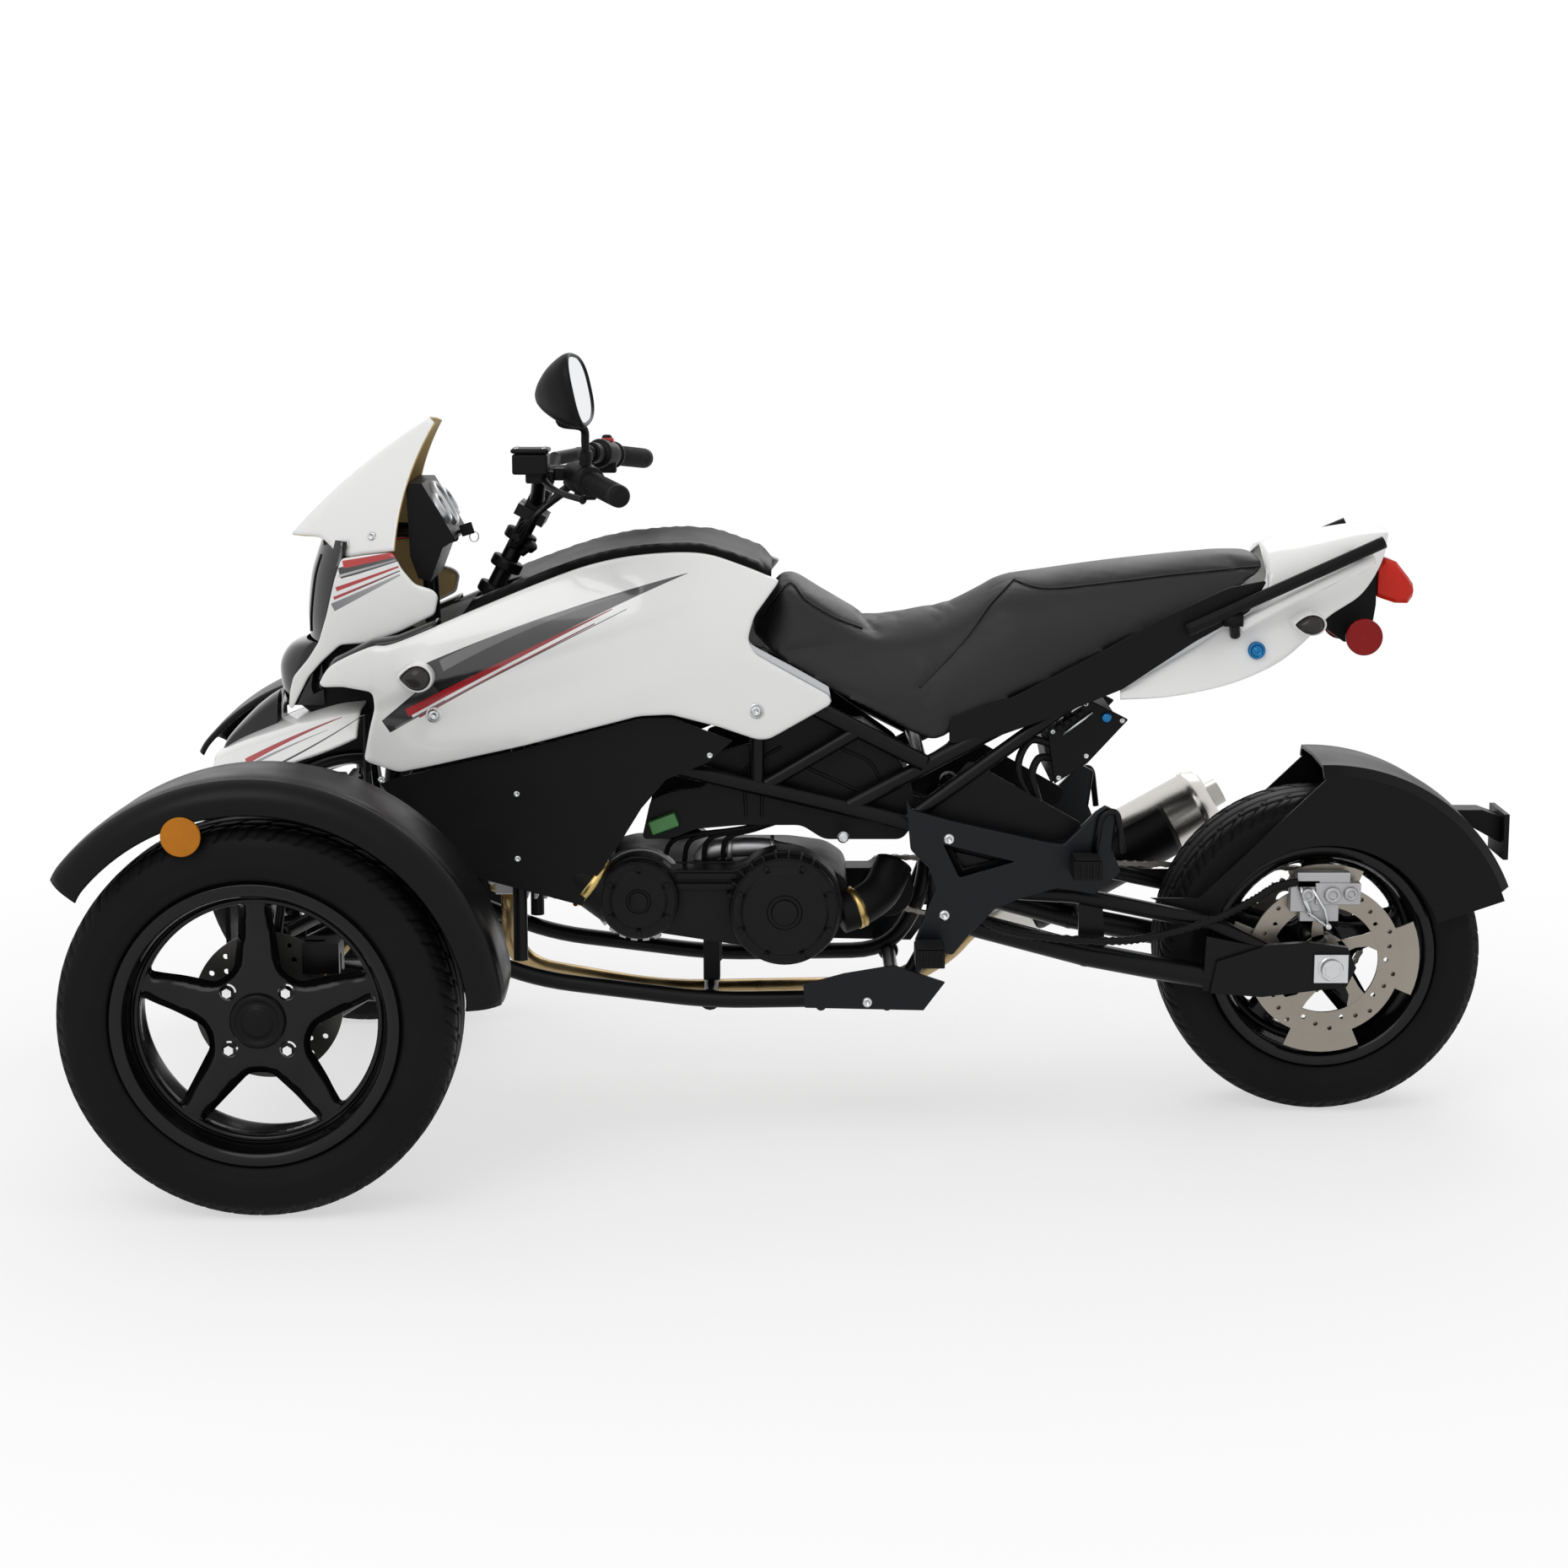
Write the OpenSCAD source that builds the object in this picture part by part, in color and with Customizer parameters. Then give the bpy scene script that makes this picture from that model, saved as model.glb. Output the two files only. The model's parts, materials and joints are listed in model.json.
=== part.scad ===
// Three wheeled motor tricycle: two steered front wheels and one driven rear wheel.
// Millimetres. X points to the rear, Y to the vehicle's right, Z up. The modules are drawn
// with the front axle at x = 0 and the ground at z = 0; placed() puts the origin on the
// ground in the middle of the outline.

/* [Wheels] */
// Front axle to rear axle
wheelbase = 1574; // [1400:1:1800]
// Between the centres of the two front tyres
front_track = 1090; // [980:1:1200]
// Outer radius of a front tyre
front_tyre_r = 281; // [260:1:300]
// Width of a front tyre
front_tyre_w = 165; // [140:1:190]
// Radius of the front tyre's bead seat
front_bead_r = 190.5; // [175:0.5:205]
// Outer radius of the rear tyre
rear_tyre_r = 252.5; // [235:0.5:275]
// Width of the rear tyre
rear_tyre_w = 178; // [150:1:200]
// Radius of the rear tyre's bead seat
rear_bead_r = 165; // [150:0.5:180]
// Thickness of a tyre's carcass
tyre_wall = 14; // [8:1:25]
// Number of spokes in a front wheel
front_spokes = 5; // [3:1:8]
// Radius of a front wheel spindle
spindle_r = 15; // [10:0.5:20]
// Radius of the rear axle
rear_axle_r = 10; // [8:0.5:14]
// Radial play of a wheel bearing
bearing_play = 0.06; // [0.02:0.01:0.1]

/* [Front end] */
// Sideways distance from a front tyre's middle to its kingpin
kingpin_inset = 105; // [98:1:125]
// Lean of the kingpin, degrees
caster = 5.7; // [0:0.1:12]
// Lean of the steering column, degrees
rake = 27.4; // [15:0.1:40]
// Length of the pitman arm and of each steering arm
steer_arm = 60; // [40:1:90]
// Sideways offset of a tie rod's joint
steer_offset = 15; // [13:1:25]
// Height of the tie rods
tie_rod_z = 309; // [290:1:330]
// Radius of the steering column
column_r = 14; // [10:0.5:20]
// Between a front tyre and the crown of its fender
fender_gap = 64; // [45:1:90]
// Width of a front fender
fender_w = 190; // [170:1:220]

/* [Frame] */
// Radius of the main tubes
tube_r = 13; // [9:0.5:18]
// Sideways distance of the frame's side from the middle plane
frame_y = 160; // [130:1:180]

/* [Body] */
// Thickness of the plastic panels
panel_t = 4; // [2.5:0.5:8]
// Gap between neighbouring panels
panel_gap = 2.5; // [1:0.5:6]
// Radius of a handlebar tube
bar_r = 11; // [9:0.5:16]
// Radius of a grip
grip_r = 16.5; // [14:0.5:20]
// Length of a grip
grip_len = 122; // [90:1:150]
// Half the width across the grip ends
bar_half_w = 392; // [330:1:450]

/* [Plate bracket] */
// Length of the vehicle behind the rear axle
rear_overhang = 292; // [280:1:330]
// Spacing of the two plate holes
plate_hole_gap = 70; // [40:1:180]
// Radius of a plate hole
plate_hole_r = 3.3; // [2:0.1:5]

/* [Hidden] */
$fn = 48;
fit = 0.3;                       // gap between pieces that are bolted or pinned together
rear_end = wheelbase + rear_overhang;
front_axle_x = -(rear_end - front_tyre_r) / 2;
wheel_y = front_track / 2;
fender_r = front_tyre_r + fender_gap;
stay_z = front_tyre_r + fender_r - 10;   // top of a fender's stay
kingpin_y = wheel_y - kingpin_inset;
shock_y = kingpin_y - 110;       // foot of a front coil-over
steer_dir = [sin(rake), 0, cos(rake)];          // up along the steering column
arm_dir = [cos(rake), 0, -sin(rake)];           // square to it, to the rear
king_dir = [sin(caster), 0, cos(caster)];
king_arm_dir = [cos(caster), 0, -sin(caster)];
column_ref = [271, 0, 797];                     // a point on the column's axis
pitman_z = tie_rod_z + steer_arm * sin(rake);
column_foot = column_ref + steer_dir * (pitman_z - column_ref[2]) / cos(rake);
pitman_pin = column_foot + arm_dir * steer_arm;
king_mid = [0, kingpin_y, front_tyre_r];
king_pin = king_mid + king_dir * (tie_rod_z + steer_arm * sin(caster) - front_tyre_r) / cos(caster)
    + king_arm_dir * steer_arm + [0, steer_offset, 0];

// Which node to draw

// Helpers

function unit(v) = v / norm(v);
function mix(a, b, t) = a + (b - a) * t;
function clamp(v, lo, hi) = min(max(v, lo), hi);

// Rows of a table with k steps between each two, on a smooth curve
function smooth(rows, k) = let (n = len(rows)) [
    for (i = [0 : n - 2], j = [0 : k - 1])
        let (a = rows[max(i - 1, 0)], b = rows[i], c = rows[i + 1], d = rows[min(i + 2, n - 1)],
            t = j / k)
        0.5 * (2 * b + (c - a) * t + (2 * a - 5 * b + 4 * c - d) * t * t
            + (3 * b - a - 3 * c + d) * t * t * t),
    rows[n - 1]];

module placed() { translate([front_axle_x, 0, 0]) children(); }
module both_sides() { children(); mirror([0, 1, 0]) children(); }
module left() { mirror([0, 1, 0]) children(); }

// Children drawn along Z are turned to lie along a direction from a point
module along(from, dir) {
    u = unit(dir);
    translate(from) rotate([0, acos(u[2]), atan2(u[1], u[0])]) children();
}

module tube(a, b, r) { along(a, b - a) cylinder(r = r, h = norm(b - a)); }

// A cylinder across the vehicle, from y0 to y1
module cross_pin(x, z, y0, y1, r) { translate([x, y0, z]) rotate([-90, 0, 0]) cylinder(r = r,
    h = y1 - y0); }

// A cylinder along the vehicle, from x0 to x1
module long_pin(x0, x1, y, z, r) { translate([x0, y, z]) rotate([0, 90, 0]) cylinder(r = r,
    h = x1 - x0); }

// A tube through a list of points, with a ball at each turn
module pipe(p, r) {
    for (i = [0 : len(p) - 2]) tube(p[i], p[i + 1], r);
    for (i = [1 : 1 : len(p) - 2])
        along(p[i], unit(p[i + 1] - p[i]) + unit(p[i] - p[i - 1])) sphere(r = r * 1.04);
}

// Points [station, height] put at a sideways distance
function at_y(points, y) = [for (p = points) [p[0], y, p[1]]];

// A prism across the vehicle with a side outline of [station, height] points
module side_prism(outline, y0, y1) {
    translate([0, y1, 0]) rotate([90, 0, 0]) linear_extrude(height = y1 - y0) polygon(outline);
}

// A sheet between two grids of points; the second lies on the side that the cross product of row
// and column points to
module sheet(outer, inner) {
    n = len(outer);
    m = len(outer[0]);
    k = n * m;
    points = concat([for (row = outer) each row], [for (row = inner) each row]);
    skin = [for (i = [0 : n - 2], j = [0 : m - 2])
        let (a = i * m + j, b = a + 1, c = a + m, d = c + 1) each [[a, c, b], [b, c, d]]];
    back = [for (f = skin) [f[2] + k, f[1] + k, f[0] + k]];
    long_edges = [for (i = [0 : n - 2]) let (a = i * m, b = a + m, c = a + m - 1, d = c + m)
        each [[a, a + k, b], [b, a + k, b + k], [c, d, c + k], [d, d + k, c + k]]];
    end_edges = [for (j = [0 : m - 2]) let (a = j, b = j + 1, c = (n - 1) * m + j, d = c + 1)
        each [[a, b, a + k], [b, b + k, a + k], [c, c + k, d], [d, c + k, d + k]]];
    polyhedron(points, concat(skin, back, long_edges, end_edges));
}

// A solid through closed rings of points
module loft(rings) {
    n = len(rings);
    m = len(rings[0]);
    points = [for (r = rings) each r];
    skin = [for (i = [0 : n - 2], j = [0 : m - 1])
        let (a = i * m + j, b = i * m + (j + 1) % m, c = a + m, d = b + m) each [[a, b, c], [b, d, c]]];
    // the end faces fan out from the middle point of a ring
    h = floor(m / 2);
    first = [for (j = [0 : m - 1]) let (k = (j + 1) % m) if (j != h && k != h) [h, k, j]];
    last = [for (f = first) (n - 1) * m * [1, 1, 1] + [f[0], f[2], f[1]]];
    polyhedron(points, concat(skin, first, last));
}

// Side surface of the body: half width at a station and height
side_widths = [[20, 128], [60, 168], [110, 198], [200, 211], [350, 217], [520, 217], [640, 211],
    [730, 199], [820, 178]];
function side_y(x, z) = lookup(x, side_widths) - 0.0015 * pow(max(0, z - 700), 2)
    - 0.0008 * pow(max(0, 660 - z), 2);

// Top edge of the side panels: station, height
panel_top = [[26, 690], [50, 722], [113, 754], [151, 760], [266, 808], [368, 849], [444, 875],
    [520, 889], [608, 891], [671, 873], [728, 850]];
panel_mouth = [[690, 800], [680, 766], [690, 745], [804, 678], [806, 665]];
panel_foot = [[711, 614], [693, 614], [633, 636], [565, 654], [517, 652], [341, 606], [153, 563],
    [99, 580], [109, 624], [119, 663], [116, 686], [65, 690], [31, 684]];

// Frame

upper_rail = [[190, 700], [480, 758], [700, 698], [948, 572]];
main_rail = [[152, 667], [985, 466]];
seat_strut = [[832, frame_y, 506], [1290, 112, 741], [1560, 78, 800]];
low_strut = [[920, frame_y, 484], [1262, 115, 724]];
front_post = [[190, 700], [152, 667], [128, 426.8]];
uprights = [[[693, 700], [693, 545]], [[707, 540], [846, 622]], [[330, 624], [330, 266]]];

// Trellis of one side; side is 1 for the right and -1 for the left
module side_frame(side) {
    flip = [[1, 0, 0], [0, side, 0], [0, 0, 1]];
    y = side * frame_y;
    color([0.06, 0.06, 0.07]) {
        pipe(at_y(upper_rail, y), tube_r);
        pipe(at_y(main_rail, y), tube_r);
        pipe([for (p = seat_strut) flip * p], tube_r);
        tube(flip * low_strut[0], flip * low_strut[1], tube_r - 2);
        pipe(at_y(front_post, y), tube_r);
        translate(at_y(front_post, y)[0]) sphere(r = tube_r * 1.06);
        for (u = uprights) tube(at_y(u, y)[0], at_y(u, y)[1], tube_r - 2);
    }
}

module frame_right() left() side_frame(-1);
module frame_left() left() side_frame(1);

cradle = [[128, 424.7], [150, 318], [350, 236], [620, 202], [905, 206], [962, 300], [974, 460]];

module cradle_rails() {
    color([0.06, 0.06, 0.07]) both_sides() difference() {
        pipe(at_y(cradle, frame_y), tube_r);
        translate([60, frame_y - 40, 424.7]) cube([140, 80, 40]);
        tube(at_y(main_rail, frame_y)[0], at_y(main_rail, frame_y)[1] + [20, 0, -5], tube_r + fit);
    }
}

// Cross tubes on the rails: station, height, radius, sideways distance of the rail
crossings = [[190, 700, 11, frame_y], [700, 698, 10, frame_y], [940, 576, 11, 149],
    [1290, 741, 10, 112], [1550, 798, 9, 79], [620, 202, 11, frame_y], [905, 206, 11, frame_y],
    [975, 468.4, 11, frame_y + 0.8]];
swing_pivot = [1000, 345];
pivot_r = 14;
plate_y = 176;                   // inner face of a foot plate
plate_t = 12;
column_clamp = column_ref - steer_dir * 95;
coil_low = [wheelbase - 364, 0, 350];
coil_top = [994, 0, 514];

module cross_tubes() {
    color([0.06, 0.06, 0.07]) {
        for (c = crossings) let (reach = c[3] - tube_r * 1.06 - 0.4) cross_pin(c[0], c[1], -reach,
            reach, c[2]);
        cross_pin(swing_pivot[0], swing_pivot[1], -plate_y + fit, plate_y - fit, pivot_r);
        // bracket of the rear coil-over
        for (y = [-27, 19]) side_prism([[966, 470], [984, 462], [1004, 510], [1000, 524], [986,
            524]], y, y + 8);
        cross_pin(coil_top[0], coil_top[2], -27, 27, 7);
        difference() {
            union() {
                along(column_clamp - steer_dir * 14, steer_dir) cylinder(r = 24, h = 28);
                translate([190, -12, 690]) cube([34, 24, 20]);
            }
            along(column_clamp - steer_dir * 60, steer_dir) cylinder(r = column_r + fit, h = 120);
        }
    }
}

// Front end

arm_pivots = [[118, 205], [128, 365]];          // sideways distance and height: lower, upper
bulkhead_x = 120;

module bulkhead() {
    rotate([90, 0, 90]) linear_extrude(height = 8, center = true) difference() {
        polygon([[-136, 188], [136, 188], [150, 300], [150, 390], [118, 428], [-118, 428], [-150,
            390], [-150, 300]]);
        polygon([[-80, 230], [80, 230], [92, 300], [70, 390], [-70, 390], [-92, 300]]);
    }
}

module front_subframe() {
    color([0.07, 0.07, 0.08]) {
        for (side = [-1, 1]) translate([side * bulkhead_x, 0, 0]) bulkhead();
        both_sides() {
            for (p = arm_pivots) long_pin(-bulkhead_x, bulkhead_x, p[0], p[1], 8);
            for (s = [-1, 1]) side_prism([[s * 122, 394], [s * 122, 414], [s * 28, 494], [s * 28,
                472]], 117, 137);
            translate([46, 104, 362]) cube([22, 20, 32]);
            for (x = [-34, 26]) translate([x, 132, 466]) cube([8, 80, 34]);
            translate([-34, 132, 476]) cube([68, 18, 24]);
            long_pin(-34, 34, 192, 482, 7);
        }
        cross_pin(0, 488, -140, 140, 12);
        difference() {
            along(column_foot + steer_dir * 52, steer_dir) translate([-16, -122, -6]) cube([32, 244, 12]);
            along(column_foot, steer_dir) cylinder(r = column_r + fit, h = 200);
        }
    }
}

module control_arm(pivot, ball, holder) {
    difference() {
        union() {
            for (side = [-1, 1]) {
                tube([side * 90, pivot[0], pivot[1]], ball, 11);
                long_pin(side * 90 - 18, side * 90 + 18, pivot[0], pivot[1], 15);
            }
            translate(ball) sphere(r = 17);
            if (holder) {
                tube([-29, shock_y, 199], [29, shock_y, 199], 9);
                for (side = [-1, 1]) translate([side * 24 - 4, shock_y - 14, 195]) cube([8, 28, 42]);
                long_pin(-28, 28, shock_y, 224, 7);
            }
        }
        long_pin(-200, 200, pivot[0], pivot[1], 8 + fit);
        translate(king_mid) along([0, 0, 0], king_dir) translate([0, 0, -200]) cylinder(r = 9 + fit,
            h = 400);
    }
}

module control_arms() {
    color([0.08, 0.08, 0.09]) both_sides() {
        control_arm(arm_pivots[0], [-9, kingpin_y, 195], true);
        control_arm(arm_pivots[1], [9, kingpin_y, 370], false);
    }
}

shock_low = [0, shock_y, 224];
shock_top = [0, 192, 482];

module coil_over(a, b, pin_r, wire_turns, spring_r) {
    len_ab = norm(b - a);
    difference() {
        union() {
            for (p = [a, b]) translate(p) rotate([0, 90, 0]) cylinder(r = 15, h = 36, center = true);
            along(a, b - a) {
                cylinder(r = 11, h = len_ab);
                translate([0, 0, 22]) cylinder(r = 21, h = len_ab * 0.45);
                translate([0, 0, 30]) cylinder(r = spring_r, h = 6);
                translate([0, 0, len_ab - 36]) cylinder(r = spring_r, h = 10);
                for (i = [0 : wire_turns - 1])
                    translate([0, 0, 40 + i * (len_ab - 80) / (wire_turns - 1)])
                        rotate_extrude() translate([spring_r - 6, 0]) circle(r = 5);
                translate([0, 0, 30]) cylinder(r = spring_r - 9, h = len_ab - 62);
            }
        }
        for (p = [a, b]) translate(p) rotate([0, 90, 0]) cylinder(r = pin_r + fit, h = 60, center = true);
    }
}

module front_shocks() {
    color([0.55, 0.1, 0.08]) both_sides() coil_over(shock_low, shock_top, 7, 8, 30);
}

// Knuckle, drawn for the right side
module knuckle() {
    color([0.1, 0.1, 0.11]) {
        difference() {
            union() {
                translate([-16, kingpin_y + 19, 196]) cube([36, 17, 178]);
                translate(king_mid) along([0, 0, 0], king_dir) translate([0, 0, -92]) cylinder(r = 9,
                    h = 190);
                translate([-16, kingpin_y - 8, 228]) cube([32, 30, 26]);
                translate([-12, kingpin_y - 8, 318]) cube([32, 30, 26]);
                cross_pin(0, front_tyre_r, kingpin_y + 30, wheel_y + 34, spindle_r);
                cross_pin(0, front_tyre_r, kingpin_y + 30, kingpin_y + 48, 30);
                // steering arm and its stud
                along(king_pin - king_dir * 24, king_dir) cylinder(r = 13, h = 12);
                along(king_pin - king_dir * 24, king_dir) cylinder(r = 5, h = 46);
                tube([8, kingpin_y + 24, 294], king_pin - king_dir * 18, 8);
                // caliper on its bracket, over the disc
                translate([52, kingpin_y + 24, 326]) cube([52, 12, 48]);
                tube([12, kingpin_y + 30, 335], [70, kingpin_y + 30, 348], 7);
                translate([52, kingpin_y + 34, 330]) cube([52, 16, 44]);
                translate([52, kingpin_y + 63, 330]) cube([52, 13, 44]);
                translate([82, kingpin_y + 34, 356]) cube([22, 42, 18]);
                // fender stay
                pipe([[6, kingpin_y + 27.5, 352], [16, kingpin_y + 27.5, 420], [16, kingpin_y + 6, 456],
                    [16, kingpin_y + 6, stay_z], [16, wheel_y + 40, stay_z]], 7);
            }
            fender_band(0.3);
        }
    }
}

module knuckle_right() knuckle();
module knuckle_left() left() knuckle();

// Front fender: a revolved strip with a rolled lip, cut at both ends
fender_profile = [[-1, -6], [-0.86, 0], [0.5, 4], [0.86, -4], [1, -22], [1, -46]];
fender_front = 143;
fender_rear = 5;

module fender_band(extra) {
    pts = [for (p = fender_profile) [fender_r + p[1], p[0] * fender_w / 2]];
    low = [for (i = [len(pts) - 1 : -1 : 0]) let (p = fender_profile[i])
        [fender_r + p[1] - (p[0] > 0.95 ? 0 : panel_t), pts[i][1] - (p[0] > 0.8 ? panel_t : 0)]];
    grown = extra > 0 ? concat([for (p = pts) p + [extra, 0]], [for (p = low) p - [extra,
        0]]) : concat(pts, low);
    translate([0, wheel_y, front_tyre_r]) rotate([-90, 0, 0]) rotate([0, 0, -fender_front])
        rotate_extrude(angle = fender_front - fender_rear, $fn = 120) polygon(grown);
}

module fender() {
    color([0.05, 0.05, 0.055]) fender_band(0);
}

module fender_right() fender();
module fender_left() left() fender();

module tie_rod() {
    color([0.6, 0.5, 0.25]) difference() {
        union() {
            p = pitman_pin + [0, steer_offset, 0];
            dir = unit(king_pin - p);
            tube(p + dir * 8, king_pin - dir * 10, 7);
            tube(p + dir * 60, king_pin - dir * 60, 9);
            along(p - steer_dir * 6, steer_dir) cylinder(r = 11, h = 12);
            along(king_pin - king_dir * 6, king_dir) cylinder(r = 14, h = 12);
        }
        along(pitman_pin + [0, steer_offset, 0] - steer_dir * 30, steer_dir) cylinder(r = 5 + fit,
            h = 60);
        along(king_pin - king_dir * 40, king_dir) cylinder(r = 10.5, h = 80);
    }
}

module tie_rod_right() tie_rod();
module tie_rod_left() left() tie_rod();

module steering_column() {
    color([0.12, 0.12, 0.13]) {
        along(column_foot - steer_dir * 14, steer_dir)
            cylinder(r = column_r, h = norm(column_ref + steer_dir * 172 - column_foot) + 14);
        along(column_foot - steer_dir * 20, steer_dir) {
            translate([-20, -20, 0]) cube([44, 40, 12]);
            translate([20, -27, 0]) cube([54, 54, 12]);
        }
        both_sides() along(pitman_pin + [0, steer_offset, 0] - steer_dir * 10,
            steer_dir) cylinder(r = 5, h = 24);
        along(column_ref + steer_dir * 150, steer_dir) translate([-24, -46, 0]) cube([48, 92, 18]);
    }
}

bar_points = [[-2, 62, -8], [10, 150, 38], [60, 215, 44], [142, bar_half_w, 22]];

function bar_at(p) = [column_ref[0] + 88 + p[0], p[1], column_ref[2] + 176 + p[2]];

module bar_path(r) {
    pts = concat([for (i = [3 : -1 : 0]) bar_at([bar_points[i][0], -bar_points[i][1], bar_points[i][2]])],
        [for (p = bar_points) bar_at(p)]);
    pipe(pts, r);
}

module handlebar() {
    color([0.1, 0.1, 0.1]) {
        bar_path(bar_r);
        both_sides() along(bar_at([-2, 32, -8]) - steer_dir * 21.4, steer_dir) {
            translate([-14, -9, 1]) cube([28, 18, 36]);
        }
    }
}

grip_a = bar_at(bar_points[3]);
grip_dir = unit(bar_at(bar_points[2]) - grip_a);

module grips() {
    color([0.03, 0.03, 0.03]) both_sides() difference() {
        union() {
            along(grip_a - grip_dir * 4, grip_dir) cylinder(r = grip_r, h = grip_len);
            along(grip_a + grip_dir * (grip_len - 10), grip_dir) cylinder(r = grip_r + 6, h = 6);
        }
        along(grip_a, grip_dir) cylinder(r = bar_r + 0.1, h = 300);
    }
}

module hand_controls() {
    color([0.05, 0.05, 0.05]) both_sides() {
        difference() {
            union() {
                along(grip_a + grip_dir * (grip_len + 2), grip_dir) cylinder(r = 22, h = 44);
                along(grip_a + grip_dir * (grip_len + 40), grip_dir) translate([-12, -16,
                    0]) cube([44, 34, 22]);
                tube(grip_a + grip_dir * (grip_len + 50) + [-12, 0, 0],
                    grip_a + grip_dir * (grip_len + 30) + [-52, 0, -4], 7);
                pipe([grip_a + grip_dir * (grip_len + 30) + [-52, 0, -4],
                    grip_a + grip_dir * 60 + [-62, 0, -6],
                    grip_a + grip_dir * 14 + [-50, 0, -6]], 6);
                // fluid reservoir
                translate(grip_a + grip_dir * (grip_len + 30) + [-54, -22, 8]) cube([48, 48, 32]);
                // mirror socket
                translate(grip_a + grip_dir * (grip_len + 12) + [0, 0, 6]) cylinder(r = 9, h = 26);
            }
            along(grip_a, grip_dir) cylinder(r = bar_r + 0.1, h = 300);
        }
    }
}

mirror_foot = grip_a + grip_dir * (grip_len + 12) + [0, 0, 32.4];

// Mirror housing: depth, half width, half height
mirror_table = [[-38, 22, 14], [-31, 48, 33], [-16, 67, 47], [4, 77, 54], [22, 79, 55], [26, 75, 52]];
mirror_mid = [424, 336, 1140];

function oval(row) = [for (i = [0 : 23]) let (c = cos(i * 15), k = -sin(i * 15))
    [row[0], row[1] * sign(c) * pow(abs(c), 0.8), row[2] * sign(k) * pow(abs(k), 0.8)]];

module mirrors() {
    color([0.04, 0.04, 0.045]) left() {
        tube(mirror_foot, mirror_foot + [0, 0, 36], 6);
        tube(mirror_foot + [0, 0, 30], mirror_mid + [0, -6, -30], 6.5);
        translate(mirror_mid) rotate([0, 8, 0]) loft([for (r = mirror_table) oval(r)]);
    }
}

// Wheels, drawn about the Z axis with the outer face up

function tyre_outline(r, w, bead) = [[bead, -w * 0.42], [bead + 12, -w * 0.42 - 0.3], [bead + 17,
    -w * 0.455], [mix(bead, r, 0.45), -w * 0.5],
    [mix(bead, r, 0.75), -w * 0.485], [r - 12, -w * 0.445], [r - 4.5, -w * 0.39], [r - 1.5,
        -w * 0.28], [r, -w * 0.12],
    [r, w * 0.12], [r - 1.5, w * 0.28], [r - 4.5, w * 0.39], [r - 12, w * 0.445], [mix(bead, r,
        0.75), w * 0.485],
    [mix(bead, r, 0.45), w * 0.5], [bead + 17, w * 0.455], [bead + 12, w * 0.42 + 0.3], [bead,
        w * 0.42], [bead, w * 0.42 - tyre_wall],
    [bead + 16, w * 0.44 - tyre_wall], [mix(bead, r, 0.5), w * 0.48 - tyre_wall], [r - tyre_wall - 6,
        w * 0.4],
    [r - tyre_wall, w * 0.24], [r - tyre_wall, -w * 0.24], [r - tyre_wall - 6, -w * 0.4],
    [mix(bead, r, 0.5), -w * 0.48 + tyre_wall], [bead + 16, -w * 0.44 + tyre_wall], [bead,
        -w * 0.42 + tyre_wall]];

module tyre(r, w, bead) { color([0.03, 0.03, 0.03]) rotate_extrude($fn = 120) polygon(tyre_outline(r,
    w, bead)); }

// Wheel barrel: flanges hold the tyre's beads
module barrel(bead, w, lip) {
    s = w * 0.42;
    rotate_extrude($fn = 120) polygon([[bead - 0.2, -s - 0.4], [bead + lip, -s - 0.7], [bead + lip,
        -s - 9], [bead - 7, -s - 9],
        [bead - 14, -s + 24], [bead - 14, s - 24], [bead - 7, s + 9], [bead + lip, s + 9],
            [bead + lip, s + 0.7],
        [bead - 0.2, s + 0.4], [bead - 0.2, s - 10], [bead - 8, s - 22], [bead - 8, -s + 22],
            [bead - 0.2, -s + 10]]);
}

module front_rim() {
    color([0.05, 0.05, 0.055]) difference() {
        union() {
            barrel(front_bead_r, front_tyre_w, 11);
            difference() {
                translate([0, 0, 24]) cylinder(r = front_bead_r - 10, h = 24);
                cylinder(r = 146, h = 80);
            }
            for (i = [0 : front_spokes - 1]) rotate([0, 0, i * 360 / front_spokes + 90])
                translate([0, 0, 22.5]) linear_extrude(height = 24)
                    polygon([[20, -37], [70, -36], [152, -20], [152, 20], [70, 36], [20, 37]]);
            translate([0, 0, -38]) cylinder(r = 34, h = 86);
            translate([0, 0, 18]) cylinder(r = 74, h = 26);
            translate([0, 0, -44]) cylinder(r = 52, h = 8);
            translate([0, 0, 44]) cylinder(r = 36, h = 14);
            for (i = [0 : 3]) rotate([0, 0, i * 90 + 45]) translate([58, 0, 44]) cylinder(r = 9, h = 10);
        }
        translate([0, 0, -60]) cylinder(r = spindle_r + bearing_play, h = 60 + 38);
    }
}

module front_disc() {
    color([0.6, 0.6, 0.62]) translate([0, 0, -48.2]) difference() {
        cylinder(r = 106, h = 4);
        translate([0, 0, -1]) cylinder(r = 34, h = 6);
        for (i = [0 : 17], k = [0, 1]) rotate([0, 0, i * 20 + k * 10]) translate([76 + k * 16, 0,
            -1]) cylinder(r = 4, h = 6);
    }
}

module front_wheel_place() translate([0, wheel_y, front_tyre_r]) rotate([-90, 0, 0]) children();

module front_tyre_right() front_wheel_place() tyre(front_tyre_r, front_tyre_w, front_bead_r);
module front_tyre_left() left() front_tyre_right();
module front_rim_right() front_wheel_place() front_rim();
module front_rim_left() left() front_rim_right();
module front_disc_right() front_wheel_place() front_disc();
module front_disc_left() left() front_disc_right();

module rear_wheel_place() translate([wheelbase, 0, rear_tyre_r]) rotate([-90, 0, 0]) children();

module rear_tyre() rear_wheel_place() tyre(rear_tyre_r, rear_tyre_w, rear_bead_r);

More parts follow.
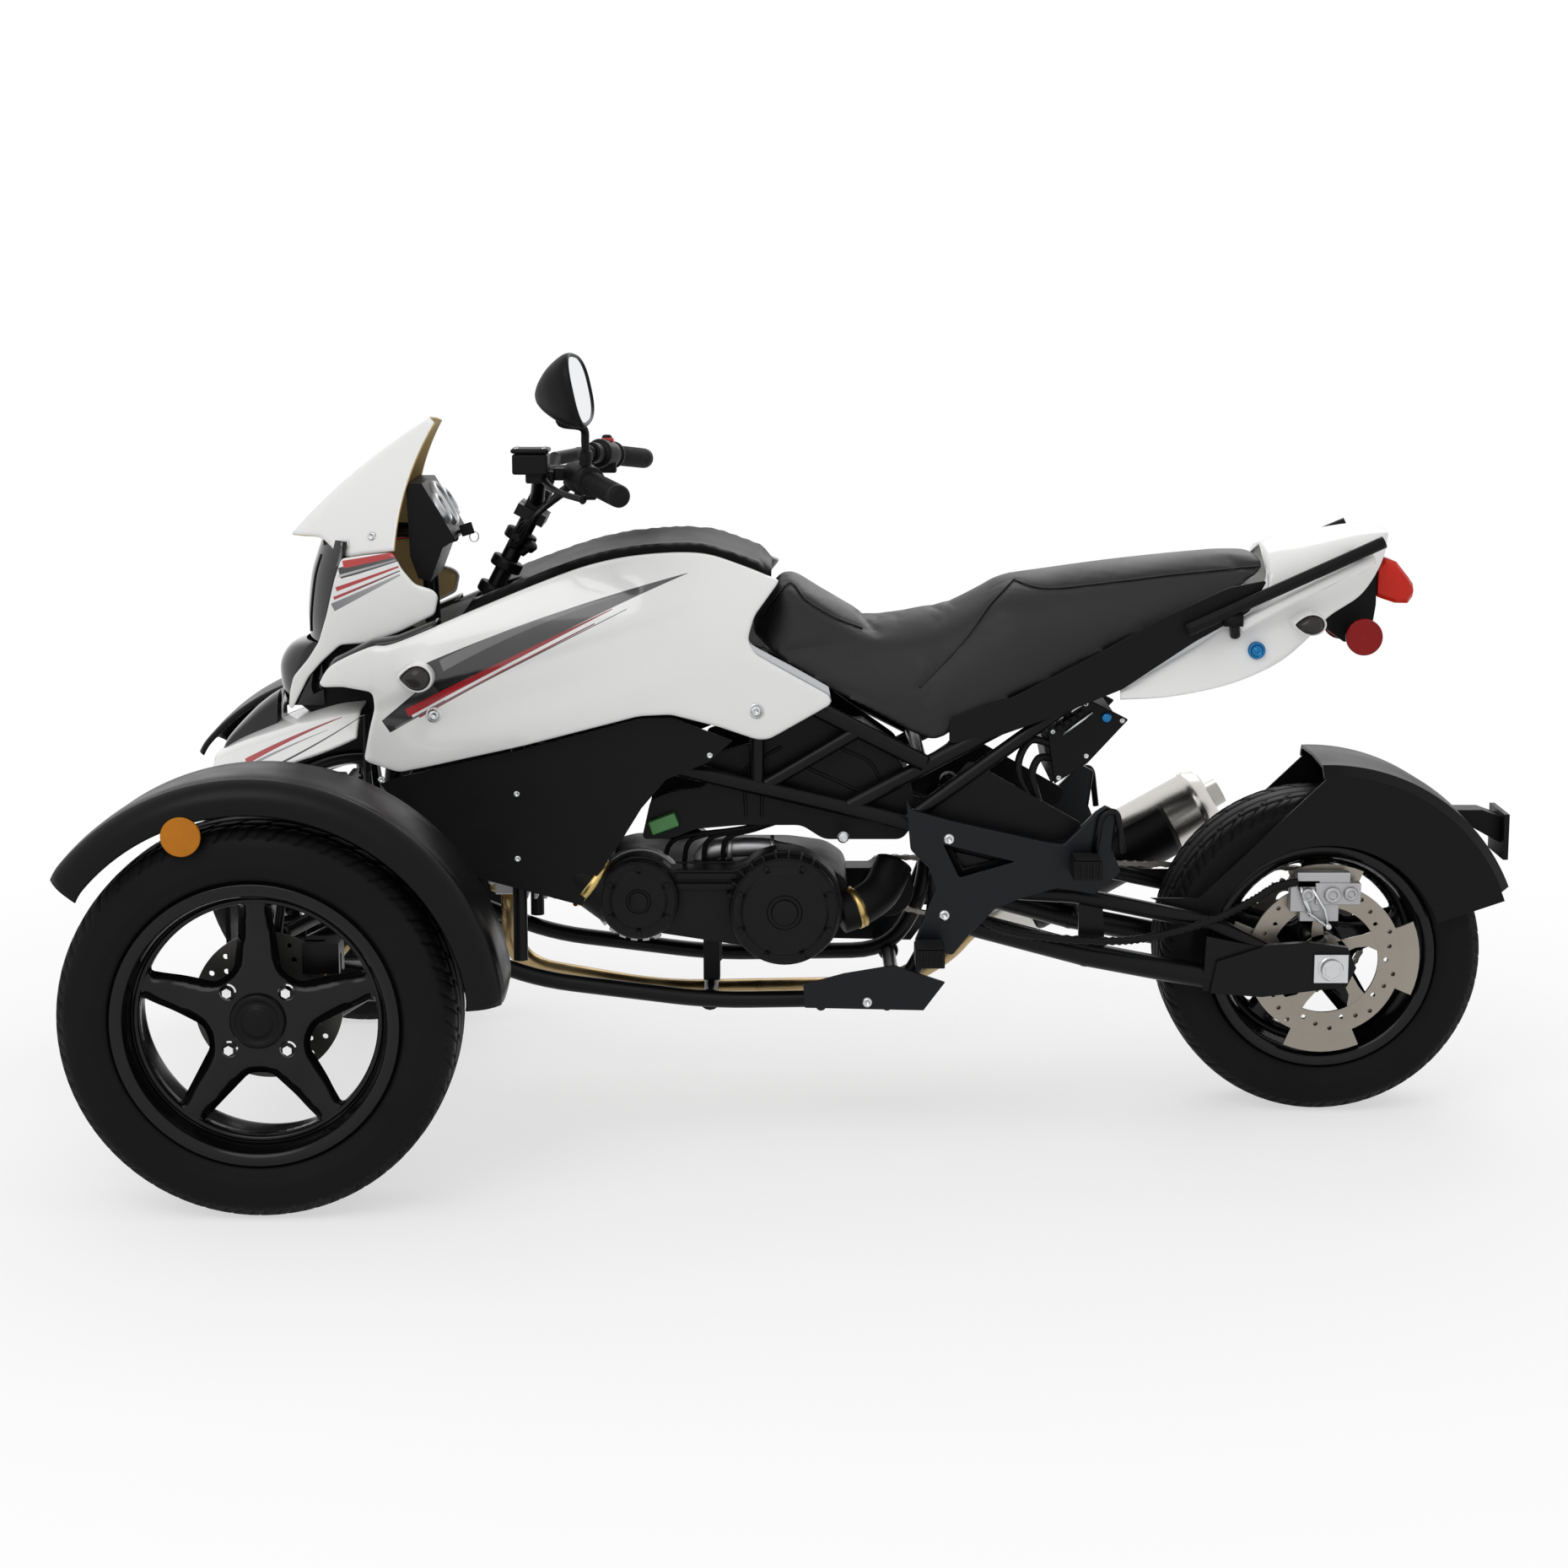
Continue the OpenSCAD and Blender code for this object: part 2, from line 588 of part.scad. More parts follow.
module rear_rim() {
    color([0.05, 0.05, 0.055]) rear_wheel_place() difference() {
        union() {
            barrel(rear_bead_r, rear_tyre_w, 11);
            for (i = [0 : 9]) rotate([0, 0, i * 36]) translate([0, 0, -12]) linear_extrude(height = 24)
                polygon([[30, -12], [154, -8], [154, 8], [30, 12]]);
            translate([0, 0, -99.7]) cylinder(r = 36, h = 199.4);
            translate([0, 0, -20]) cylinder(r = 56, h = 40);
        }
        translate([0, 0, -120]) cylinder(r = rear_axle_r + bearing_play, h = 240);
    }
}

disc_y = 100;                    // inner face of the brake disc and of the sprocket
ring_r = 150;
disc_r = 120;
teeth = 36;
sprocket_r = 92;

module rear_discs() {
    color([0.62, 0.62, 0.64]) rear_wheel_place() {
        // brake side: perforated disc, and the larger ring inside it
        translate([0, 0, -disc_y - 5]) difference() {
            cylinder(r = disc_r, h = 5);
            translate([0, 0, -1]) cylinder(r = 30, h = 8);
            for (i = [0 : 23], k = [0, 1]) rotate([0, 0, i * 15 + k * 7.5])
                translate([92 + k * 15, 0, -1]) cylinder(r = 4, h = 8);
        }
        translate([0, 0, -disc_y + 4]) difference() {
            cylinder(r = ring_r, h = 4);
            translate([0, 0, -1]) cylinder(r = 36 + fit, h = 6);
        }
        // chain side: sprocket
        translate([0, 0, disc_y]) difference() {
            union() {
                cylinder(r = sprocket_r - 8, h = 7);
                for (i = [0 : teeth - 1]) rotate([0, 0, i * 360 / teeth])
                    translate([sprocket_r - 12, -3.4, 0]) cube([12, 6.8, 7]);
            }
            translate([0, 0, -1]) cylinder(r = 30, h = 9);
            for (i = [0 : 5]) rotate([0, 0, i * 60]) translate([56, 0, -1]) cylinder(r = 15, h = 9);
        }
    }
}

axle_plate_y = 146;              // inner face of a swing arm's axle plate
axle_plate_t = 12;
axle_end = 176;

module rear_axle() {
    color([0.75, 0.75, 0.77]) {
        cross_pin(wheelbase, rear_tyre_r, -axle_end, axle_end, rear_axle_r);
        both_sides() {
            difference() {
                translate([wheelbase - 26, axle_plate_y + axle_plate_t + fit, rear_tyre_r - 22])
                    cube([52, 8, 44]);
                cross_pin(wheelbase, rear_tyre_r, axle_plate_y, axle_end + 4, rear_axle_r - 1);
            }
            cross_pin(wheelbase, rear_tyre_r, axle_end - 10, axle_end + 2, 16);
        }
    }
}

// Rear end

// Points [station, height] given from the rear axle
function from_axle(points) = [for (p = points) [wheelbase + p[0], rear_tyre_r + p[1]]];

swing_low = concat([swing_pivot + [0, -23], [coil_low[0] - 10, 268]],
    from_axle([[-154, -26.5], [-74, -16.5]]));
swing_high = concat([swing_pivot + [0, 27], [coil_low[0] - 30, 362]],
    from_axle([[-184, 65.5], [-74, 9.5]]));
swing_tube_r = 13;
swing_y = 132;                   // sideways distance of a swing arm's rails
coil_gusset = [[-22, 264], [20, 262], [14, 354], [-22, 360]];
axle_plate = from_axle([[-184, -40.5], [-104, -46.5], [26, -30.5], [40, -0.5], [26, 31.5], [-34, 39.5],
    [-94, 35.5], [-174, 9.5]]);
arm_web = from_axle([[-194, -38.5], [-104, -40.5], [-74, -2.5], [-104, 29.5], [-190, 47.5]]);

module swingarm() {
    color([0.05, 0.05, 0.055]) difference() {
        union() {
            both_sides() {
                pipe(at_y(swing_low, swing_y), 19);
                pipe(at_y(swing_high, swing_y), swing_tube_r);
                side_prism(axle_plate, axle_plate_y, axle_plate_y + axle_plate_t);
                side_prism(arm_web, 128, 150);
                // gusset that joins the rails and the cross tube of the coil-over
                side_prism([for (p = coil_gusset) [coil_low[0] + p[0], p[1]]], swing_y - 5, swing_y + 5);
            }
            both_sides() cross_pin(swing_pivot[0], swing_pivot[1], 112, 145.7, 30);
            cross_pin(swing_pivot[0], swing_pivot[1], -120, 120, 18);
            cross_pin(coil_low[0], 318, -swing_y, swing_y, 16);
            for (y = [-27, 19]) translate([coil_low[0] - 14, y, 318]) cube([28, 8, 46]);
            cross_pin(coil_low[0], coil_low[2], -27, 27, 7);
        }
        cross_pin(swing_pivot[0], swing_pivot[1], -160, 160, pivot_r + fit);
        cross_pin(wheelbase, rear_tyre_r, -200, 200, rear_axle_r + fit);
    }
}

module rear_coil() {
    // the coil-over is drawn with its eyes along X, so it is turned to put them across the vehicle
    translate(coil_low) rotate([0, 0, 90])
        coil_over([0, 0, 0], [0, coil_low[0] - coil_top[0], coil_top[2] - coil_low[2]], 7, 7, 26);
}

module rear_shock() {
    color([0.55, 0.1, 0.08]) rear_coil();
}

skirt_y = 112;
hugger_gap = 53.5;               // between the rear tyre and the crown of its fender
hugger_r = rear_tyre_r + hugger_gap;
skirt_r = hugger_r - 124;        // inner edge of the side sheets
skirt_cut = from_axle([[-274, hugger_r - 206.5], [-hugger_r + 108, hugger_r - 206.5],
    [18, hugger_r + 3.5], [18, hugger_r + 82], [-274, hugger_r + 82]]);
bracket_root = from_axle([[0.6915 * hugger_r, 0.7235 * hugger_r]])[0];
plate_z = rear_tyre_r + 147.5;   // lower edge of the plate bracket

module rear_fender() {
    color([0.05, 0.05, 0.055]) translate([wheelbase, 0, rear_tyre_r]) rotate([-90, 0, 0]) {
        // crown
        rotate([0, 0, -92]) rotate_extrude(angle = 70, $fn = 120) polygon([[hugger_r - 14, -skirt_y],
            [hugger_r, -skirt_y + 14], [hugger_r + 4, 0], [hugger_r, skirt_y - 14], [hugger_r - 14,
                skirt_y],
            [hugger_r - 20, skirt_y], [hugger_r - 20, skirt_y - 4], [hugger_r - 5, skirt_y - 18],
                [hugger_r - 1, 0],
            [hugger_r - 5, -skirt_y + 18], [hugger_r - 20, -skirt_y + 4], [hugger_r - 20, -skirt_y]]);
    }
    // side sheets, cut to a straight front edge
    color([0.05, 0.05, 0.055]) both_sides() difference() {
        translate([wheelbase, skirt_y - 3.6, rear_tyre_r]) rotate([-90, 0, 0]) rotate([0, 0, -160])
            rotate_extrude(angle = 141, $fn = 120) translate([skirt_r,
                0]) square([hugger_r - 15 - skirt_r, 4]);
        side_prism(skirt_cut, 60, 200);
    }
    color([0.05, 0.05, 0.055]) both_sides() let (p = from_axle([(skirt_r + 7) * [-0.93, 0.368]])[0])
        cross_pin(p[0], p[1], skirt_y - 2, swing_y - swing_tube_r - fit, 8);
    // bracket for the plate
    color([0.05, 0.05, 0.055]) difference() {
        union() {
            side_prism([bracket_root, bracket_root + [26, -26], [rear_end - 4, plate_z + 20],
                [rear_end - 4, plate_z + 62], bracket_root + [44, 0]], -22, 22);
            translate([rear_end - 8, -52, plate_z]) cube([8, 104, 72]);
        }
        for (s = [-1, 1]) long_pin(rear_end - 40, rear_end + 10, s * plate_hole_gap / 2,
            plate_z + 35, plate_hole_r);
    }
}

module rear_caliper() {
    color([0.1, 0.1, 0.11]) translate([wheelbase, -disc_y, rear_tyre_r]) {
        translate([-52, -26, 70]) cube([84, 15, 76]);
        translate([-52, -26, 126]) cube([84, 22, 20]);
        translate([-34, -46 + fit, 24]) cube([42, 22, 60]);
    }
}

// Chain: a band round two circles, [station, height] centres and radii of its inside
drive_mid = [897, 335];
drive_r = 34;
chain_r = sprocket_r + 5.5;
chain_t = 9;

function belt(c1, r1, c2, r2, steps) = let (d = c2 - c1, a = atan2(d[1], d[0]),
    h = acos((r1 - r2) / norm(d)))
    concat([for (i = [0 : steps]) let (t = a + h + (360 - 2 * h) * i / steps) c1 + r1 * [cos(t), sin(t)]],
        [for (i = [0 : steps]) let (t = a - h + 2 * h * i / steps) c2 + r2 * [cos(t), sin(t)]]);

module chain() {
    axle = [wheelbase, rear_tyre_r];
    color([0.35, 0.33, 0.3]) difference() {
        side_prism(belt(drive_mid, drive_r + chain_t, axle, chain_r + chain_t, 16), disc_y - 1.5,
            disc_y + 7.5);
        side_prism(belt(drive_mid, drive_r, axle, chain_r, 16), disc_y - 5, disc_y + 12);
    }
    // drive sprocket
    color([0.35, 0.33, 0.3]) {
        cross_pin(drive_mid[0], drive_mid[1], disc_y, disc_y + 7, drive_r - fit);
        cross_pin(drive_mid[0], drive_mid[1], disc_y - 8 + fit, disc_y + 1, 12);
    }
}

// Drive

engine_left = 112;               // sideways distance of the crankcase's left face
engine_right = 104;

module engine() {
    color([0.12, 0.12, 0.13]) {
        side_prism([[452, 268], [520, 246], [760, 246], [838, 286], [846, 372], [790, 452], [640,
            452], [500, 440], [452, 420]], -engine_left, engine_right);
        for (i = [0 : 6]) translate([330 + i * 17, -66, 338]) cube([9, 132, 128]);
        long_pin(310, 456, 0, 400, 52);
        translate([282, -58, 346]) cube([40, 116, 112]);
        cross_pin(560, 350, engine_right, 150, 78);
        cross_pin(735, 340, engine_right, 132, 60);
        // mounts on the cradle and the housing of the drive sprocket
        for (y = [-80, 50]) translate([608, y, 202 + 11 + fit]) cube([26, 30, 40]);
        cross_pin(drive_mid[0], drive_mid[1], 30, disc_y - 8, 44);
        translate([800, 30, 300]) cube([100, 60, 70]);
    }
}

cvt_face = 168;                  // sideways distance of the transmission cover's flat face
cvt_front = [513, 365];
cvt_rear = [735, 349];

module cvt_cover() {
    color([0.07, 0.07, 0.075]) left() {
        side_prism([[440, 338], [470, 292], [530, 290], [700, 262], [760, 262], [818, 310], [826,
            372], [790, 420], [720, 440],
            [560, 430], [500, 438], [452, 412]], engine_left + fit, cvt_face);
        cross_pin(cvt_front[0], cvt_front[1], cvt_face - 2, cvt_face + 22, 61);
        cross_pin(cvt_rear[0], cvt_rear[1], cvt_face - 2, cvt_face + 28, 84);
        cross_pin(cvt_rear[0], cvt_rear[1], cvt_face + 22, cvt_face + 36, 26);
    }
}

module air_box() {
    color([0.05, 0.05, 0.05]) translate([700, 0, 452 + fit]) cylinder(r = 24, h = 30);
    color([0.05, 0.05, 0.05]) difference() {
        side_prism([[690, 474], [940, 478], [925, 552], [860, 600], [720, 606], [690, 580]], -134, 134);
        cross_pin(935, 574, -140, 140, 11 + 1);
    }
}

silencer_a = [1068, 214, 246];
silencer_b = [1455, 240, 458];
silencer_dir = unit(silencer_b - silencer_a);

module exhaust_pipe() {
    color([0.75, 0.6, 0.3]) pipe([[300, 30, 345.7], [300, 30, 212], [540, 45, 166], [900, 70, 166],
        [1000, 170, 196],
        silencer_a - silencer_dir * 30, silencer_a - silencer_dir * fit], 17);
}

silencer_r = 55;
tip_r = 21;

module silencer() {
    length = norm(silencer_b - silencer_a);
    color([0.7, 0.7, 0.72]) along(silencer_a, silencer_dir) difference() {
        union() {
            cylinder(r1 = 24, r2 = silencer_r, h = 46);
            translate([0, 0, 46]) cylinder(r = silencer_r, h = length - 82);
            translate([0, 0, length - 36]) cylinder(r1 = silencer_r, r2 = silencer_r - 14, h = 16);
            translate([0, 0, length - 22]) cylinder(r = tip_r, h = 22);
        }
        translate([0, 0, length - 40]) cylinder(r = tip_r - 3, h = 60);
    }
}

// Body panels

side_x = [for (i = [0 : 20]) 20 + i * 40];
side_z = [for (j = [0 : 12]) 550 + j * 29];

module side_panel() {
    intersection() {
        sheet([for (x = side_x) [for (z = side_z) [x, side_y(x, z), z]]],
            [for (x = side_x) [for (z = side_z) [x, side_y(x, z) - panel_t * (1 + max(0,
                z - 760) / 200), z]]]);
        side_prism(concat(panel_top, panel_mouth, panel_foot), 60, 260);
    }
}

// Bolts of the side panel on the frame: station, height, radius of the tube behind
panel_bolts = [[211, 652.8, tube_r], [693, 662, tube_r - 2]];

module side_panels() {
    color([0.93, 0.93, 0.92]) both_sides() {
        side_panel();
        for (b = panel_bolts) cross_pin(b[0], b[1], frame_y + b[2] + fit, side_y(b[0], b[1]) - 2, 10);
    }
}

tank_x = [for (i = [0 : 14]) 250 + i * 33.2];

function tank_edge(x) = side_y(x, lookup(x, panel_top)) - panel_t * 1.7 - panel_gap;
function tank_z(x, u) = lookup(x, panel_top) + 2 + 20 * (1 - u * u);

module tank_cover() {
    u_steps = [for (i = [-6 : 6]) i / 6];
    color([0.02, 0.02, 0.022]) difference() {
        sheet([for (x = tank_x) [for (u = u_steps) [x, u * tank_edge(x), tank_z(x, u) - panel_t * 1.2]]],
            [for (x = tank_x) [for (u = u_steps) [x, u * tank_edge(x), tank_z(x, u)]]]);
        along(column_ref - steer_dir * 60, steer_dir) cylinder(r = 44, h = 160);
    }
    color([0.02, 0.02, 0.022]) both_sides() difference() {
        translate([480, 146, 760]) cylinder(r = 8, h = tank_z(480, 0.97) - 3 - 760);
        pipe(at_y(upper_rail, frame_y), tube_r + fit);
    }
}

module lower_panels() {
    color([0.05, 0.05, 0.055]) both_sides() side_prism([[151, 555], [340, 598], [517, 645], [565,
        646], [656, 611], [620, 578],
        [556, 552], [518, 507], [486, 455], [440, 389], [427, 357], [261, 402], [186, 468], [124,
            545]], 184, 189);
    color([0.05, 0.05, 0.055]) both_sides() for (z = [430, 530])
        cross_pin(330, z, frame_y + tube_r - 2 + fit, 186, 9);
}

cowl_x = [for (i = [0 : 11]) -48 + i * 25];
cowl_z = [for (j = [0 : 9]) 636 + j * 31];
function cowl_y(x, z) = 64 + 94 * sin(90 * clamp((x + 48) / 270, 0, 1)) - 0.0004 * pow(max(0, 800 - z), 2)
    - 0.0009 * pow(max(0, z - 820), 2);
cowl_outline = [[46, 872], [100, 874], [142, 890], [153, 880], [173, 845], [205, 826], [221, 817],
    [210, 787], [146, 764],
    [107, 757], [44, 728], [-17, 654], [-30, 646], [-42, 700], [-38, 722], [-4, 752], [12, 826], [30,
        868]];

module nose_cowl() {
    color([0.93, 0.93, 0.92]) both_sides() intersection() {
        sheet([for (x = cowl_x) [for (z = cowl_z) [x, cowl_y(x, z), z]]],
            [for (x = cowl_x) [for (z = cowl_z) [x, cowl_y(x, z) - panel_t, z]]]);
        side_prism(cowl_outline, 20, 200);
    }
    color([0.93, 0.93, 0.92]) both_sides() cross_pin(24, 785, 50 + fit, cowl_y(24, 785) - 2, 8);
}

module headlamp() {
    color([0.03, 0.03, 0.035]) {
        side_prism([[31, 896], [10, 823], [0, 756], [-26, 736], [-42, 716], [-46, 692], [-34, 650],
            [20, 690], [70, 760], [80, 860]], -50, 50);
        difference() {
            tube([60, 0, 752], [188, 0, 701], 9);
            cross_pin(190, 700, -40, 40, 11 + fit);
        }
    }
}

screen_low = [[-13, 0, 916], [-4, 45, 905], [32, 85, 884], [82, 118, 884], [147, 142, 906]];
screen_top = [[190, 0, 1086], [191, 13, 1085], [194, 26, 1084], [198, 39, 1082], [203, 52, 1079]];

module windscreen() {
    low = smooth(screen_low, 2);
    top = smooth(screen_top, 2);
    rows = [for (i = [0 : 8]) let (t = i / 8) [for (j = [len(low) - 1 : -1 : 1]) let (p = mix(low[j],
        top[j], t)) [p[0] - 30 * t * (1 - t), -p[1], p[2] + 18 * t * (1 - t)],
        for (j = [0 : len(low) - 1]) let (p = mix(low[j], top[j], t)) [p[0] - 30 * t * (1 - t), p[1],
            p[2] + 18 * t * (1 - t)]]];
    color([0.93, 0.93, 0.92]) sheet([for (r = rows) [for (p = r) p + [panel_t * 0.8, 0,
        -panel_t * 0.6]]], rows);
    color([0.93, 0.93, 0.92]) cross_pin(100, 912, -116, 116, 6);
}

// Rounded hoops over the body: station, top, bottom, half width at the top, half width at the foot
function hoop(row, inset) = let (top = row[1] - inset, foot = row[2], a = row[3] - inset,
    b = row[4] - inset)
    [for (k = [-8 : 8]) let (s = sign(k), t = abs(k) / 8,
        y = t < 0.5 ? a * sin(t * 180) * 0.96 : mix(a * 0.96, b, (t - 0.5) * 2),
        z = t < 0.5 ? top - (top - foot) * 0.28 * (1 - cos(t * 180)) : mix(top - (top - foot) * 0.28,
            foot, (t - 0.5) * 2))
        [row[0], s * y, z]];

module hooped(table, t) {
    rows = smooth(table, 3);
    sheet([for (r = rows) hoop(r, t)], [for (r = rows) hoop(r, 0)]);
}

nose_table = [[-150, 562, 540, 40, 62], [-105, 590, 548, 84, 112], [-40, 618, 562, 112, 146], [40,
    644, 590, 128, 165], [88, 650, 612, 136, 172]];

module nose_panel() {
    color([0.93, 0.93, 0.92]) {
        hooped(nose_table, panel_t);
        for (y = [-60, 60]) translate([0, y, 488 + 12 + fit]) cylinder(r = 8, h = 124.5);
    }
}

// Raised centre of the nose, over the panel: same columns as the nose
centre_table = [[-147, 562, 552, 10, 15], [-136, 588, 556, 24, 30], [-98, 629, 570, 38, 46],
    [-72, 651, 580, 43, 52], [-52, 664, 588, 44, 54]];

module nose_centre() {
    color([0.02, 0.02, 0.022]) difference() {
        loft([for (r = smooth(centre_table, 2)) hoop(r, 0)]);
        rows = smooth(nose_table, 3);
        loft([for (r = concat([rows[0] - [20, 0, 0, 0, 0]], rows)) hoop(r, -0.5)]);
    }
}

module instrument_pod() {
    color([0.03, 0.03, 0.03]) side_prism([[160, 990], [184, 990], [234, 905], [214, 892], [194, 840],
        [176, 846], [164, 880]], -88, 88);
    color([0.03, 0.03, 0.03]) {
        for (y = [-60, 60]) long_pin(100 + 6 + fit, 170, y, 912, 6);
        for (y = [-34, 34]) difference() {
            tube([184, y, 862], [190, y, 704], 8);
            cross_pin(190, 700, -60, 60, 11 + fit);
        }
    }
}

// Seat: station, top, bottom, half width at the top, half width at the foot
seat_table = [[684, 772, 764, 70, 84], [706, 810, 744, 92, 116], [735, 853, 722, 104, 132], [793,
    820, 686, 112, 140],
    [862, 783, 652, 118, 146], [954, 790, 606, 126, 148], [1000, 800, 624, 128, 148], [1042, 824,
        646, 124, 146],
    [1072, 843, 664, 120, 144], [1142, 853, 696, 114, 138], [1251, 867, 752, 106, 130], [1335, 876,
        786, 98, 122],
    [1400, 881, 816, 90, 112], [1452, 884, 850, 80, 100], [1468, 876, 862, 70, 90]];

module seat() {
    rows = smooth(seat_table, 2);
    color([0.04, 0.04, 0.045]) loft([for (r = rows) hoop(r, 0)]);
    color([0.04, 0.04, 0.045]) both_sides() {
        translate([940, 60, 576 + 11 + fit]) cylinder(r = 12, h = 50);
        translate([1290, 40, 741 + 10 + fit]) cylinder(r = 12, h = 40);
    }
}

tail_table = [[1244, 720, 668, 128, 150], [1316, 760, 672, 130, 150], [1392, 820, 686, 128, 146],
    [1446, 870, 704, 124, 140],
    [1491, 896, 727, 118, 132], [1529, 903, 758, 110, 122], [1562, 909, 790, 100, 110], [1611, 917,
        820, 84, 92],
    [1641, 917, 858, 66, 72], [1660, 912, 898, 44, 50]];

module tail_cowl() {
    color([0.93, 0.93, 0.92]) difference() {
        hooped(tail_table, panel_t);
        side_prism([[1200, 690], [1246, 684], [1390, 776], [1461, 838], [1473, 866], [1473, 980],
            [1200, 980]], -200, 200);
    }
    color([0.93, 0.93, 0.92]) both_sides() difference() {
        cross_pin(1532, 794, 84, 112, 8);
        tube(seat_strut[1], seat_strut[2], tube_r + fit);
    }
}

reflector_mid = [1620, 757];
reflector_y = 98;

module tail_bracket() {
    color([0.04, 0.04, 0.045]) {
        difference() {
            side_prism([[1540, 786], [1600, 742], [1640, 742], [1648, 800], [1648, 852], [1620, 840],
                [1590, 806]], -40, 40);
            cross_pin(1550, 798, -60, 60, 9 + fit);
        }
        both_sides() cross_pin(reflector_mid[0], reflector_mid[1], 30, reflector_y - fit, 14);
    }
}

module tail_lamp() {
    color([0.6, 0.02, 0.02]) {
        side_prism([[1648 + fit, 812], [1698, 800], [1708, 826], [1672, 876], [1648 + fit, 862]],
            -46, 46);
        both_sides() cross_pin(reflector_mid[0], reflector_mid[1], reflector_y, reflector_y + 8, 28);
    }
}

module turn_signals() {
    color([0.15, 0.12, 0.1]) both_sides() {
        tube([184, side_y(208, 700) - 0.8, 712], [184, 238, 712], 22);
        tube([1533, 122, 786], [1533, 176, 786], 18);
    }
}

module grab_handles() {
    color([0.05, 0.05, 0.05]) both_sides() {
        tube([1345, 166, 778], [1627, 160, 905], 9);
        tube([1408, 164, 806], [1418, 134, 764], 7);
        tube([1600, 160, 893], [1600, 91, 882], 7);
    }
}

module foot_plates() {
    color([0.08, 0.08, 0.09]) both_sides() difference() {
        side_prism([[919, 520], [928, 505], [989, 488], [1130, 456], [1158, 452], [1206, 501], [1221,
            511], [1240, 501], [1232, 443],
            [1246, 410], [1208, 375], [1150, 384], [1093, 367], [1055, 351], [1017, 312], [991, 279],
                [933, 299], [965, 384], [952, 417], [926, 443]], plate_y, plate_y + plate_t);
        side_prism([[975, 452], [1085, 425], [1000, 400]], plate_y - 6, plate_y + plate_t + 6);
    }
}

// Board beside the lower rail, on two pins: station, height
board_outline = [[763, 245], [824, 262], [900, 275], [977, 249], [945, 206], [766, 210]];
board_y = 232;

module side_boards() {
    color([0.06, 0.06, 0.065]) both_sides() {
        side_prism(board_outline, board_y, board_y + 8);
        for (x = [790, 890]) cross_pin(x, 212, frame_y + tube_r + fit, board_y + 2, 8);
    }
}

peg_end = 262;                   // sideways distance of a rider peg's end

module foot_pegs() {
    color([0.06, 0.06, 0.06]) both_sides() {
        cross_pin(960, 296, plate_y + plate_t + fit, peg_end, 13);
        cross_pin(1196, 428, plate_y + plate_t + fit, peg_end - 12, 12);
    }
}

module electrics_box() {
    color([0.08, 0.08, 0.085]) {
        side_prism([[1132, 600], [1180, 650], [1240, 640], [1180, 570], [1146, 530]], -100, 100);
        both_sides() difference() {
            tube([1166, 90, 628], [1166, 128, 656], 8);
            tube(low_strut[0], low_strut[1], tube_r - 2 + fit);
        }
    }
}

placed() frame_left();
placed() frame_right();
placed() cradle_rails();
placed() cross_tubes();
placed() front_subframe();
placed() control_arms();
placed() front_shocks();
placed() engine();
placed() cvt_cover();
placed() air_box();
placed() exhaust_pipe();
placed() silencer();
placed() tank_cover();
placed() side_panels();
placed() lower_panels();
placed() nose_cowl();
placed() headlamp();
placed() windscreen();
placed() nose_panel();
placed() instrument_pod();
placed() seat();
placed() tail_cowl();
placed() tail_bracket();
placed() tail_lamp();
placed() turn_signals();
placed() grab_handles();
placed() swingarm();
placed() rear_shock();
placed() rear_axle();
placed() rear_fender();
placed() rear_caliper();
placed() foot_plates();
placed() foot_pegs();
placed() electrics_box();
placed() side_boards();
placed() nose_centre();
placed() chain();
placed() steering_column();
placed() handlebar();
placed() grips();
placed() hand_controls();
placed() mirrors();
placed() knuckle_left();
placed() knuckle_right();
placed() fender_left();
placed() fender_right();
placed() tie_rod_left();
placed() tie_rod_right();
placed() front_tyre_left();
placed() front_tyre_right();
placed() front_rim_left();
placed() front_rim_right();
placed() front_disc_left();
placed() front_disc_right();
placed() rear_tyre();
placed() rear_rim();
placed() rear_discs();
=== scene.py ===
"""Looks of a three wheeled motor tricycle: finishes, soft parts, trim and small fittings.

Lengths in the tables are millimetres, as stations behind the front axle, sideways
distances from the middle plane (right is positive) and heights above the ground.
"""
import json
import math

import bmesh
import bpy
from mathutils import Matrix, Vector
from mathutils.bvhtree import BVHTree
from mathutils.geometry import delaunay_2d_cdt
from mathutils.kdtree import KDTree


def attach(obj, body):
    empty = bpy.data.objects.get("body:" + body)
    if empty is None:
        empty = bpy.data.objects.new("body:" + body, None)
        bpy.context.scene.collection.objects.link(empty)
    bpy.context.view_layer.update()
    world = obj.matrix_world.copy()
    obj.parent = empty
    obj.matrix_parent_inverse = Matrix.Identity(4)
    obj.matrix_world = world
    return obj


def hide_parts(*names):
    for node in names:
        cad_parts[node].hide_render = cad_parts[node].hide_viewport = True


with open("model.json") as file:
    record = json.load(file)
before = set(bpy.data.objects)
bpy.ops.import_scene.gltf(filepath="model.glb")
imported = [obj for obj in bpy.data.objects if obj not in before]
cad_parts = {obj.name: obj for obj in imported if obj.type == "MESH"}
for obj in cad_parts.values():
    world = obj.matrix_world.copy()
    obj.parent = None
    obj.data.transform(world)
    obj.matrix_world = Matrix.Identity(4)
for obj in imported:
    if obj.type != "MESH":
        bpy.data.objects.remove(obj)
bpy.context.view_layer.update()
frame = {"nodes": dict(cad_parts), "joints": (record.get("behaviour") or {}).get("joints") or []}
NODES = frame["nodes"]
JOINTS = {joint["name"]: joint for joint in frame["joints"]}

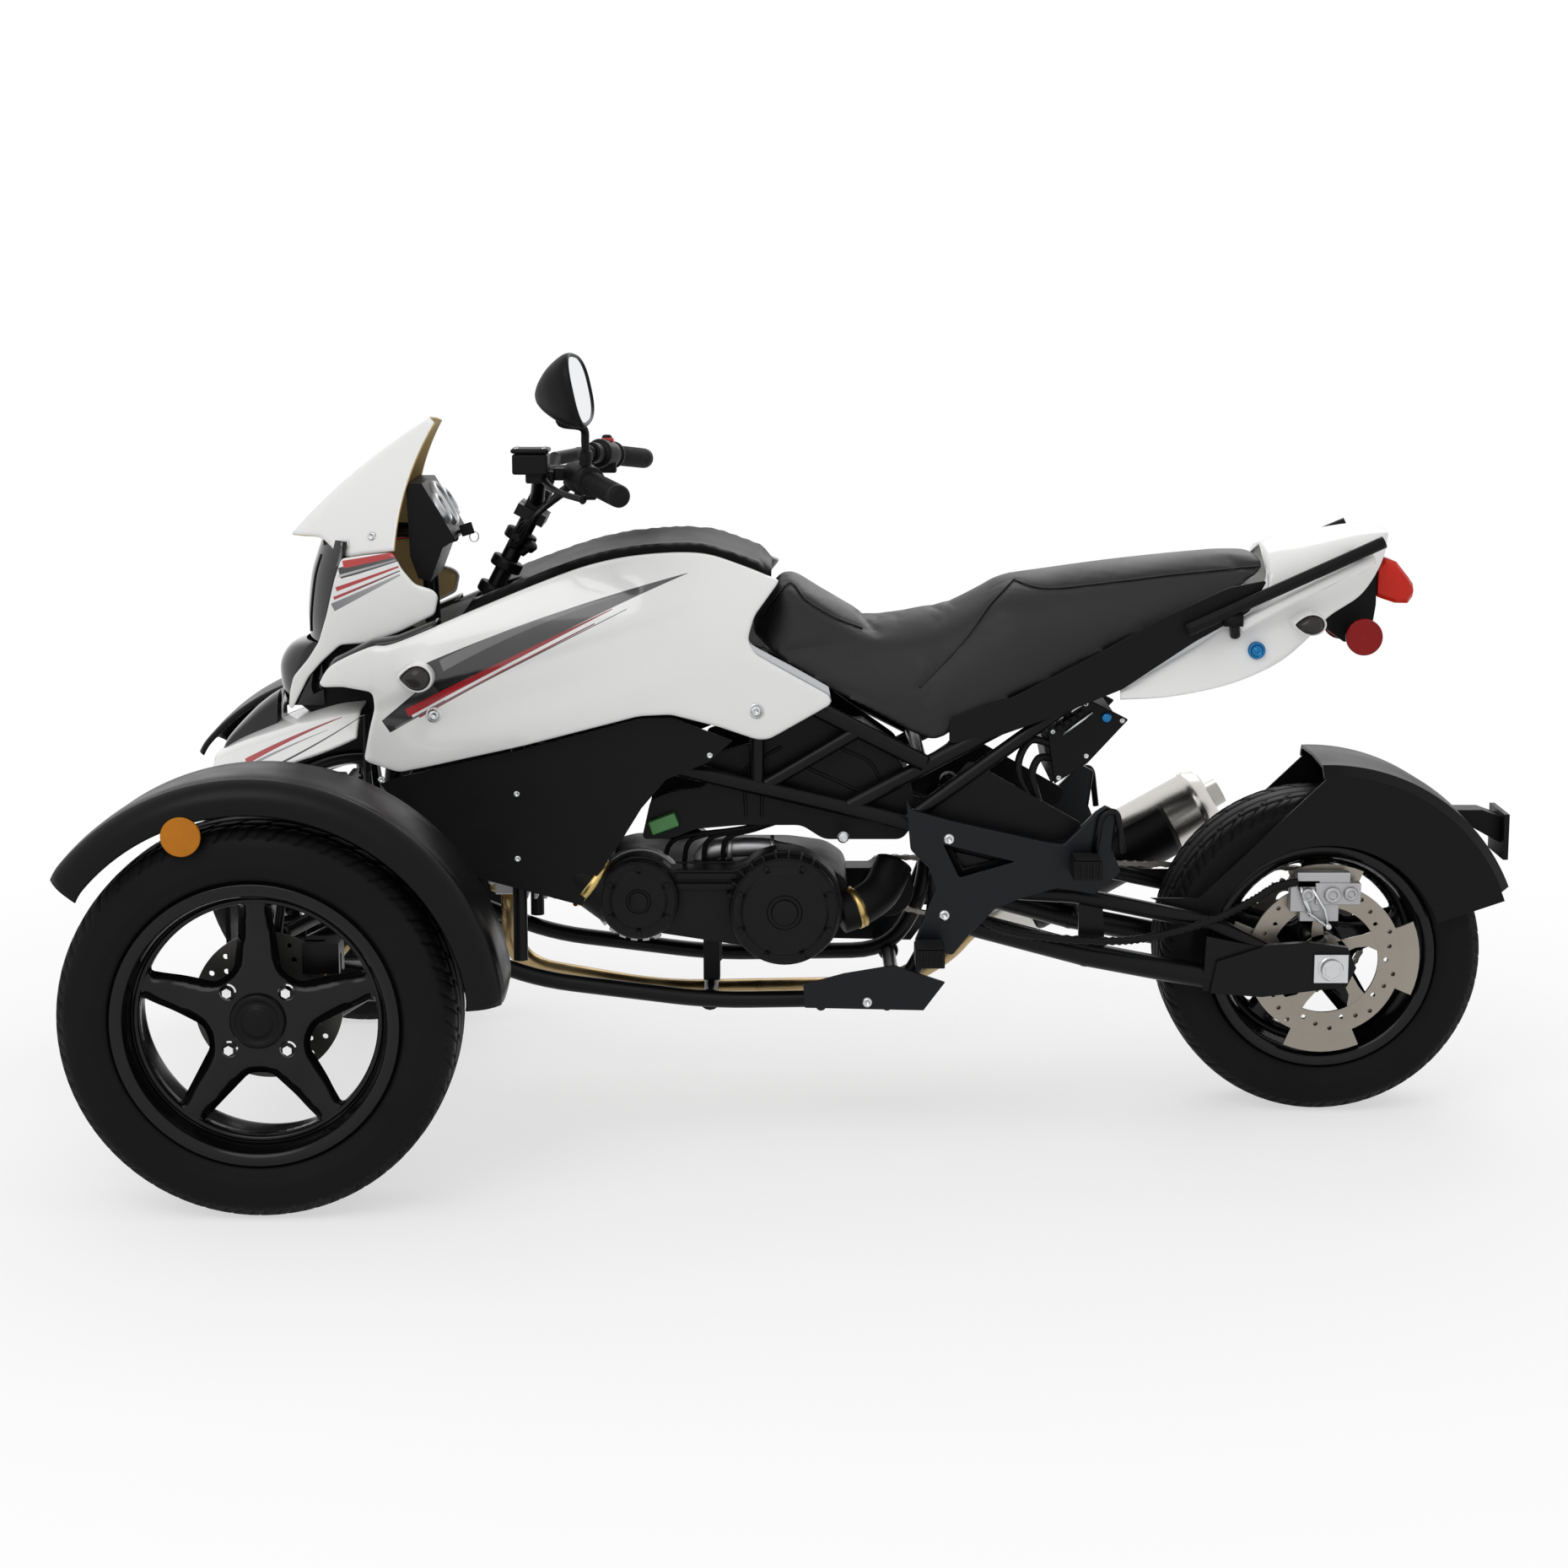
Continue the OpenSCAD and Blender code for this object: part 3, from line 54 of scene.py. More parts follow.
MM = 0.001
FRONT_AXLE_X = JOINTS["left_wheel_spin"]["pos_m"][0]
FRONT_WHEEL_Z = JOINTS["left_wheel_spin"]["pos_m"][2] / MM
FRONT_WHEEL_Y = JOINTS["right_wheel_spin"]["pos_m"][1] / MM
REAR_AXLE = (JOINTS["rear_wheel_spin"]["pos_m"][0] - FRONT_AXLE_X) / MM
REAR_WHEEL_Z = JOINTS["rear_wheel_spin"]["pos_m"][2] / MM
CHASSIS = "chassis"
SIDES = (-1, 1)


def at(station, side, height):
    """A point of the tricycle in the frame's metres."""
    return Vector((FRONT_AXLE_X + station * MM, side * MM, height * MM))


# Small geometry helpers


def mix(a, b, t):
    return a + (b - a) * t


def clamp(value, low, high):
    return min(max(value, low), high)


def ease(t):
    t = clamp(t, 0.0, 1.0)
    return t * t * (3 - 2 * t)


def lookup(x, table):
    """Straight lines between the table's [x, value] rows."""
    if x <= table[0][0]:
        return table[0][1]
    for (x0, v0), (x1, v1) in zip(table, table[1:]):
        if x <= x1:
            return mix(v0, v1, (x - x0) / (x1 - x0))
    return table[-1][1]


def smooth_rows(rows, steps, closed=False):
    """Rows of numbers on a smooth curve, with that many steps between each two."""
    count = len(rows)
    last = count if closed else count - 1
    out = []
    for i in range(last):
        if closed:
            a, b, c, d = (rows[(i + k) % count] for k in (-1, 0, 1, 2))
        else:
            a, b = rows[max(i - 1, 0)], rows[i]
            c, d = rows[i + 1], rows[min(i + 2, count - 1)]
        for j in range(steps):
            t = j / steps
            out.append(
                tuple(
                    0.5 * (2 * q + (r - p) * t + (2 * p - 5 * q + 4 * r - s) * t * t
                           + (3 * q - p - 3 * r + s) * t * t * t)
                    for p, q, r, s in zip(a, b, c, d)
                )
            )
    if not closed:
        out.append(tuple(rows[-1]))
    return out


class Shape:
    """Collects faces of one piece, in millimetres, until make() turns them into an object."""

    def __init__(self):
        self.points = []
        self.faces = []
        self.slots = []
        self.slot = 0

    def add(self, points, faces):
        base = len(self.points)
        self.points.extend(tuple(p) for p in points)
        self.faces.extend(tuple(base + i for i in face) for face in faces)
        self.slots.extend([self.slot] * len(faces))
        return self

    def grid(self, rows, close_rows=False, close_columns=False):
        """Quads between rows of points; either direction may close on itself."""
        n, m = len(rows), len(rows[0])
        faces = []
        for i in range(n if close_rows else n - 1):
            for j in range(m if close_columns else m - 1):
                a, b = i * m + j, i * m + (j + 1) % m
                c, d = ((i + 1) % n) * m + (j + 1) % m, ((i + 1) % n) * m + j
                faces.append((a, b, c, d))
        return self.add([p for row in rows for p in row], faces)

    def sweep(self, path, radius, sides=12, closed=False, capped=True):
        """A round tube along a path; radius is one number or one for each point."""
        path = [Vector(p) for p in path]
        count = len(path)
        radii = radius if isinstance(radius, (list, tuple)) else [radius] * count
        rows = []
        up = None
        for i, point in enumerate(path):
            before = path[i - 1] if i or closed else path[i]
            after = path[(i + 1) % count] if i < count - 1 or closed else path[i]
            along = (after - before).normalized()
            if up is None:
                guess = Vector((0, 0, 1)) if abs(along.z) < 0.9 else Vector((0, 1, 0))
                up = (guess - along * guess.dot(along)).normalized()
            else:
                up = (up - along * up.dot(along)).normalized()
            across = along.cross(up)
            ring = [math.tau * k / sides for k in range(sides)]
            rows.append([point + (up * math.cos(a) + across * math.sin(a)) * radii[i] for a in ring])
        base = len(self.points)
        self.grid(rows, close_rows=closed, close_columns=True)
        if capped and not closed:
            self.faces.append(tuple(base + k for k in range(sides))[::-1])
            self.faces.append(tuple(base + (count - 1) * sides + k for k in range(sides)))
            self.slots.extend([self.slot] * 2)
        return self

    def lathe(self, profile, origin, axis, segments=32, start=0.0, turn=math.tau):
        """A [distance along the axis, radius] profile turned round an axis."""
        axis = Vector(axis).normalized()
        guess = Vector((0, 0, 1)) if abs(axis.z) < 0.9 else Vector((1, 0, 0))
        up = (guess - axis * guess.dot(axis)).normalized()
        across = axis.cross(up)
        whole = abs(turn - math.tau) < 1e-6
        count = segments if whole else segments + 1
        rows = []
        for k in range(count):
            a = start + turn * k / segments
            out = up * math.cos(a) + across * math.sin(a)
            rows.append([Vector(origin) + axis * h + out * r for h, r in profile])
        return self.grid(rows, close_rows=whole)

    def block(self, low, high, turned=None, origin=(0, 0, 0)):
        """A box between two corners, turned by a matrix about an origin."""
        x0, y0, z0 = low
        x1, y1, z1 = high
        corners = [Vector((x, y, z)) for x in (x0, x1) for y in (y0, y1) for z in (z0, z1)]
        if turned is not None:
            corners = [turned @ c for c in corners]
        faces = [(0, 1, 3, 2), (4, 6, 7, 5), (0, 4, 5, 1), (2, 3, 7, 6), (0, 2, 6, 4), (1, 5, 7, 3)]
        return self.add([c + Vector(origin) for c in corners], faces)

    def prism(self, outline, y0, y1):
        """A side outline of [station, height] points drawn out from one side distance to another."""
        count = len(outline)
        points = [(x, y, z) for y in (y0, y1) for x, z in outline]
        faces = [tuple(range(count)), tuple(range(2 * count - 1, count - 1, -1))]
        faces += [(i, count + i, count + (i + 1) % count, (i + 1) % count) for i in range(count)]
        return self.add(points, faces)

    def mirrored(self):
        """Adds the same faces on the other side of the middle plane."""
        points, faces, slots = list(self.points), list(self.faces), list(self.slots)
        base = len(points)
        self.points.extend((x, -y, z) for x, y, z in points)
        self.faces.extend(tuple(base + i for i in face[::-1]) for face in faces)
        self.slots.extend(slots)
        return self

    def make(self, name, body, *finishes, replaces=(), smooth=True, outward=True):
        mesh = bpy.data.meshes.new(name)
        mesh.from_pydata([at(*p) for p in self.points], [], self.faces)
        mesh.polygons.foreach_set("material_index", self.slots)
        mesh.polygons.foreach_set("use_smooth", [smooth] * len(mesh.polygons))
        mesh.validate()
        piece = bpy.data.objects.new(name, mesh)
        bpy.context.scene.collection.objects.link(piece)
        for finish in finishes:
            mesh.materials.append(finish)
        if outward:
            face_outward(piece)
        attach(piece, body)
        if replaces:
            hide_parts(*replaces)
        return piece


def face_outward(piece):
    """Turns the faces of each closed part of a piece outwards."""
    edit = bmesh.new()
    edit.from_mesh(piece.data)
    bmesh.ops.recalc_face_normals(edit, faces=edit.faces)
    edit.to_mesh(piece.data)
    edit.free()


def modifier(piece, kind, name, **settings):
    made = piece.modifiers.new(name, kind)
    for key, value in settings.items():
        setattr(made, key, value)
    return made


def softened(piece, width, angle=35, segments=2):
    """Rounds the sharp edges of a piece."""
    modifier(piece, "WELD", "join", merge_threshold=0.00005)
    modifier(piece, "BEVEL", "edge", width=width * MM, segments=segments, limit_method="ANGLE",
             angle_limit=math.radians(angle), harden_normals=False)
    modifier(piece, "WEIGHTED_NORMAL", "shade", keep_sharp=True)
    return piece


def filled(outline, step, holes=(), rings=()):
    """Triangles that fill a flat outline, with points about a step apart and rings in from its edge."""
    xs = [p[0] for p in outline]
    zs = [p[1] for p in outline]
    loops = [list(outline), *[list(h) for h in holes]]
    points, edges = [], []
    for loop in loops:
        base = len(points)
        points.extend(Vector(p) for p in loop)
        edges.extend((base + i, base + (i + 1) % len(loop)) for i in range(len(loop)))
    for depth in rings:
        for loop in loops:
            points.extend(Vector(p) for p in inset(loop, depth))
    clear = max([step * 0.6, *[d + step * 0.5 for d in rings]])
    x = min(xs) + step / 2
    column = 0
    while x < max(xs):
        z = min(zs) + step / 2 + (step / 2 if column % 2 else 0)
        while z < max(zs):
            if min(edge_distance((x, z), loop) for loop in loops) > clear:
                points.append(Vector((x, z)))
            z += step
        x += step * 0.87
        column += 1
    verts, _, faces, _, _, _ = delaunay_2d_cdt(points, edges, [], 1 if not holes else 2, 1e-4)
    kept = []
    for face in faces:
        cx = sum(verts[i][0] for i in face) / len(face)
        cz = sum(verts[i][1] for i in face) / len(face)
        if inside((cx, cz), loops[0]) and not any(inside((cx, cz), h) for h in loops[1:]):
            kept.append(face)
    return [tuple(v) for v in verts], kept


def inside(point, loop):
    x, z = point
    odd = False
    for (x0, z0), (x1, z1) in zip(loop, [*loop[1:], loop[0]]):
        if (z0 > z) != (z1 > z) and x < (x1 - x0) * (z - z0) / (z1 - z0) + x0:
            odd = not odd
    return odd


def edge_distance(point, loop):
    best = 1e9
    px, pz = point
    for (x0, z0), (x1, z1) in zip(loop, [*loop[1:], loop[0]]):
        dx, dz = x1 - x0, z1 - z0
        size = dx * dx + dz * dz
        t = clamp(((px - x0) * dx + (pz - z0) * dz) / size, 0, 1) if size else 0
        best = min(best, math.hypot(px - x0 - dx * t, pz - z0 - dz * t))
    return best


def inset(loop, depth):
    """Points set in from a loop, kept only where they stay that far from its edge."""
    area = sum(a[0] * b[1] - b[0] * a[1] for a, b in zip(loop, [*loop[1:], loop[0]]))
    turn = 1 if area > 0 else -1
    out = []
    count = len(loop)
    for i in range(count):
        a, b = Vector(loop[i - 1]), Vector(loop[(i + 1) % count])
        along = (b - a)
        if along.length < 1e-9:
            continue
        along.normalize()
        point = Vector(loop[i]) + Vector((-along.y, along.x)) * depth * turn
        if abs(edge_distance(point, loop) - depth) < depth * 0.3:
            out.append((point.x, point.y))
    return out


# Finishes


def group(name, inputs, outputs):
    """A shader node group with named sockets; returns it with its input and output nodes."""
    tree = bpy.data.node_groups.new(name, "ShaderNodeTree")
    for label, kind, value in inputs:
        socket = tree.interface.new_socket(name=label, in_out="INPUT", socket_type=kind)
        if value is not None:
            socket.default_value = value
    for label, kind in outputs:
        tree.interface.new_socket(name=label, in_out="OUTPUT", socket_type=kind)
    return tree, tree.nodes.new("NodeGroupInput"), tree.nodes.new("NodeGroupOutput")


def node(tree, kind, links=None, **settings):
    """A node with settings by attribute or socket name, and links into its inputs."""
    made = tree.nodes.new(kind)
    for key, value in settings.items():
        if hasattr(made, key):
            setattr(made, key, value)
        else:
            made.inputs[key.replace("_", " ")].default_value = value
    for key, source in (links or {}).items():
        tree.links.new(source, made.inputs[key])
    return made


def maths(tree, operation, a, b=None, clamped=False):
    made = tree.nodes.new("ShaderNodeMath")
    made.operation = operation
    made.use_clamp = clamped
    for index, value in enumerate((a, b)):
        if value is None:
            continue
        if isinstance(value, (int, float)):
            made.inputs[index].default_value = value
        else:
            tree.links.new(value, made.inputs[index])
    return made.outputs[0]


FLOAT = "NodeSocketFloat"


def make_grain_group():
    """Fine height for moulded, cast or coated surfaces, and a wide patchy mask."""
    tree, source, sink = group(
        "Surface grain", [("Fine", FLOAT, 900.0), ("Patch", FLOAT, 9.0), ("Stretch", FLOAT, 1.0)],
        [("Height", FLOAT), ("Patches", FLOAT)])
    place = node(tree, "ShaderNodeTexCoord")
    split = node(tree, "ShaderNodeSeparateXYZ", {0: place.outputs["Object"]})
    long = maths(tree, "MULTIPLY", split.outputs[0], source.outputs["Stretch"])
    joined = node(tree, "ShaderNodeCombineXYZ", {0: long, 1: split.outputs[1], 2: split.outputs[2]})
    fine = node(tree, "ShaderNodeTexNoise", {"Vector": joined.outputs[0], "Scale": source.outputs["Fine"]},
                Detail=3.0, Roughness=0.6)
    patch = node(tree, "ShaderNodeTexNoise", {"Vector": joined.outputs[0],
                                              "Scale": source.outputs["Patch"]},
                 Detail=4.0, Roughness=0.55)
    tree.links.new(fine.outputs["Fac"], sink.inputs["Height"])
    tree.links.new(patch.outputs["Fac"], sink.inputs["Patches"])
    return tree


def make_hide_group():
    """Creased cells of grained vinyl."""
    tree, source, sink = group("Vinyl hide", [("Cells", FLOAT, 420.0)], [("Height", FLOAT)])
    place = node(tree, "ShaderNodeTexCoord")
    wobble = node(tree, "ShaderNodeTexNoise", {"Vector": place.outputs["Object"]}, Scale=60.0, Detail=2.0)
    bent = node(tree, "ShaderNodeMixRGB", {"Color1": place.outputs["Object"],
                                           "Color2": wobble.outputs["Color"]},
                Fac=0.012)
    cells = node(tree, "ShaderNodeTexVoronoi", {"Vector": bent.outputs[0],
                                                "Scale": source.outputs["Cells"]},
                 feature="DISTANCE_TO_EDGE")
    spread = maths(tree, "MULTIPLY", cells.outputs["Distance"], 2.2, clamped=True)
    height = maths(tree, "POWER", spread, 0.4)
    tree.links.new(height, sink.inputs["Height"])
    return tree


def make_band_group():
    """Mask of a tapered stripe drawn on the tricycle's side, between two points given in metres."""
    tree, source, sink = group(
        "Side stripe",
        [("Start X", FLOAT, 0.0), ("Start Z", FLOAT, 0.0), ("End X", FLOAT, 1.0), ("End Z", FLOAT, 0.0),
         ("Start width", FLOAT, 0.01), ("End width", FLOAT, 0.01), ("Bow", FLOAT, 0.0),
         ("Fade", FLOAT, 0.0)],
        [("Mask", FLOAT), ("Run", FLOAT)])
    place = node(tree, "ShaderNodeTexCoord")
    split = node(tree, "ShaderNodeSeparateXYZ", {0: place.outputs["Object"]})
    px = maths(tree, "SUBTRACT", split.outputs[0], source.outputs["Start X"])
    pz = maths(tree, "SUBTRACT", split.outputs[2], source.outputs["Start Z"])
    dx = maths(tree, "SUBTRACT", source.outputs["End X"], source.outputs["Start X"])
    dz = maths(tree, "SUBTRACT", source.outputs["End Z"], source.outputs["Start Z"])
    size = maths(tree, "SQRT", maths(tree, "ADD", maths(tree, "MULTIPLY", dx, dx),
                                     maths(tree, "MULTIPLY", dz, dz)))
    dot = maths(tree, "ADD", maths(tree, "MULTIPLY", px, dx), maths(tree, "MULTIPLY", pz, dz))
    run = maths(tree, "DIVIDE", dot, maths(tree, "MULTIPLY", size, size))
    cross = maths(tree, "SUBTRACT", maths(tree, "MULTIPLY", pz, dx), maths(tree, "MULTIPLY", px, dz))
    off = maths(tree, "DIVIDE", cross, size)
    arch = maths(tree, "MULTIPLY", maths(tree, "MULTIPLY", run, maths(tree, "SUBTRACT", 1.0, run)), 4.0)
    off = maths(tree, "SUBTRACT", off, maths(tree, "MULTIPLY", arch, source.outputs["Bow"]))
    grow = maths(tree, "SUBTRACT", source.outputs["End width"], source.outputs["Start width"])
    width = maths(tree, "ADD", source.outputs["Start width"], maths(tree, "MULTIPLY", grow, run))
    half = maths(tree, "MULTIPLY", width, 0.5)
    spare = maths(tree, "SUBTRACT", half, maths(tree, "ABSOLUTE", off))
    edge = maths(tree, "MULTIPLY", spare, 2500.0, clamped=True)
    begun = maths(tree, "MULTIPLY", run, 400.0, clamped=True)
    ended = maths(tree, "MULTIPLY", maths(tree, "SUBTRACT", 1.0, run), 400.0, clamped=True)
    fade = maths(tree, "SUBTRACT", 1.0, maths(tree, "MULTIPLY", run, source.outputs["Fade"]), clamped=True)
    mask = maths(tree, "MULTIPLY", maths(tree, "MULTIPLY", edge, fade),
                 maths(tree, "MULTIPLY", begun, ended))
    tree.links.new(mask, sink.inputs["Mask"])
    tree.links.new(run, sink.inputs["Run"])
    return tree


GRAIN = make_grain_group()
HIDE = make_hide_group()
BAND = make_band_group()


def placed_group(tree, grouped, **values):
    made = tree.nodes.new("ShaderNodeGroup")
    made.node_tree = grouped
    for label, value in values.items():
        made.inputs[label.replace("_", " ")].default_value = value
    return made


def finish(name, colour, roughness, metallic=0.0, drift=0.15, rough_drift=0.1, bump=0.15, fine=900.0,
           patch=9.0, stretch=1.0, depth=0.0002, **sockets):
    """A surface whose colour and roughness drift in patches, with a fine bump."""
    material = bpy.data.materials.new(name)
    material.use_nodes = True
    tree = material.node_tree
    shader = tree.nodes["Principled BSDF"]
    shader.inputs["Metallic"].default_value = metallic
    for label, value in sockets.items():
        shader.inputs[label.replace("_", " ")].default_value = value
    grain = placed_group(tree, GRAIN, Fine=fine, Patch=patch, Stretch=stretch)
    dark = tuple(c * (1 - drift) for c in colour)
    ramp = tree.nodes.new("ShaderNodeValToRGB")
    ramp.color_ramp.elements[0].position = 0.3
    ramp.color_ramp.elements[1].position = 0.7
    ramp.color_ramp.elements[0].color = (*dark, 1)
    ramp.color_ramp.elements[1].color = (*colour, 1)
    tree.links.new(grain.outputs["Patches"], ramp.inputs[0])
    tree.links.new(ramp.outputs[0], shader.inputs["Base Color"])
    spread = tree.nodes.new("ShaderNodeMapRange")
    spread.inputs["From Min"].default_value = 0.3
    spread.inputs["From Max"].default_value = 0.7
    spread.inputs["To Min"].default_value = max(roughness - rough_drift, 0.02)
    spread.inputs["To Max"].default_value = roughness + rough_drift
    tree.links.new(grain.outputs["Patches"], spread.inputs["Value"])
    tree.links.new(spread.outputs[0], shader.inputs["Roughness"])
    if bump:
        relief = tree.nodes.new("ShaderNodeBump")
        relief.inputs["Strength"].default_value = bump
        relief.inputs["Distance"].default_value = depth
        tree.links.new(grain.outputs["Height"], relief.inputs["Height"])
        tree.links.new(relief.outputs[0], shader.inputs["Normal"])
    return material


def with_hide(material, cells, strength, depth=0.0005):
    """Swaps the bump of a finish for vinyl hide."""
    tree = material.node_tree
    hide = placed_group(tree, HIDE, Cells=cells)
    relief = next(n for n in tree.nodes if n.type == "BUMP")
    relief.inputs["Strength"].default_value = strength
    relief.inputs["Distance"].default_value = depth
    tree.links.new(hide.outputs["Height"], relief.inputs["Height"])
    return material


def with_stripes(material, stripes):
    """Paints stripes over the base colour, the last one on top."""
    tree = material.node_tree
    shader = tree.nodes["Principled BSDF"]
    colour = shader.inputs["Base Color"].links[0].from_socket
    for start, end, widths, bow, fade, paint, paint_end in stripes:
        first, last = at(start[0], 0, start[1]), at(end[0], 0, end[1])
        band = placed_group(tree, BAND, Start_X=first.x, Start_Z=first.z, End_X=last.x, End_Z=last.z,
                            Start_width=widths[0] * MM, End_width=widths[1] * MM, Bow=bow * MM, Fade=fade)
        run = tree.nodes.new("ShaderNodeMixRGB")
        run.inputs["Color1"].default_value = (*paint, 1)
        run.inputs["Color2"].default_value = (*paint_end, 1)
        tree.links.new(band.outputs["Run"], run.inputs["Fac"])
        over = tree.nodes.new("ShaderNodeMixRGB")
        tree.links.new(band.outputs["Mask"], over.inputs["Fac"])
        tree.links.new(colour, over.inputs["Color1"])
        tree.links.new(run.outputs[0], over.inputs["Color2"])
        colour = over.outputs[0]
    tree.links.new(colour, shader.inputs["Base Color"])
    return material


WHITE = (0.90, 0.90, 0.89)
RED = (0.45, 0.015, 0.02)
INK = (0.02, 0.02, 0.022)
GREY = (0.32, 0.32, 0.34)

white_paint = finish("white_paint", WHITE, 0.22, drift=0.02, rough_drift=0.04, bump=0.03, fine=250.0,
                     Coat_Weight=0.7, Coat_Roughness=0.06)
gloss_black = finish("gloss_black", (0.006, 0.006, 0.007), 0.14, drift=0.2, rough_drift=0.04, bump=0.02,
                     fine=300.0, Specular_IOR_Level=0.3, Coat_Weight=0.25, Coat_Roughness=0.05)
tank_black = finish("tank_black", (0.0035, 0.0035, 0.004), 0.36, drift=0.2, rough_drift=0.05, bump=0.03,
                    fine=300.0, Specular_IOR_Level=0.04)
satin_black = finish("satin_black_plastic", (0.0045, 0.0045, 0.005), 0.42, rough_drift=0.06, bump=0.2,
                     fine=1400.0, Specular_IOR_Level=0.13)
frame_black = finish("frame_black_coating", (0.0035, 0.0037, 0.0045), 0.30, rough_drift=0.05, bump=0.08,
                     fine=500.0, Specular_IOR_Level=0.16)
# The blue tint in this black is painted sheen, standing in for the plates' bluish reflection; their gloss
# comes from roughness and specular.
plate_black_painted_sheen = finish("plate_black_painted_blue_sheen", (0.0035, 0.0048, 0.0075), 0.30, rough_drift=0.06, bump=0.06,
                     fine=500.0, Specular_IOR_Level=0.22)
fender_black = finish("fender_black_plastic", (0.0045, 0.0045, 0.005), 0.34, rough_drift=0.06, bump=0.12,
                      fine=1200.0, Specular_IOR_Level=0.13)
rubber = finish("tyre_rubber", (0.005, 0.005, 0.005), 0.62, rough_drift=0.1, bump=0.25, fine=1200.0,
                Specular_IOR_Level=0.12)
hose_rubber = finish("hose_rubber", (0.005, 0.005, 0.0055), 0.5, rough_drift=0.1, bump=0.2, fine=1500.0,
                     Specular_IOR_Level=0.14)
wheel_black = finish("wheel_black_gloss", (0.0035, 0.0035, 0.004), 0.2, rough_drift=0.05, bump=0.04,
                     fine=350.0, Specular_IOR_Level=0.2, Coat_Weight=0.08, Coat_Roughness=0.1)
cast_black = finish("engine_black_casting", (0.0045, 0.0045, 0.005), 0.42, rough_drift=0.1, bump=0.4,
                    fine=700.0, Specular_IOR_Level=0.16)
cast_alloy = finish("cast_alloy", (0.45, 0.45, 0.46), 0.42, metallic=0.9, rough_drift=0.1, bump=0.4,
                    fine=600.0)
# The disc's warm brown tint is its own colour; its darkness below bare steel is painted shade, for the
# shadow the disc sits in.
shaded_disc_steel = finish("shaded_disc_steel", (0.33, 0.30, 0.255), 0.36, metallic=1.0, rough_drift=0.08, bump=0.1,
                    fine=900.0)
zinc = finish("zinc_fastener", (0.66, 0.67, 0.68), 0.25, metallic=1.0, rough_drift=0.08, bump=0.05)
chrome = finish("chrome", (0.85, 0.85, 0.86), 0.06, metallic=1.0, rough_drift=0.02, bump=0.0)
brass = finish("yellow_zinc", (0.62, 0.45, 0.17), 0.32, metallic=1.0, rough_drift=0.1, bump=0.1)
header_gold = finish("heated_header", (0.55, 0.40, 0.20), 0.33, metallic=1.0, drift=0.45, rough_drift=0.1,
                     bump=0.1, patch=14.0)
stainless = finish("stainless", (0.68, 0.66, 0.62), 0.24, metallic=1.0, drift=0.12, rough_drift=0.08,
                   bump=0.12, fine=700.0, stretch=0.05)
vinyl = finish("seat_vinyl", (0.012, 0.012, 0.013), 0.48, rough_drift=0.05, bump=0.2,
               Specular_IOR_Level=0.32)
with_hide(vinyl, 420.0, 0.25)
cream = finish("cream_inner_plastic", (0.72, 0.53, 0.24), 0.45, drift=0.08, bump=0.1)
chain_steel = finish("chain_steel", (0.30, 0.28, 0.25), 0.4, metallic=1.0, drift=0.3, bump=0.2)
spring_paint = finish("spring_paint", (0.006, 0.006, 0.0065), 0.3, rough_drift=0.05, bump=0.05,
                      Specular_IOR_Level=0.2)
disc_iron = finish("dull_disc_iron", (0.07, 0.068, 0.065), 0.45, metallic=0.7, rough_drift=0.1, bump=0.15,
                   fine=300.0)
silver_plastic = finish("silver_plastic", (0.55, 0.56, 0.58), 0.35, metallic=0.6, drift=0.08, bump=0.05)


def lens(name, colour, roughness=0.12, clear=0.0):
    """A lamp lens, clear or filled with colour."""
    return finish(name, colour, roughness, drift=0.25, rough_drift=0.03, bump=0.1, fine=450.0,
                  Specular_IOR_Level=0.18, Coat_Weight=0.06, Coat_Roughness=0.03,
                  Transmission_Weight=clear, IOR=1.49)


red_lens = lens("red_lens", (0.30, 0.004, 0.004))
lamp_red = lens("lamp_red_lens", (0.72, 0.022, 0.008))
amber_lens = lens("amber_lens", (0.56, 0.19, 0.004))
smoke_lens = lens("smoked_lens", (0.045, 0.042, 0.04), 0.1, 0.1)
dark_lens = finish("dark_lamp_lens", (0.004, 0.004, 0.0045), 0.05, rough_drift=0.02, bump=0.0,
                   Specular_IOR_Level=0.3, Coat_Weight=0.3, Coat_Roughness=0.02)
mirror_glass = finish("mirror_glass", (0.8, 0.82, 0.84), 0.03, metallic=1.0, drift=0.02, rough_drift=0.01,
                      bump=0.0)
blue_plug = finish("blue_anodised", (0.02, 0.18, 0.42), 0.3, metallic=0.8, bump=0.1)
red_plastic = finish("red_switch_plastic", (0.55, 0.02, 0.015), 0.35, bump=0.05)
green_plastic = finish("green_plug", (0.05, 0.22, 0.05), 0.4, bump=0.05)

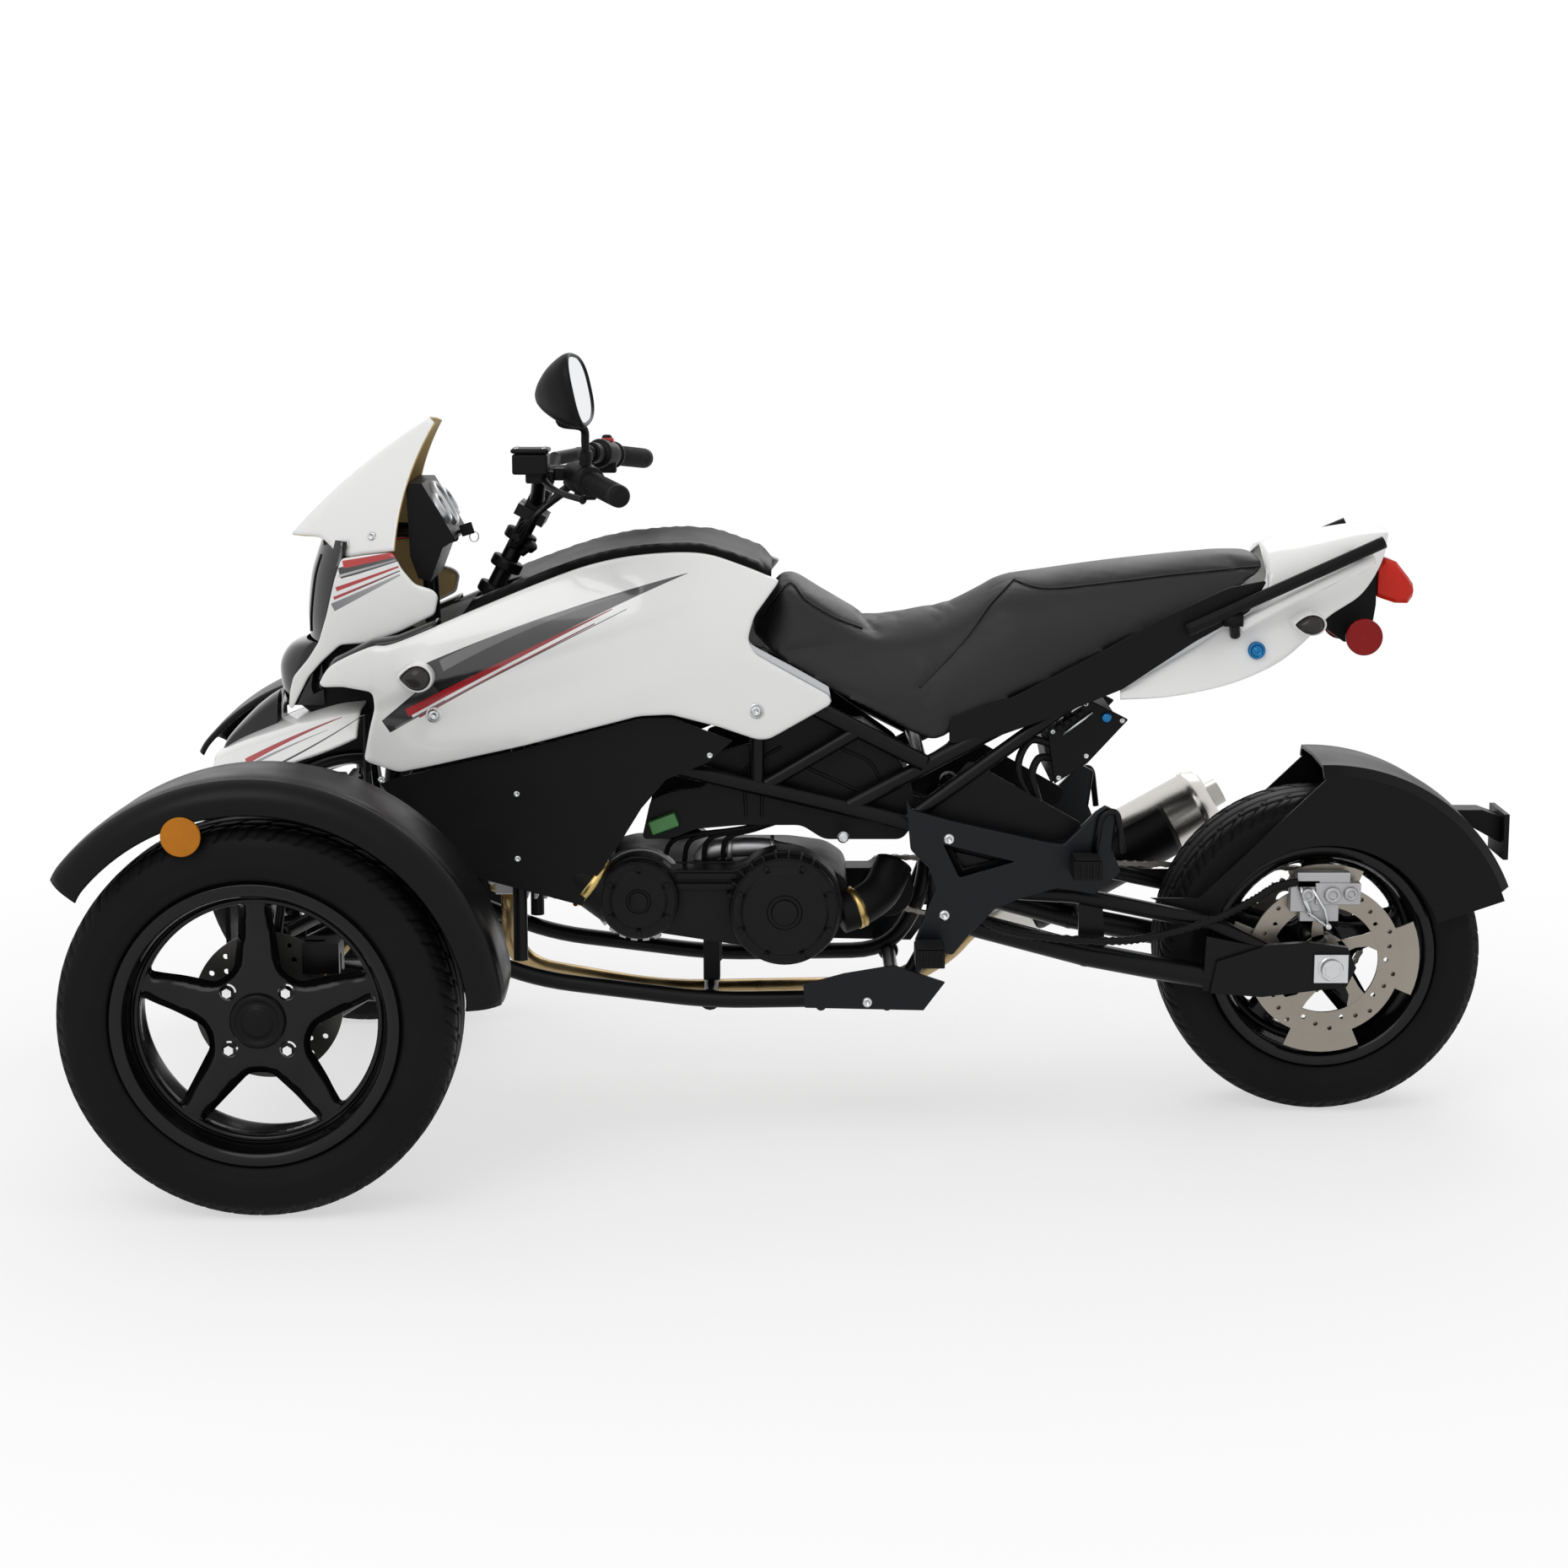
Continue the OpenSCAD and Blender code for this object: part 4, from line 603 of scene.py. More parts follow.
NODE_FINISHES = {
    frame_black: ["frame_left", "frame_right", "cradle_rails", "cross_tubes", "front_subframe",
                  "control_arms", "swingarm", "steering_column", "knuckle_left", "knuckle_right"],
    plate_black_painted_sheen: ["foot_plates", "side_boards"],
    cast_black: ["engine", "cvt_cover", "air_box", "electrics_box", "rear_caliper"],
    satin_black: ["lower_panels", "fender_left", "fender_right", "rear_fender", "tail_bracket", "foot_pegs",
                  "grab_handles", "hand_controls", "instrument_pod", "mirrors", "handlebar"],
    white_paint: ["side_panels", "nose_cowl", "windscreen", "nose_panel", "tail_cowl"],
    gloss_black: ["tank_cover", "nose_centre"],
    dark_lens: ["headlamp"],
    vinyl: ["seat"],
    rubber: ["front_tyre_left", "front_tyre_right", "rear_tyre"],
    hose_rubber: ["grips"],
    wheel_black: ["front_rim_left", "front_rim_right", "rear_rim"],
    disc_iron: ["front_disc_left", "front_disc_right"],
    shaded_disc_steel: ["rear_discs"],
    zinc: ["rear_axle"],
    header_gold: ["exhaust_pipe"],
    stainless: ["silencer"],
    chain_steel: ["chain"],
    brass: ["tie_rod_left", "tie_rod_right"],
    red_lens: ["tail_lamp"],
    smoke_lens: ["turn_signals"],
    spring_paint: ["front_shocks", "rear_shock"],
}
for made, names in NODE_FINISHES.items():
    for name in names:
        NODES[name].data.materials.clear()
        NODES[name].data.materials.append(made)


# Body panels


def rounded(outline, radius, steps=5):
    """An outline with its corners turned into short curves."""
    out = []
    count = len(outline)
    for i, corner in enumerate(outline):
        corner = Vector(corner)
        for_cut = []
        for other in (Vector(outline[i - 1]), Vector(outline[(i + 1) % count])):
            edge = other - corner
            for_cut.append(corner + edge * min(radius / max(edge.length, 1e-6), 0.48))
        first, last = for_cut
        for k in range(steps + 1):
            t = k / steps
            point = first * (1 - t) ** 2 + corner * 2 * t * (1 - t) + last * t * t
            out.append((point.x, point.y))
    return out


def rolled(distance, radius):
    """How far a moulded edge drops, that distance in from its rim."""
    if distance >= radius:
        return 0.0
    return radius - math.sqrt(radius * radius - (radius - distance) ** 2)


def dense(loop, step):
    """A closed outline with points no further apart than a step."""
    out = []
    for a, b in zip(loop, [*loop[1:], loop[0]]):
        parts = max(1, math.ceil(math.dist(a, b) / step))
        out.extend((mix(a[0], b[0], k / parts), mix(a[1], b[1], k / parts)) for k in range(parts))
    return out


def side_sheet(outline, side_of, step, roll):
    """One moulded panel on the right side, with rolled edges; side_of gives its sideways distance."""
    outline = dense(outline, step * 0.6)
    points, faces = filled(outline, step, rings=(roll * 0.15, roll * 0.45, roll))
    sheet = []
    for x, z in points:
        drop = rolled(edge_distance((x, z), outline), roll)
        sheet.append((x, side_of(x, z) - drop, z))
    return Shape().add(sheet, [face[::-1] for face in faces])


SIDE_WIDTHS = [(20, 128), (60, 168), (110, 198), (200, 211), (350, 217), (520, 217), (640, 211), (730, 199),
               (820, 178)]


def side_width(x, z):
    """Half width of the body at a station and height."""
    return lookup(x, SIDE_WIDTHS) - 0.0015 * max(0, z - 700) ** 2 - 0.0008 * max(0, 660 - z) ** 2


PANEL_TOP = [(26, 690), (50, 722), (113, 754), (151, 760), (266, 808), (368, 849), (444, 875), (520, 889),
             (608, 891), (671, 873), (728, 850)]
PANEL_MOUTH = [(690, 800), (680, 766), (690, 745), (804, 678), (806, 665)]
PANEL_FOOT = [(711, 614), (693, 614), (633, 636), (565, 654), (517, 652), (341, 606), (153, 563), (99, 580),
              (109, 624), (119, 663), (116, 686), (65, 690), (31, 684)]
PANEL_THICKNESS = 4
CHANNEL_START, CHANNEL_END = (120, 636), (640, 800)     # middle of the hollow below the stripes
CHANNEL_DEPTH = 7


def panel_side(x, z):
    """The side panel's surface: a soft hollow runs back and up below the stripes."""
    start, end = Vector(CHANNEL_START), Vector(CHANNEL_END)
    along = end - start
    here = Vector((x, z)) - start
    run = here.dot(along) / along.length_squared
    off = (here.y * along.x - here.x * along.y) / along.length
    fade = ease(run * 4 + 0.3) * ease((1.02 - run) * 2.2)
    edge = ease((34 - off) / 14) * ease((off + 78) / 62)
    crown = 5 * ease((z - lookup(x, PANEL_TOP) + 40) / 40)
    return side_width(x, z) - CHANNEL_DEPTH * fade * edge - crown * 0.5


PANEL_STRIPES = [
    # start, end, widths, bow, fade, colour at the start and at the end
    ((196, 697), (590, 863), (62, 1), 9, 0.0, (0.012, 0.012, 0.013), (0.05, 0.05, 0.052)),
    ((222, 728), (500, 834), (18, 1), 9, 0.15, (0.16, 0.16, 0.165), (0.10, 0.10, 0.105)),
    ((136, 634), (216, 690), (22, 40), 0, 0.0, INK, (0.05, 0.05, 0.05)),
    ((168, 655), (478, 812), (13, 2), 2, 0.0, RED, (0.25, 0.02, 0.02)),
    ((176, 650), (440, 789), (4.5, 1.5), 2, 0.0, WHITE, WHITE),
    ((186, 650), (452, 791), (5, 2), 2, 0.0, RED, (0.18, 0.02, 0.02)),
    ((150, 632), (500, 812), (3, 1.5), 2, 0.0, (0.16, 0.16, 0.17), INK),
]
COWL_STRIPES = [
    ((60, 856), (156, 886), (18, 14), 0, 0.0, INK, (0.08, 0.08, 0.08)),
    ((66, 870), (148, 888), (12, 8), 0, 0.0, (0.55, 0.02, 0.02), RED),
    ((58, 852), (150, 880), (4, 3), 0, 0.0, (0.55, 0.55, 0.56), GREY),
    ((58, 846), (152, 874), (3, 2), 0, 0.0, WHITE, WHITE),
    ((54, 832), (154, 870), (7, 3), 0, 0.0, RED, RED),
    ((54, 825), (154, 866), (4, 2), 0, 0.0, WHITE, WHITE),
    ((50, 818), (156, 864), (5, 2), 0, 0.0, RED, INK),
    ((48, 804), (156, 858), (13, 3), 0, 0.1, (0.20, 0.20, 0.21), (0.35, 0.35, 0.36)),
]
NOSE_STRIPES = [
    ((-92, 566), (60, 638), (9, 1.5), 3, 0.0, RED, (0.3, 0.05, 0.05)),
    ((-60, 556), (112, 654), (4, 1), -3, 0.0, INK, INK),
    ((-92, 558), (40, 620), (5, 1), 2, 0.0, GREY, GREY),
]
panel_paint = with_stripes(white_paint.copy(), PANEL_STRIPES)
panel_paint.name = "white_paint_panel_stripes"
cowl_paint = with_stripes(white_paint.copy(), COWL_STRIPES)
cowl_paint.name = "white_paint_cowl_stripes"
nose_paint = with_stripes(white_paint.copy(), NOSE_STRIPES)
nose_paint.name = "white_paint_nose_stripes"


def thick(piece, thickness, inner=0, rim=0):
    modifier(piece, "SOLIDIFY", "wall", thickness=thickness * MM, offset=-1, material_offset=inner,
             material_offset_rim=rim)
    return piece


def make_side_panels():
    outline = rounded(smooth_rows(PANEL_TOP, 4) + PANEL_MOUTH + PANEL_FOOT, 9)
    shape = side_sheet(outline, panel_side, 9, 6).mirrored()
    panels = shape.make("side_panel_pair", CHASSIS, panel_paint, replaces=("side_panels",), outward=False)
    thick(panels, PANEL_THICKNESS)


def cowl_side(x, z):
    front = math.sin(math.pi / 2 * clamp((x + 48) / 270, 0, 1))
    return 64 + 94 * front - 0.0004 * max(0, 800 - z) ** 2 - 0.0009 * max(0, z - 820) ** 2


COWL_OUTLINE = [(63, 879), (104, 886), (146, 891), (158, 867), (178, 844), (205, 836), (214, 826),
                (208, 798), (152, 770), (105, 752), (59, 747), (28, 720), (4, 694), (-26, 640), (-32, 644),
                (-29, 668), (-22, 692), (4, 722), (23, 750), (37, 792), (51, 846)]


def make_cowl():
    shape = side_sheet(rounded(COWL_OUTLINE, 7), cowl_side, 7, 4).mirrored()
    cowl = shape.make("headlamp_cowl", CHASSIS, cowl_paint, cream, replaces=("nose_cowl",), outward=False)
    thick(cowl, PANEL_THICKNESS, inner=1, rim=0)


SCREEN_LOW = [(-29, 0, 906), (-8, 34, 907), (25, 60, 905), (62, 96, 882), (104, 118, 886), (146, 139, 893)]
SCREEN_TOP = [(188, 0, 1086), (189, 10, 1086), (191, 20, 1085), (194, 30, 1084), (197, 40, 1082),
              (200, 48, 1080)]
SCREEN_BELLY, SCREEN_RISE = 46, 14


def make_screen():
    low = smooth_rows(SCREEN_LOW, 6)
    top = smooth_rows(SCREEN_TOP, 6)
    low = [(x, -y, z) for x, y, z in low[:0:-1]] + low
    top = [(x, -y, z) for x, y, z in top[:0:-1]] + top
    rows = []
    for i in range(31):
        t = i / 30
        swell = t * (1 - t)
        rows.append([(mix(a[0], b[0], t) - SCREEN_BELLY * swell, mix(a[1], b[1], t),
                      mix(a[2], b[2], t) + SCREEN_RISE * swell)
                     for a, b in zip(low, top)])
    screen = Shape().grid(rows[::-1]).make("fly_screen", CHASSIS, white_paint, cream,
                                           replaces=("windscreen",), outward=False)
    thick(screen, 3.2, inner=1, rim=1)


def hoop_point(row, t, side):
    """A point on a body hoop: t runs from 0 at the crown to 1 at the foot."""
    station, top, foot, crown, base = row
    if t < 0.5:
        return (station, side * crown * math.sin(t * math.pi) * 0.96,
                top - (top - foot) * 0.28 * (1 - math.cos(t * math.pi)))
    k = (t - 0.5) * 2
    return (station, side * mix(crown * 0.96, base, k), mix(top - (top - foot) * 0.28, foot, k))


NOSE_TABLE = [(-150, 562, 540, 40, 62), (-105, 590, 548, 84, 112), (-40, 618, 562, 112, 146),
              (40, 644, 590, 128, 165), (88, 650, 612, 136, 172)]
TAIL_TABLE = [(1244, 720, 668, 128, 150), (1316, 760, 672, 130, 150), (1392, 820, 686, 128, 146),
              (1446, 870, 704, 124, 140), (1491, 896, 727, 118, 132), (1529, 903, 758, 110, 122),
              (1562, 909, 790, 100, 110), (1611, 917, 820, 84, 92), (1641, 917, 858, 66, 72),
              (1660, 912, 898, 44, 50)]
# where the seat meets the tail
TAIL_EDGE = [(1200, 690), (1246, 684), (1390, 776), (1461, 838), (1473, 866)]


def make_nose():
    rows = smooth_rows(NOSE_TABLE, 10)
    steps = [k / 28 for k in range(29)]
    grid = [[hoop_point(r, t, -1) for t in steps[:0:-1]] + [hoop_point(r, t, 1) for t in steps]
            for r in rows]
    nose = Shape().grid(grid).make("nose_beak", CHASSIS, nose_paint, replaces=("nose_panel",),
                                   outward=False)
    thick(nose, PANEL_THICKNESS)


def tail_start(row):
    """Where a tail hoop begins: below the seat's edge, or at the crown behind the seat."""
    if row[0] >= TAIL_EDGE[-1][0]:
        return 0.0
    edge = lookup(row[0], TAIL_EDGE)
    low, high = 0.0, 0.999
    for _ in range(30):
        half = (low + high) / 2
        low, high = (half, high) if hoop_point(row, half, 1)[2] > edge else (low, half)
    return high


def make_tail():
    rows = smooth_rows(TAIL_TABLE, 12)
    shape = Shape()
    grid = []
    for row in rows:
        first = tail_start(row)
        grid.append([hoop_point(row, mix(first, 1, k / 24), 1) for k in range(25)])
    shape.grid(grid)
    tail = shape.mirrored().make("tail_shell", CHASSIS, white_paint, replaces=("tail_cowl",), outward=False)
    modifier(tail, "WELD", "join", merge_threshold=0.0003)
    thick(tail, PANEL_THICKNESS)


PANEL_GAP = 2.5
TANK_FRONT, TANK_REAR = 250, 714.8
COLUMN_HOLE, COLUMN_HOLE_STATION = 44, 283
PANEL_TOP_FINE = smooth_rows(PANEL_TOP, 6)


def tank_edge(x):
    return side_width(x, lookup(x, PANEL_TOP)) - PANEL_THICKNESS * 1.7 - PANEL_GAP


def tank_height(x, u):
    return lookup(x, PANEL_TOP_FINE) + 2 + 20 * (1 - u * u)


def make_tank():
    count = 40
    stations = [mix(TANK_FRONT, TANK_REAR, i / count) for i in range(count + 1)]
    notch = math.sqrt(COLUMN_HOLE ** 2 - (COLUMN_HOLE_STATION - TANK_FRONT) ** 2)
    first = math.atan2(notch, TANK_FRONT - COLUMN_HOLE_STATION)
    arc = [(COLUMN_HOLE_STATION + COLUMN_HOLE * math.cos(a), COLUMN_HOLE * math.sin(a))
           for a in (mix(-first, first, k / 24) for k in range(25))]
    outline = [(x, -tank_edge(x)) for x in stations[::-1]] + arc + [(x, tank_edge(x)) for x in stations]
    points, faces = filled(outline, 11, rings=(1, 3.5, 8))
    sheet = []
    for x, y in points:
        u = y / tank_edge(x)
        wall = 13 * ease((1 - abs(u)) / 0.1)
        from_edge = edge_distance((x, y), outline)
        sheet.append((x, y, tank_height(x, 1) + wall - 9 * (1 - u * u) - rolled(from_edge, 4)))
    tank = Shape().add(sheet, faces).make("tank_lid", CHASSIS, tank_black, replaces=("tank_cover",),
                                          outward=False)
    thick(tank, PANEL_THICKNESS)


for build in (make_side_panels, make_cowl, make_screen, make_nose, make_tail, make_tank):
    build()


# Seat

SEAT_TABLE = [
    # station, top, bottom, half width at the top, half width at the foot
    (684, 772, 764, 70, 84), (706, 810, 744, 92, 116), (735, 853, 722, 104, 132),
    (793, 820, 686, 112, 140), (862, 783, 652, 118, 146), (954, 790, 606, 126, 148),
    (1000, 800, 624, 128, 148), (1042, 824, 646, 124, 146), (1072, 843, 664, 120, 144),
    (1142, 853, 696, 114, 138), (1251, 867, 752, 106, 130), (1335, 876, 786, 98, 122),
    (1400, 881, 816, 90, 112), (1452, 884, 850, 80, 100), (1468, 876, 862, 70, 90)]
SEAT_SHRINK = 5                 # the cover swells by about this much
SEAT_SWELL_LIMIT = 9
SEAT_VOXEL = 6
SEAT_SEAMS = [
    [(700, 786), (740, 836), (770, 811), (812, 786), (855, 768)],
    [(1087, 840), (1050, 807), (1006, 751), (940, 684)],
    [(1087, 840), (1140, 830), (1251, 842), (1335, 852), (1400, 858), (1462, 864)],
]
SEAM_WIDTH, SEAM_DEPTH = 7, 2.6


def seat_ring(row):
    station, top, foot, crown, base = row
    row = (station, top - SEAT_SHRINK, foot, crown - SEAT_SHRINK, base - SEAT_SHRINK)
    steps = [k / 18 for k in range(19)]
    return [hoop_point(row, t, -1) for t in steps[:0:-1]] + [hoop_point(row, t, 1) for t in steps]


def seat_form():
    rows = smooth_rows(SEAT_TABLE, 6)
    rings = [seat_ring(r) for r in rows]
    shape = Shape().grid(rings, close_columns=True)
    count = len(rings[0])
    last = len(shape.points) - count
    shape.faces += [tuple(range(count)), tuple(range(last + count - 1, last - 1, -1))]
    shape.slots += [0, 0]
    return shape


def swollen(piece):
    """The cover blown up by a short cloth run, with each point kept near where it began."""
    scene = bpy.context.scene
    modifier(piece, "REMESH", "voxels", mode="VOXEL", voxel_size=SEAT_VOXEL * MM)
    view = bpy.context.evaluated_depsgraph_get()
    even = bpy.data.meshes.new_from_object(piece.evaluated_get(view))
    piece.modifiers.clear()
    piece.data = even
    begun = [v.co.copy() for v in even.vertices]
    held = piece.vertex_groups.new(name="held")
    held.add([v.index for v in even.vertices if v.normal.z < -0.35], 1.0, "REPLACE")
    cloth = piece.modifiers.new("cloth", "CLOTH")
    cloth.settings.vertex_group_mass = "held"
    cloth.settings.use_pressure = True
    cloth.settings.uniform_pressure_force = 4
    cloth.settings.effector_weights.gravity = 0
    for step in range(1, 21):
        scene.frame_set(step)
    view = bpy.context.evaluated_depsgraph_get()
    blown = bpy.data.meshes.new_from_object(piece.evaluated_get(view))
    piece.modifiers.clear()
    piece.data = blown
    scene.frame_set(1)
    for v, start in zip(blown.vertices, begun):
        move = v.co - start
        if move.length > SEAT_SWELL_LIMIT * MM:
            v.co = start + move.normalized() * SEAT_SWELL_LIMIT * MM
    return piece


def surface_line(tree, line, side, reach=300):
    """A [station, height] line thrown sideways onto a surface."""
    out = []
    for x, z in smooth_rows(line, 14):
        hit, normal, _, _ = tree.ray_cast(at(x, side * reach, z), Vector((0, -side, 0)))
        if hit is not None:
            out.append((hit, normal))
    return out


def make_seat():
    seat = seat_form().make("seat_cushion", CHASSIS, vinyl, replaces=("seat",))
    swollen(seat)
    tree = BVHTree.FromObject(seat, bpy.context.evaluated_depsgraph_get())
    lines = [surface_line(tree, line, side) for line in SEAT_SEAMS for side in SIDES]
    spots = KDTree(sum(len(line) for line in lines))
    index = 0
    for line in lines:
        for hit, _ in line:
            spots.insert(hit, index)
            index += 1
    spots.balance()
    for v in seat.data.vertices:
        _, _, gap = spots.find(v.co)
        v.co -= v.normal * SEAM_DEPTH * MM * math.exp(-(gap / (SEAM_WIDTH * MM * 0.6)) ** 2)
    seat.data.polygons.foreach_set("use_smooth", [True] * len(seat.data.polygons))
    modifier(seat, "SMOOTH", "even", factor=0.5, iterations=3)
    modifier(seat, "SUBSURF", "fine", levels=1, render_levels=1)
    if not seat.data.materials:
        seat.data.materials.append(vinyl)
    piping = Shape()
    for line in lines:
        path = [((p.x - FRONT_AXLE_X) / MM, p.y / MM, p.z / MM) for p, _ in line]
        if len(path) > 3:
            piping.sweep(path, 1.3, sides=6)
    piping.make("seat_piping", CHASSIS, vinyl)


make_seat()


# Tyres

TYRES = (
    # name, node, body, station, side, height, radius, width, bead radius, pitches
    ("left_tyre", "front_tyre_left", "left_wheel", 0, -FRONT_WHEEL_Y, FRONT_WHEEL_Z, 281, 165, 190.5, 44),
    ("right_tyre", "front_tyre_right", "right_wheel", 0, FRONT_WHEEL_Y, FRONT_WHEEL_Z, 281, 165, 190.5, 44),
    ("driven_tyre", "rear_tyre", "rear_wheel", REAR_AXLE, 0, REAR_WHEEL_Z, 252.5, 178, 165, 40),
)
TREAD_DEPTH = 5
STEPS_PER_PITCH = 16


def tyre_profile(radius, width, bead):
    """Half section from the tread's middle to the bead: radius, sideways distance, share of tread."""
    half = [(radius, 0, 1), (radius, 0.12, 1), (radius - 1.5, 0.28, 1), (radius - 4.5, 0.39, 1),
            (radius - 12, 0.445, 0.8),
            (mix(bead, radius, 0.75), 0.485, 0.0), (mix(bead, radius, 0.45), 0.5, 0.0),
            (bead + 17, 0.455, 0.0), (bead + 12, 0.42, 0.0), (bead, 0.415, 0.0)]
    return [(r, s * width, max(0.0, min(1.0, t))) for r, s, t in smooth_rows(half, 5)]


def tread_cut(turn, across, share):
    """Depth of the tread at a turn counted in pitches and a sideways share of the half width."""
    straight = max(math.exp(-((abs(across) - 0.22) / 0.035) ** 2),
                   math.exp(-((abs(across) - 0.56) / 0.03) ** 2))
    lean = 1.5 * abs(across) ** 1.4 + (0.5 if across > 0 else 0.0)
    phase = (turn + lean) % 1.0
    slot = ease(min(phase, 0.16 - phase) / 0.035) if phase < 0.16 else 0.0
    slot *= ease((abs(across) - 0.25) / 0.06)
    second = (turn + lean + 0.5) % 1.0
    fine = ease(min(second, 0.09 - second) / 0.03) * 0.7 if second < 0.09 else 0.0
    fine *= ease((abs(across) - 0.6) / 0.06)
    return TREAD_DEPTH * share * max(straight, slot, fine)


def make_tyre(name, cad, body, station, side, height, radius, width, bead, pitches):
    half = tyre_profile(radius, width, bead)
    section = [(r, -s, t) for r, s, t in half[:0:-1]] + half
    rows = []
    count = pitches * STEPS_PER_PITCH
    for k in range(count):
        turn = k / STEPS_PER_PITCH
        angle = math.tau * k / count
        row = []
        for r, s, share in section:
            cut = tread_cut(turn, s / (width / 2), share) if share > 0 else 0.0
            ring = 0.5 * math.sin(r * 0.9) if share == 0 and bead + 20 < r < radius - 26 else 0.0
            depth = r - cut
            outward = s + (ring if s > 0 else -ring)
            row.append((station + depth * math.sin(angle), side + outward,
                        height + depth * math.cos(angle)))
        rows.append(row)
    Shape().grid(rows, close_rows=True).make(name, body, rubber, replaces=(cad,))


for spec in TYRES:
    make_tyre(*spec)


# Wheels


def ring_points(radius, count, start=0.0):
    return [(radius * math.cos(start + math.tau * k / count),
             radius * math.sin(start + math.tau * k / count))
            for k in range(count)]


def star_windows(spokes, inner, outer, root, tip, first, corner):
    """Openings between tapered spokes; root and tip are a spoke's half widths."""
    out = []
    for k in range(spokes):
        here = first + math.tau * k / spokes
        there = here + math.tau / spokes
        edge = []
        for j in range(7):
            r = mix(outer, inner, j / 6)
            edge.append((r, math.asin(mix(root, tip, (r - inner) / (outer - inner)) / r)))
        loop = [(r * math.cos(here + a), r * math.sin(here + a)) for r, a in edge]
        loop += [(r * math.cos(there - a), r * math.sin(there - a)) for r, a in edge[::-1]]
        begin, stop = there - edge[0][1], here + edge[0][1]
        loop += [(outer * math.cos(mix(begin, stop, t / 6)), outer * math.sin(mix(begin, stop, t / 6)))
                 for t in range(1, 6)]
        out.append(rounded(loop, corner, steps=3))
    return out


def star_face(spokes, hub, inner, outer, plate, root, tip, first, dish, ridge, step):
    """Flat fill of a spoked wheel face, with a height for each point above the wheel's middle."""
    windows = star_windows(spokes, inner, outer, root, tip, first, 13)
    circle = ring_points(plate, 96)
    points, faces = filled(circle, step, holes=windows, rings=(1.2, 4, 8))
    raised = []
    for u, v in points:
        r = math.hypot(u, v)
        gap = min(edge_distance((u, v), w) for w in windows)
        height = dish(r) - rolled(gap, 8) + ridge * ease(gap / 22) * ease((r - hub) / 20)
        raised.append((u, v, height))
    return raised, faces


FRONT_BEAD, FRONT_WIDTH = 190.5, 165
FRONT_PLATE = 178
FRONT_NUTS, FRONT_NUT_RADIUS = 4, 58


def front_dish(r):
    return 45 - 7 * ease((r - 60) / 60) + 4 * ease((r - 120) / 30)


def barrel_profile(bead, width, lip):
    """Closed [sideways distance, radius] section of a wheel's barrel."""
    s = width * 0.42
    half = [(0, bead - 14), (s - 24, bead - 14), (s - 8, bead - 11), (s + 4, bead - 7), (s + 8, bead - 5),
            (s + 9, bead + lip - 2), (s + 8, bead + lip), (s + 0.9, bead + lip), (s + 0.4, bead - 0.2),
            (s - 10, bead - 0.4), (s - 22, bead - 8), (0, bead - 8)]
    return half + [(-w, r) for w, r in half[::-1]]


def wheel_spot(side, u, v, out):
    return (u, side * (FRONT_WHEEL_Y + out), FRONT_WHEEL_Z + v)


def hexagon(shape, spot, axis, across, height, hole=0.0):
    """A nut or bolt head with chamfered corners."""
    r = across / 2
    shape.lathe([(0, 0), (0, r), (height * 0.8, r), (height, r * 0.84), (height, hole), (height * 0.6, 0)],
                spot, axis, segments=6)


def bolt_head(shape, spot, axis, radius, height):
    """A domed head with a socket."""
    shape.lathe([(-1, radius), (height * 0.45, radius), (height * 0.9, radius * 0.72),
                 (height, radius * 0.5), (height * 0.35, radius * 0.42),
                 (height * 0.35, 0)], spot, axis, segments=16)


def make_front_wheel(name, node_name, body, side, star):
    points, faces = star
    plate = Shape()
    order = faces if side < 0 else [f[::-1] for f in faces]
    plate.add([wheel_spot(side, u, v, h) for u, v, h in points], order)
    face = plate.make(name + "_spokes", body, wheel_black, outward=False)
    thick(face, 20)
    rim = Shape()
    middle = wheel_spot(side, 0, 0, 0)
    axis = (0, side, 0)
    rim.lathe(barrel_profile(FRONT_BEAD, FRONT_WIDTH, 11), middle, axis, segments=96)
    rim.lathe([(22, 179), (40, 178), (46, 174), (46, 169), (42, 167), (22, 167), (22, 179)],
              middle, axis, 96)
    rim.lathe([(-44, 20), (-44, 52), (-36, 52), (-36, 38), (24, 38), (24, 62), (30, 66), (40, 62), (44, 44),
               (44, 20)],
              middle, axis, 48)
    rim.make(name + "_rim", body, wheel_black, replaces=(node_name,))
    cap = Shape()
    cap.lathe([(44, 40), (50, 39), (53, 36), (53, 31), (51, 30), (51, 24), (54, 22), (56, 17), (57, 0)],
              middle, axis, 48)
    cap.make(name + "_cap", body, satin_black)
    nuts = Shape()
    for k in range(FRONT_NUTS):
        a = math.tau * (k + 0.5) / FRONT_NUTS
        spot = wheel_spot(side, FRONT_NUT_RADIUS * math.cos(a), FRONT_NUT_RADIUS * math.sin(a), 43)
        nuts.lathe([(0, 12), (2, 12), (4, 10)], spot, axis, 20)
        hexagon(nuts, tuple(Vector(spot) + Vector(axis) * 2), axis, 17, 9)
    nuts.make(name + "_nuts", body, chrome, smooth=False)
    stem = Shape()
    root = Vector((-0.64, 0, -0.77))
    a, b = root * 174, root * 136
    path = [wheel_spot(side, p.x, p.z, h) for p, h in ((a, 30), (mix(a, b, 0.4), 31), (b, 34))]
    stem.sweep(smooth_rows(path, 5), [5.5] * 4 + [4] * 7, sides=10)
    stem.make(name + "_valve", body, hose_rubber)


def make_front_wheels():
    star = star_face(5, 62, 78, 167, FRONT_PLATE, 33, 20, math.pi / 2, front_dish, 3, 7)
    make_front_wheel("left_wheel", "front_rim_left", "left_wheel", -1, star)
    make_front_wheel("right_wheel", "front_rim_right", "right_wheel", 1, star)


REAR_BEAD, REAR_WIDTH = 165, 178


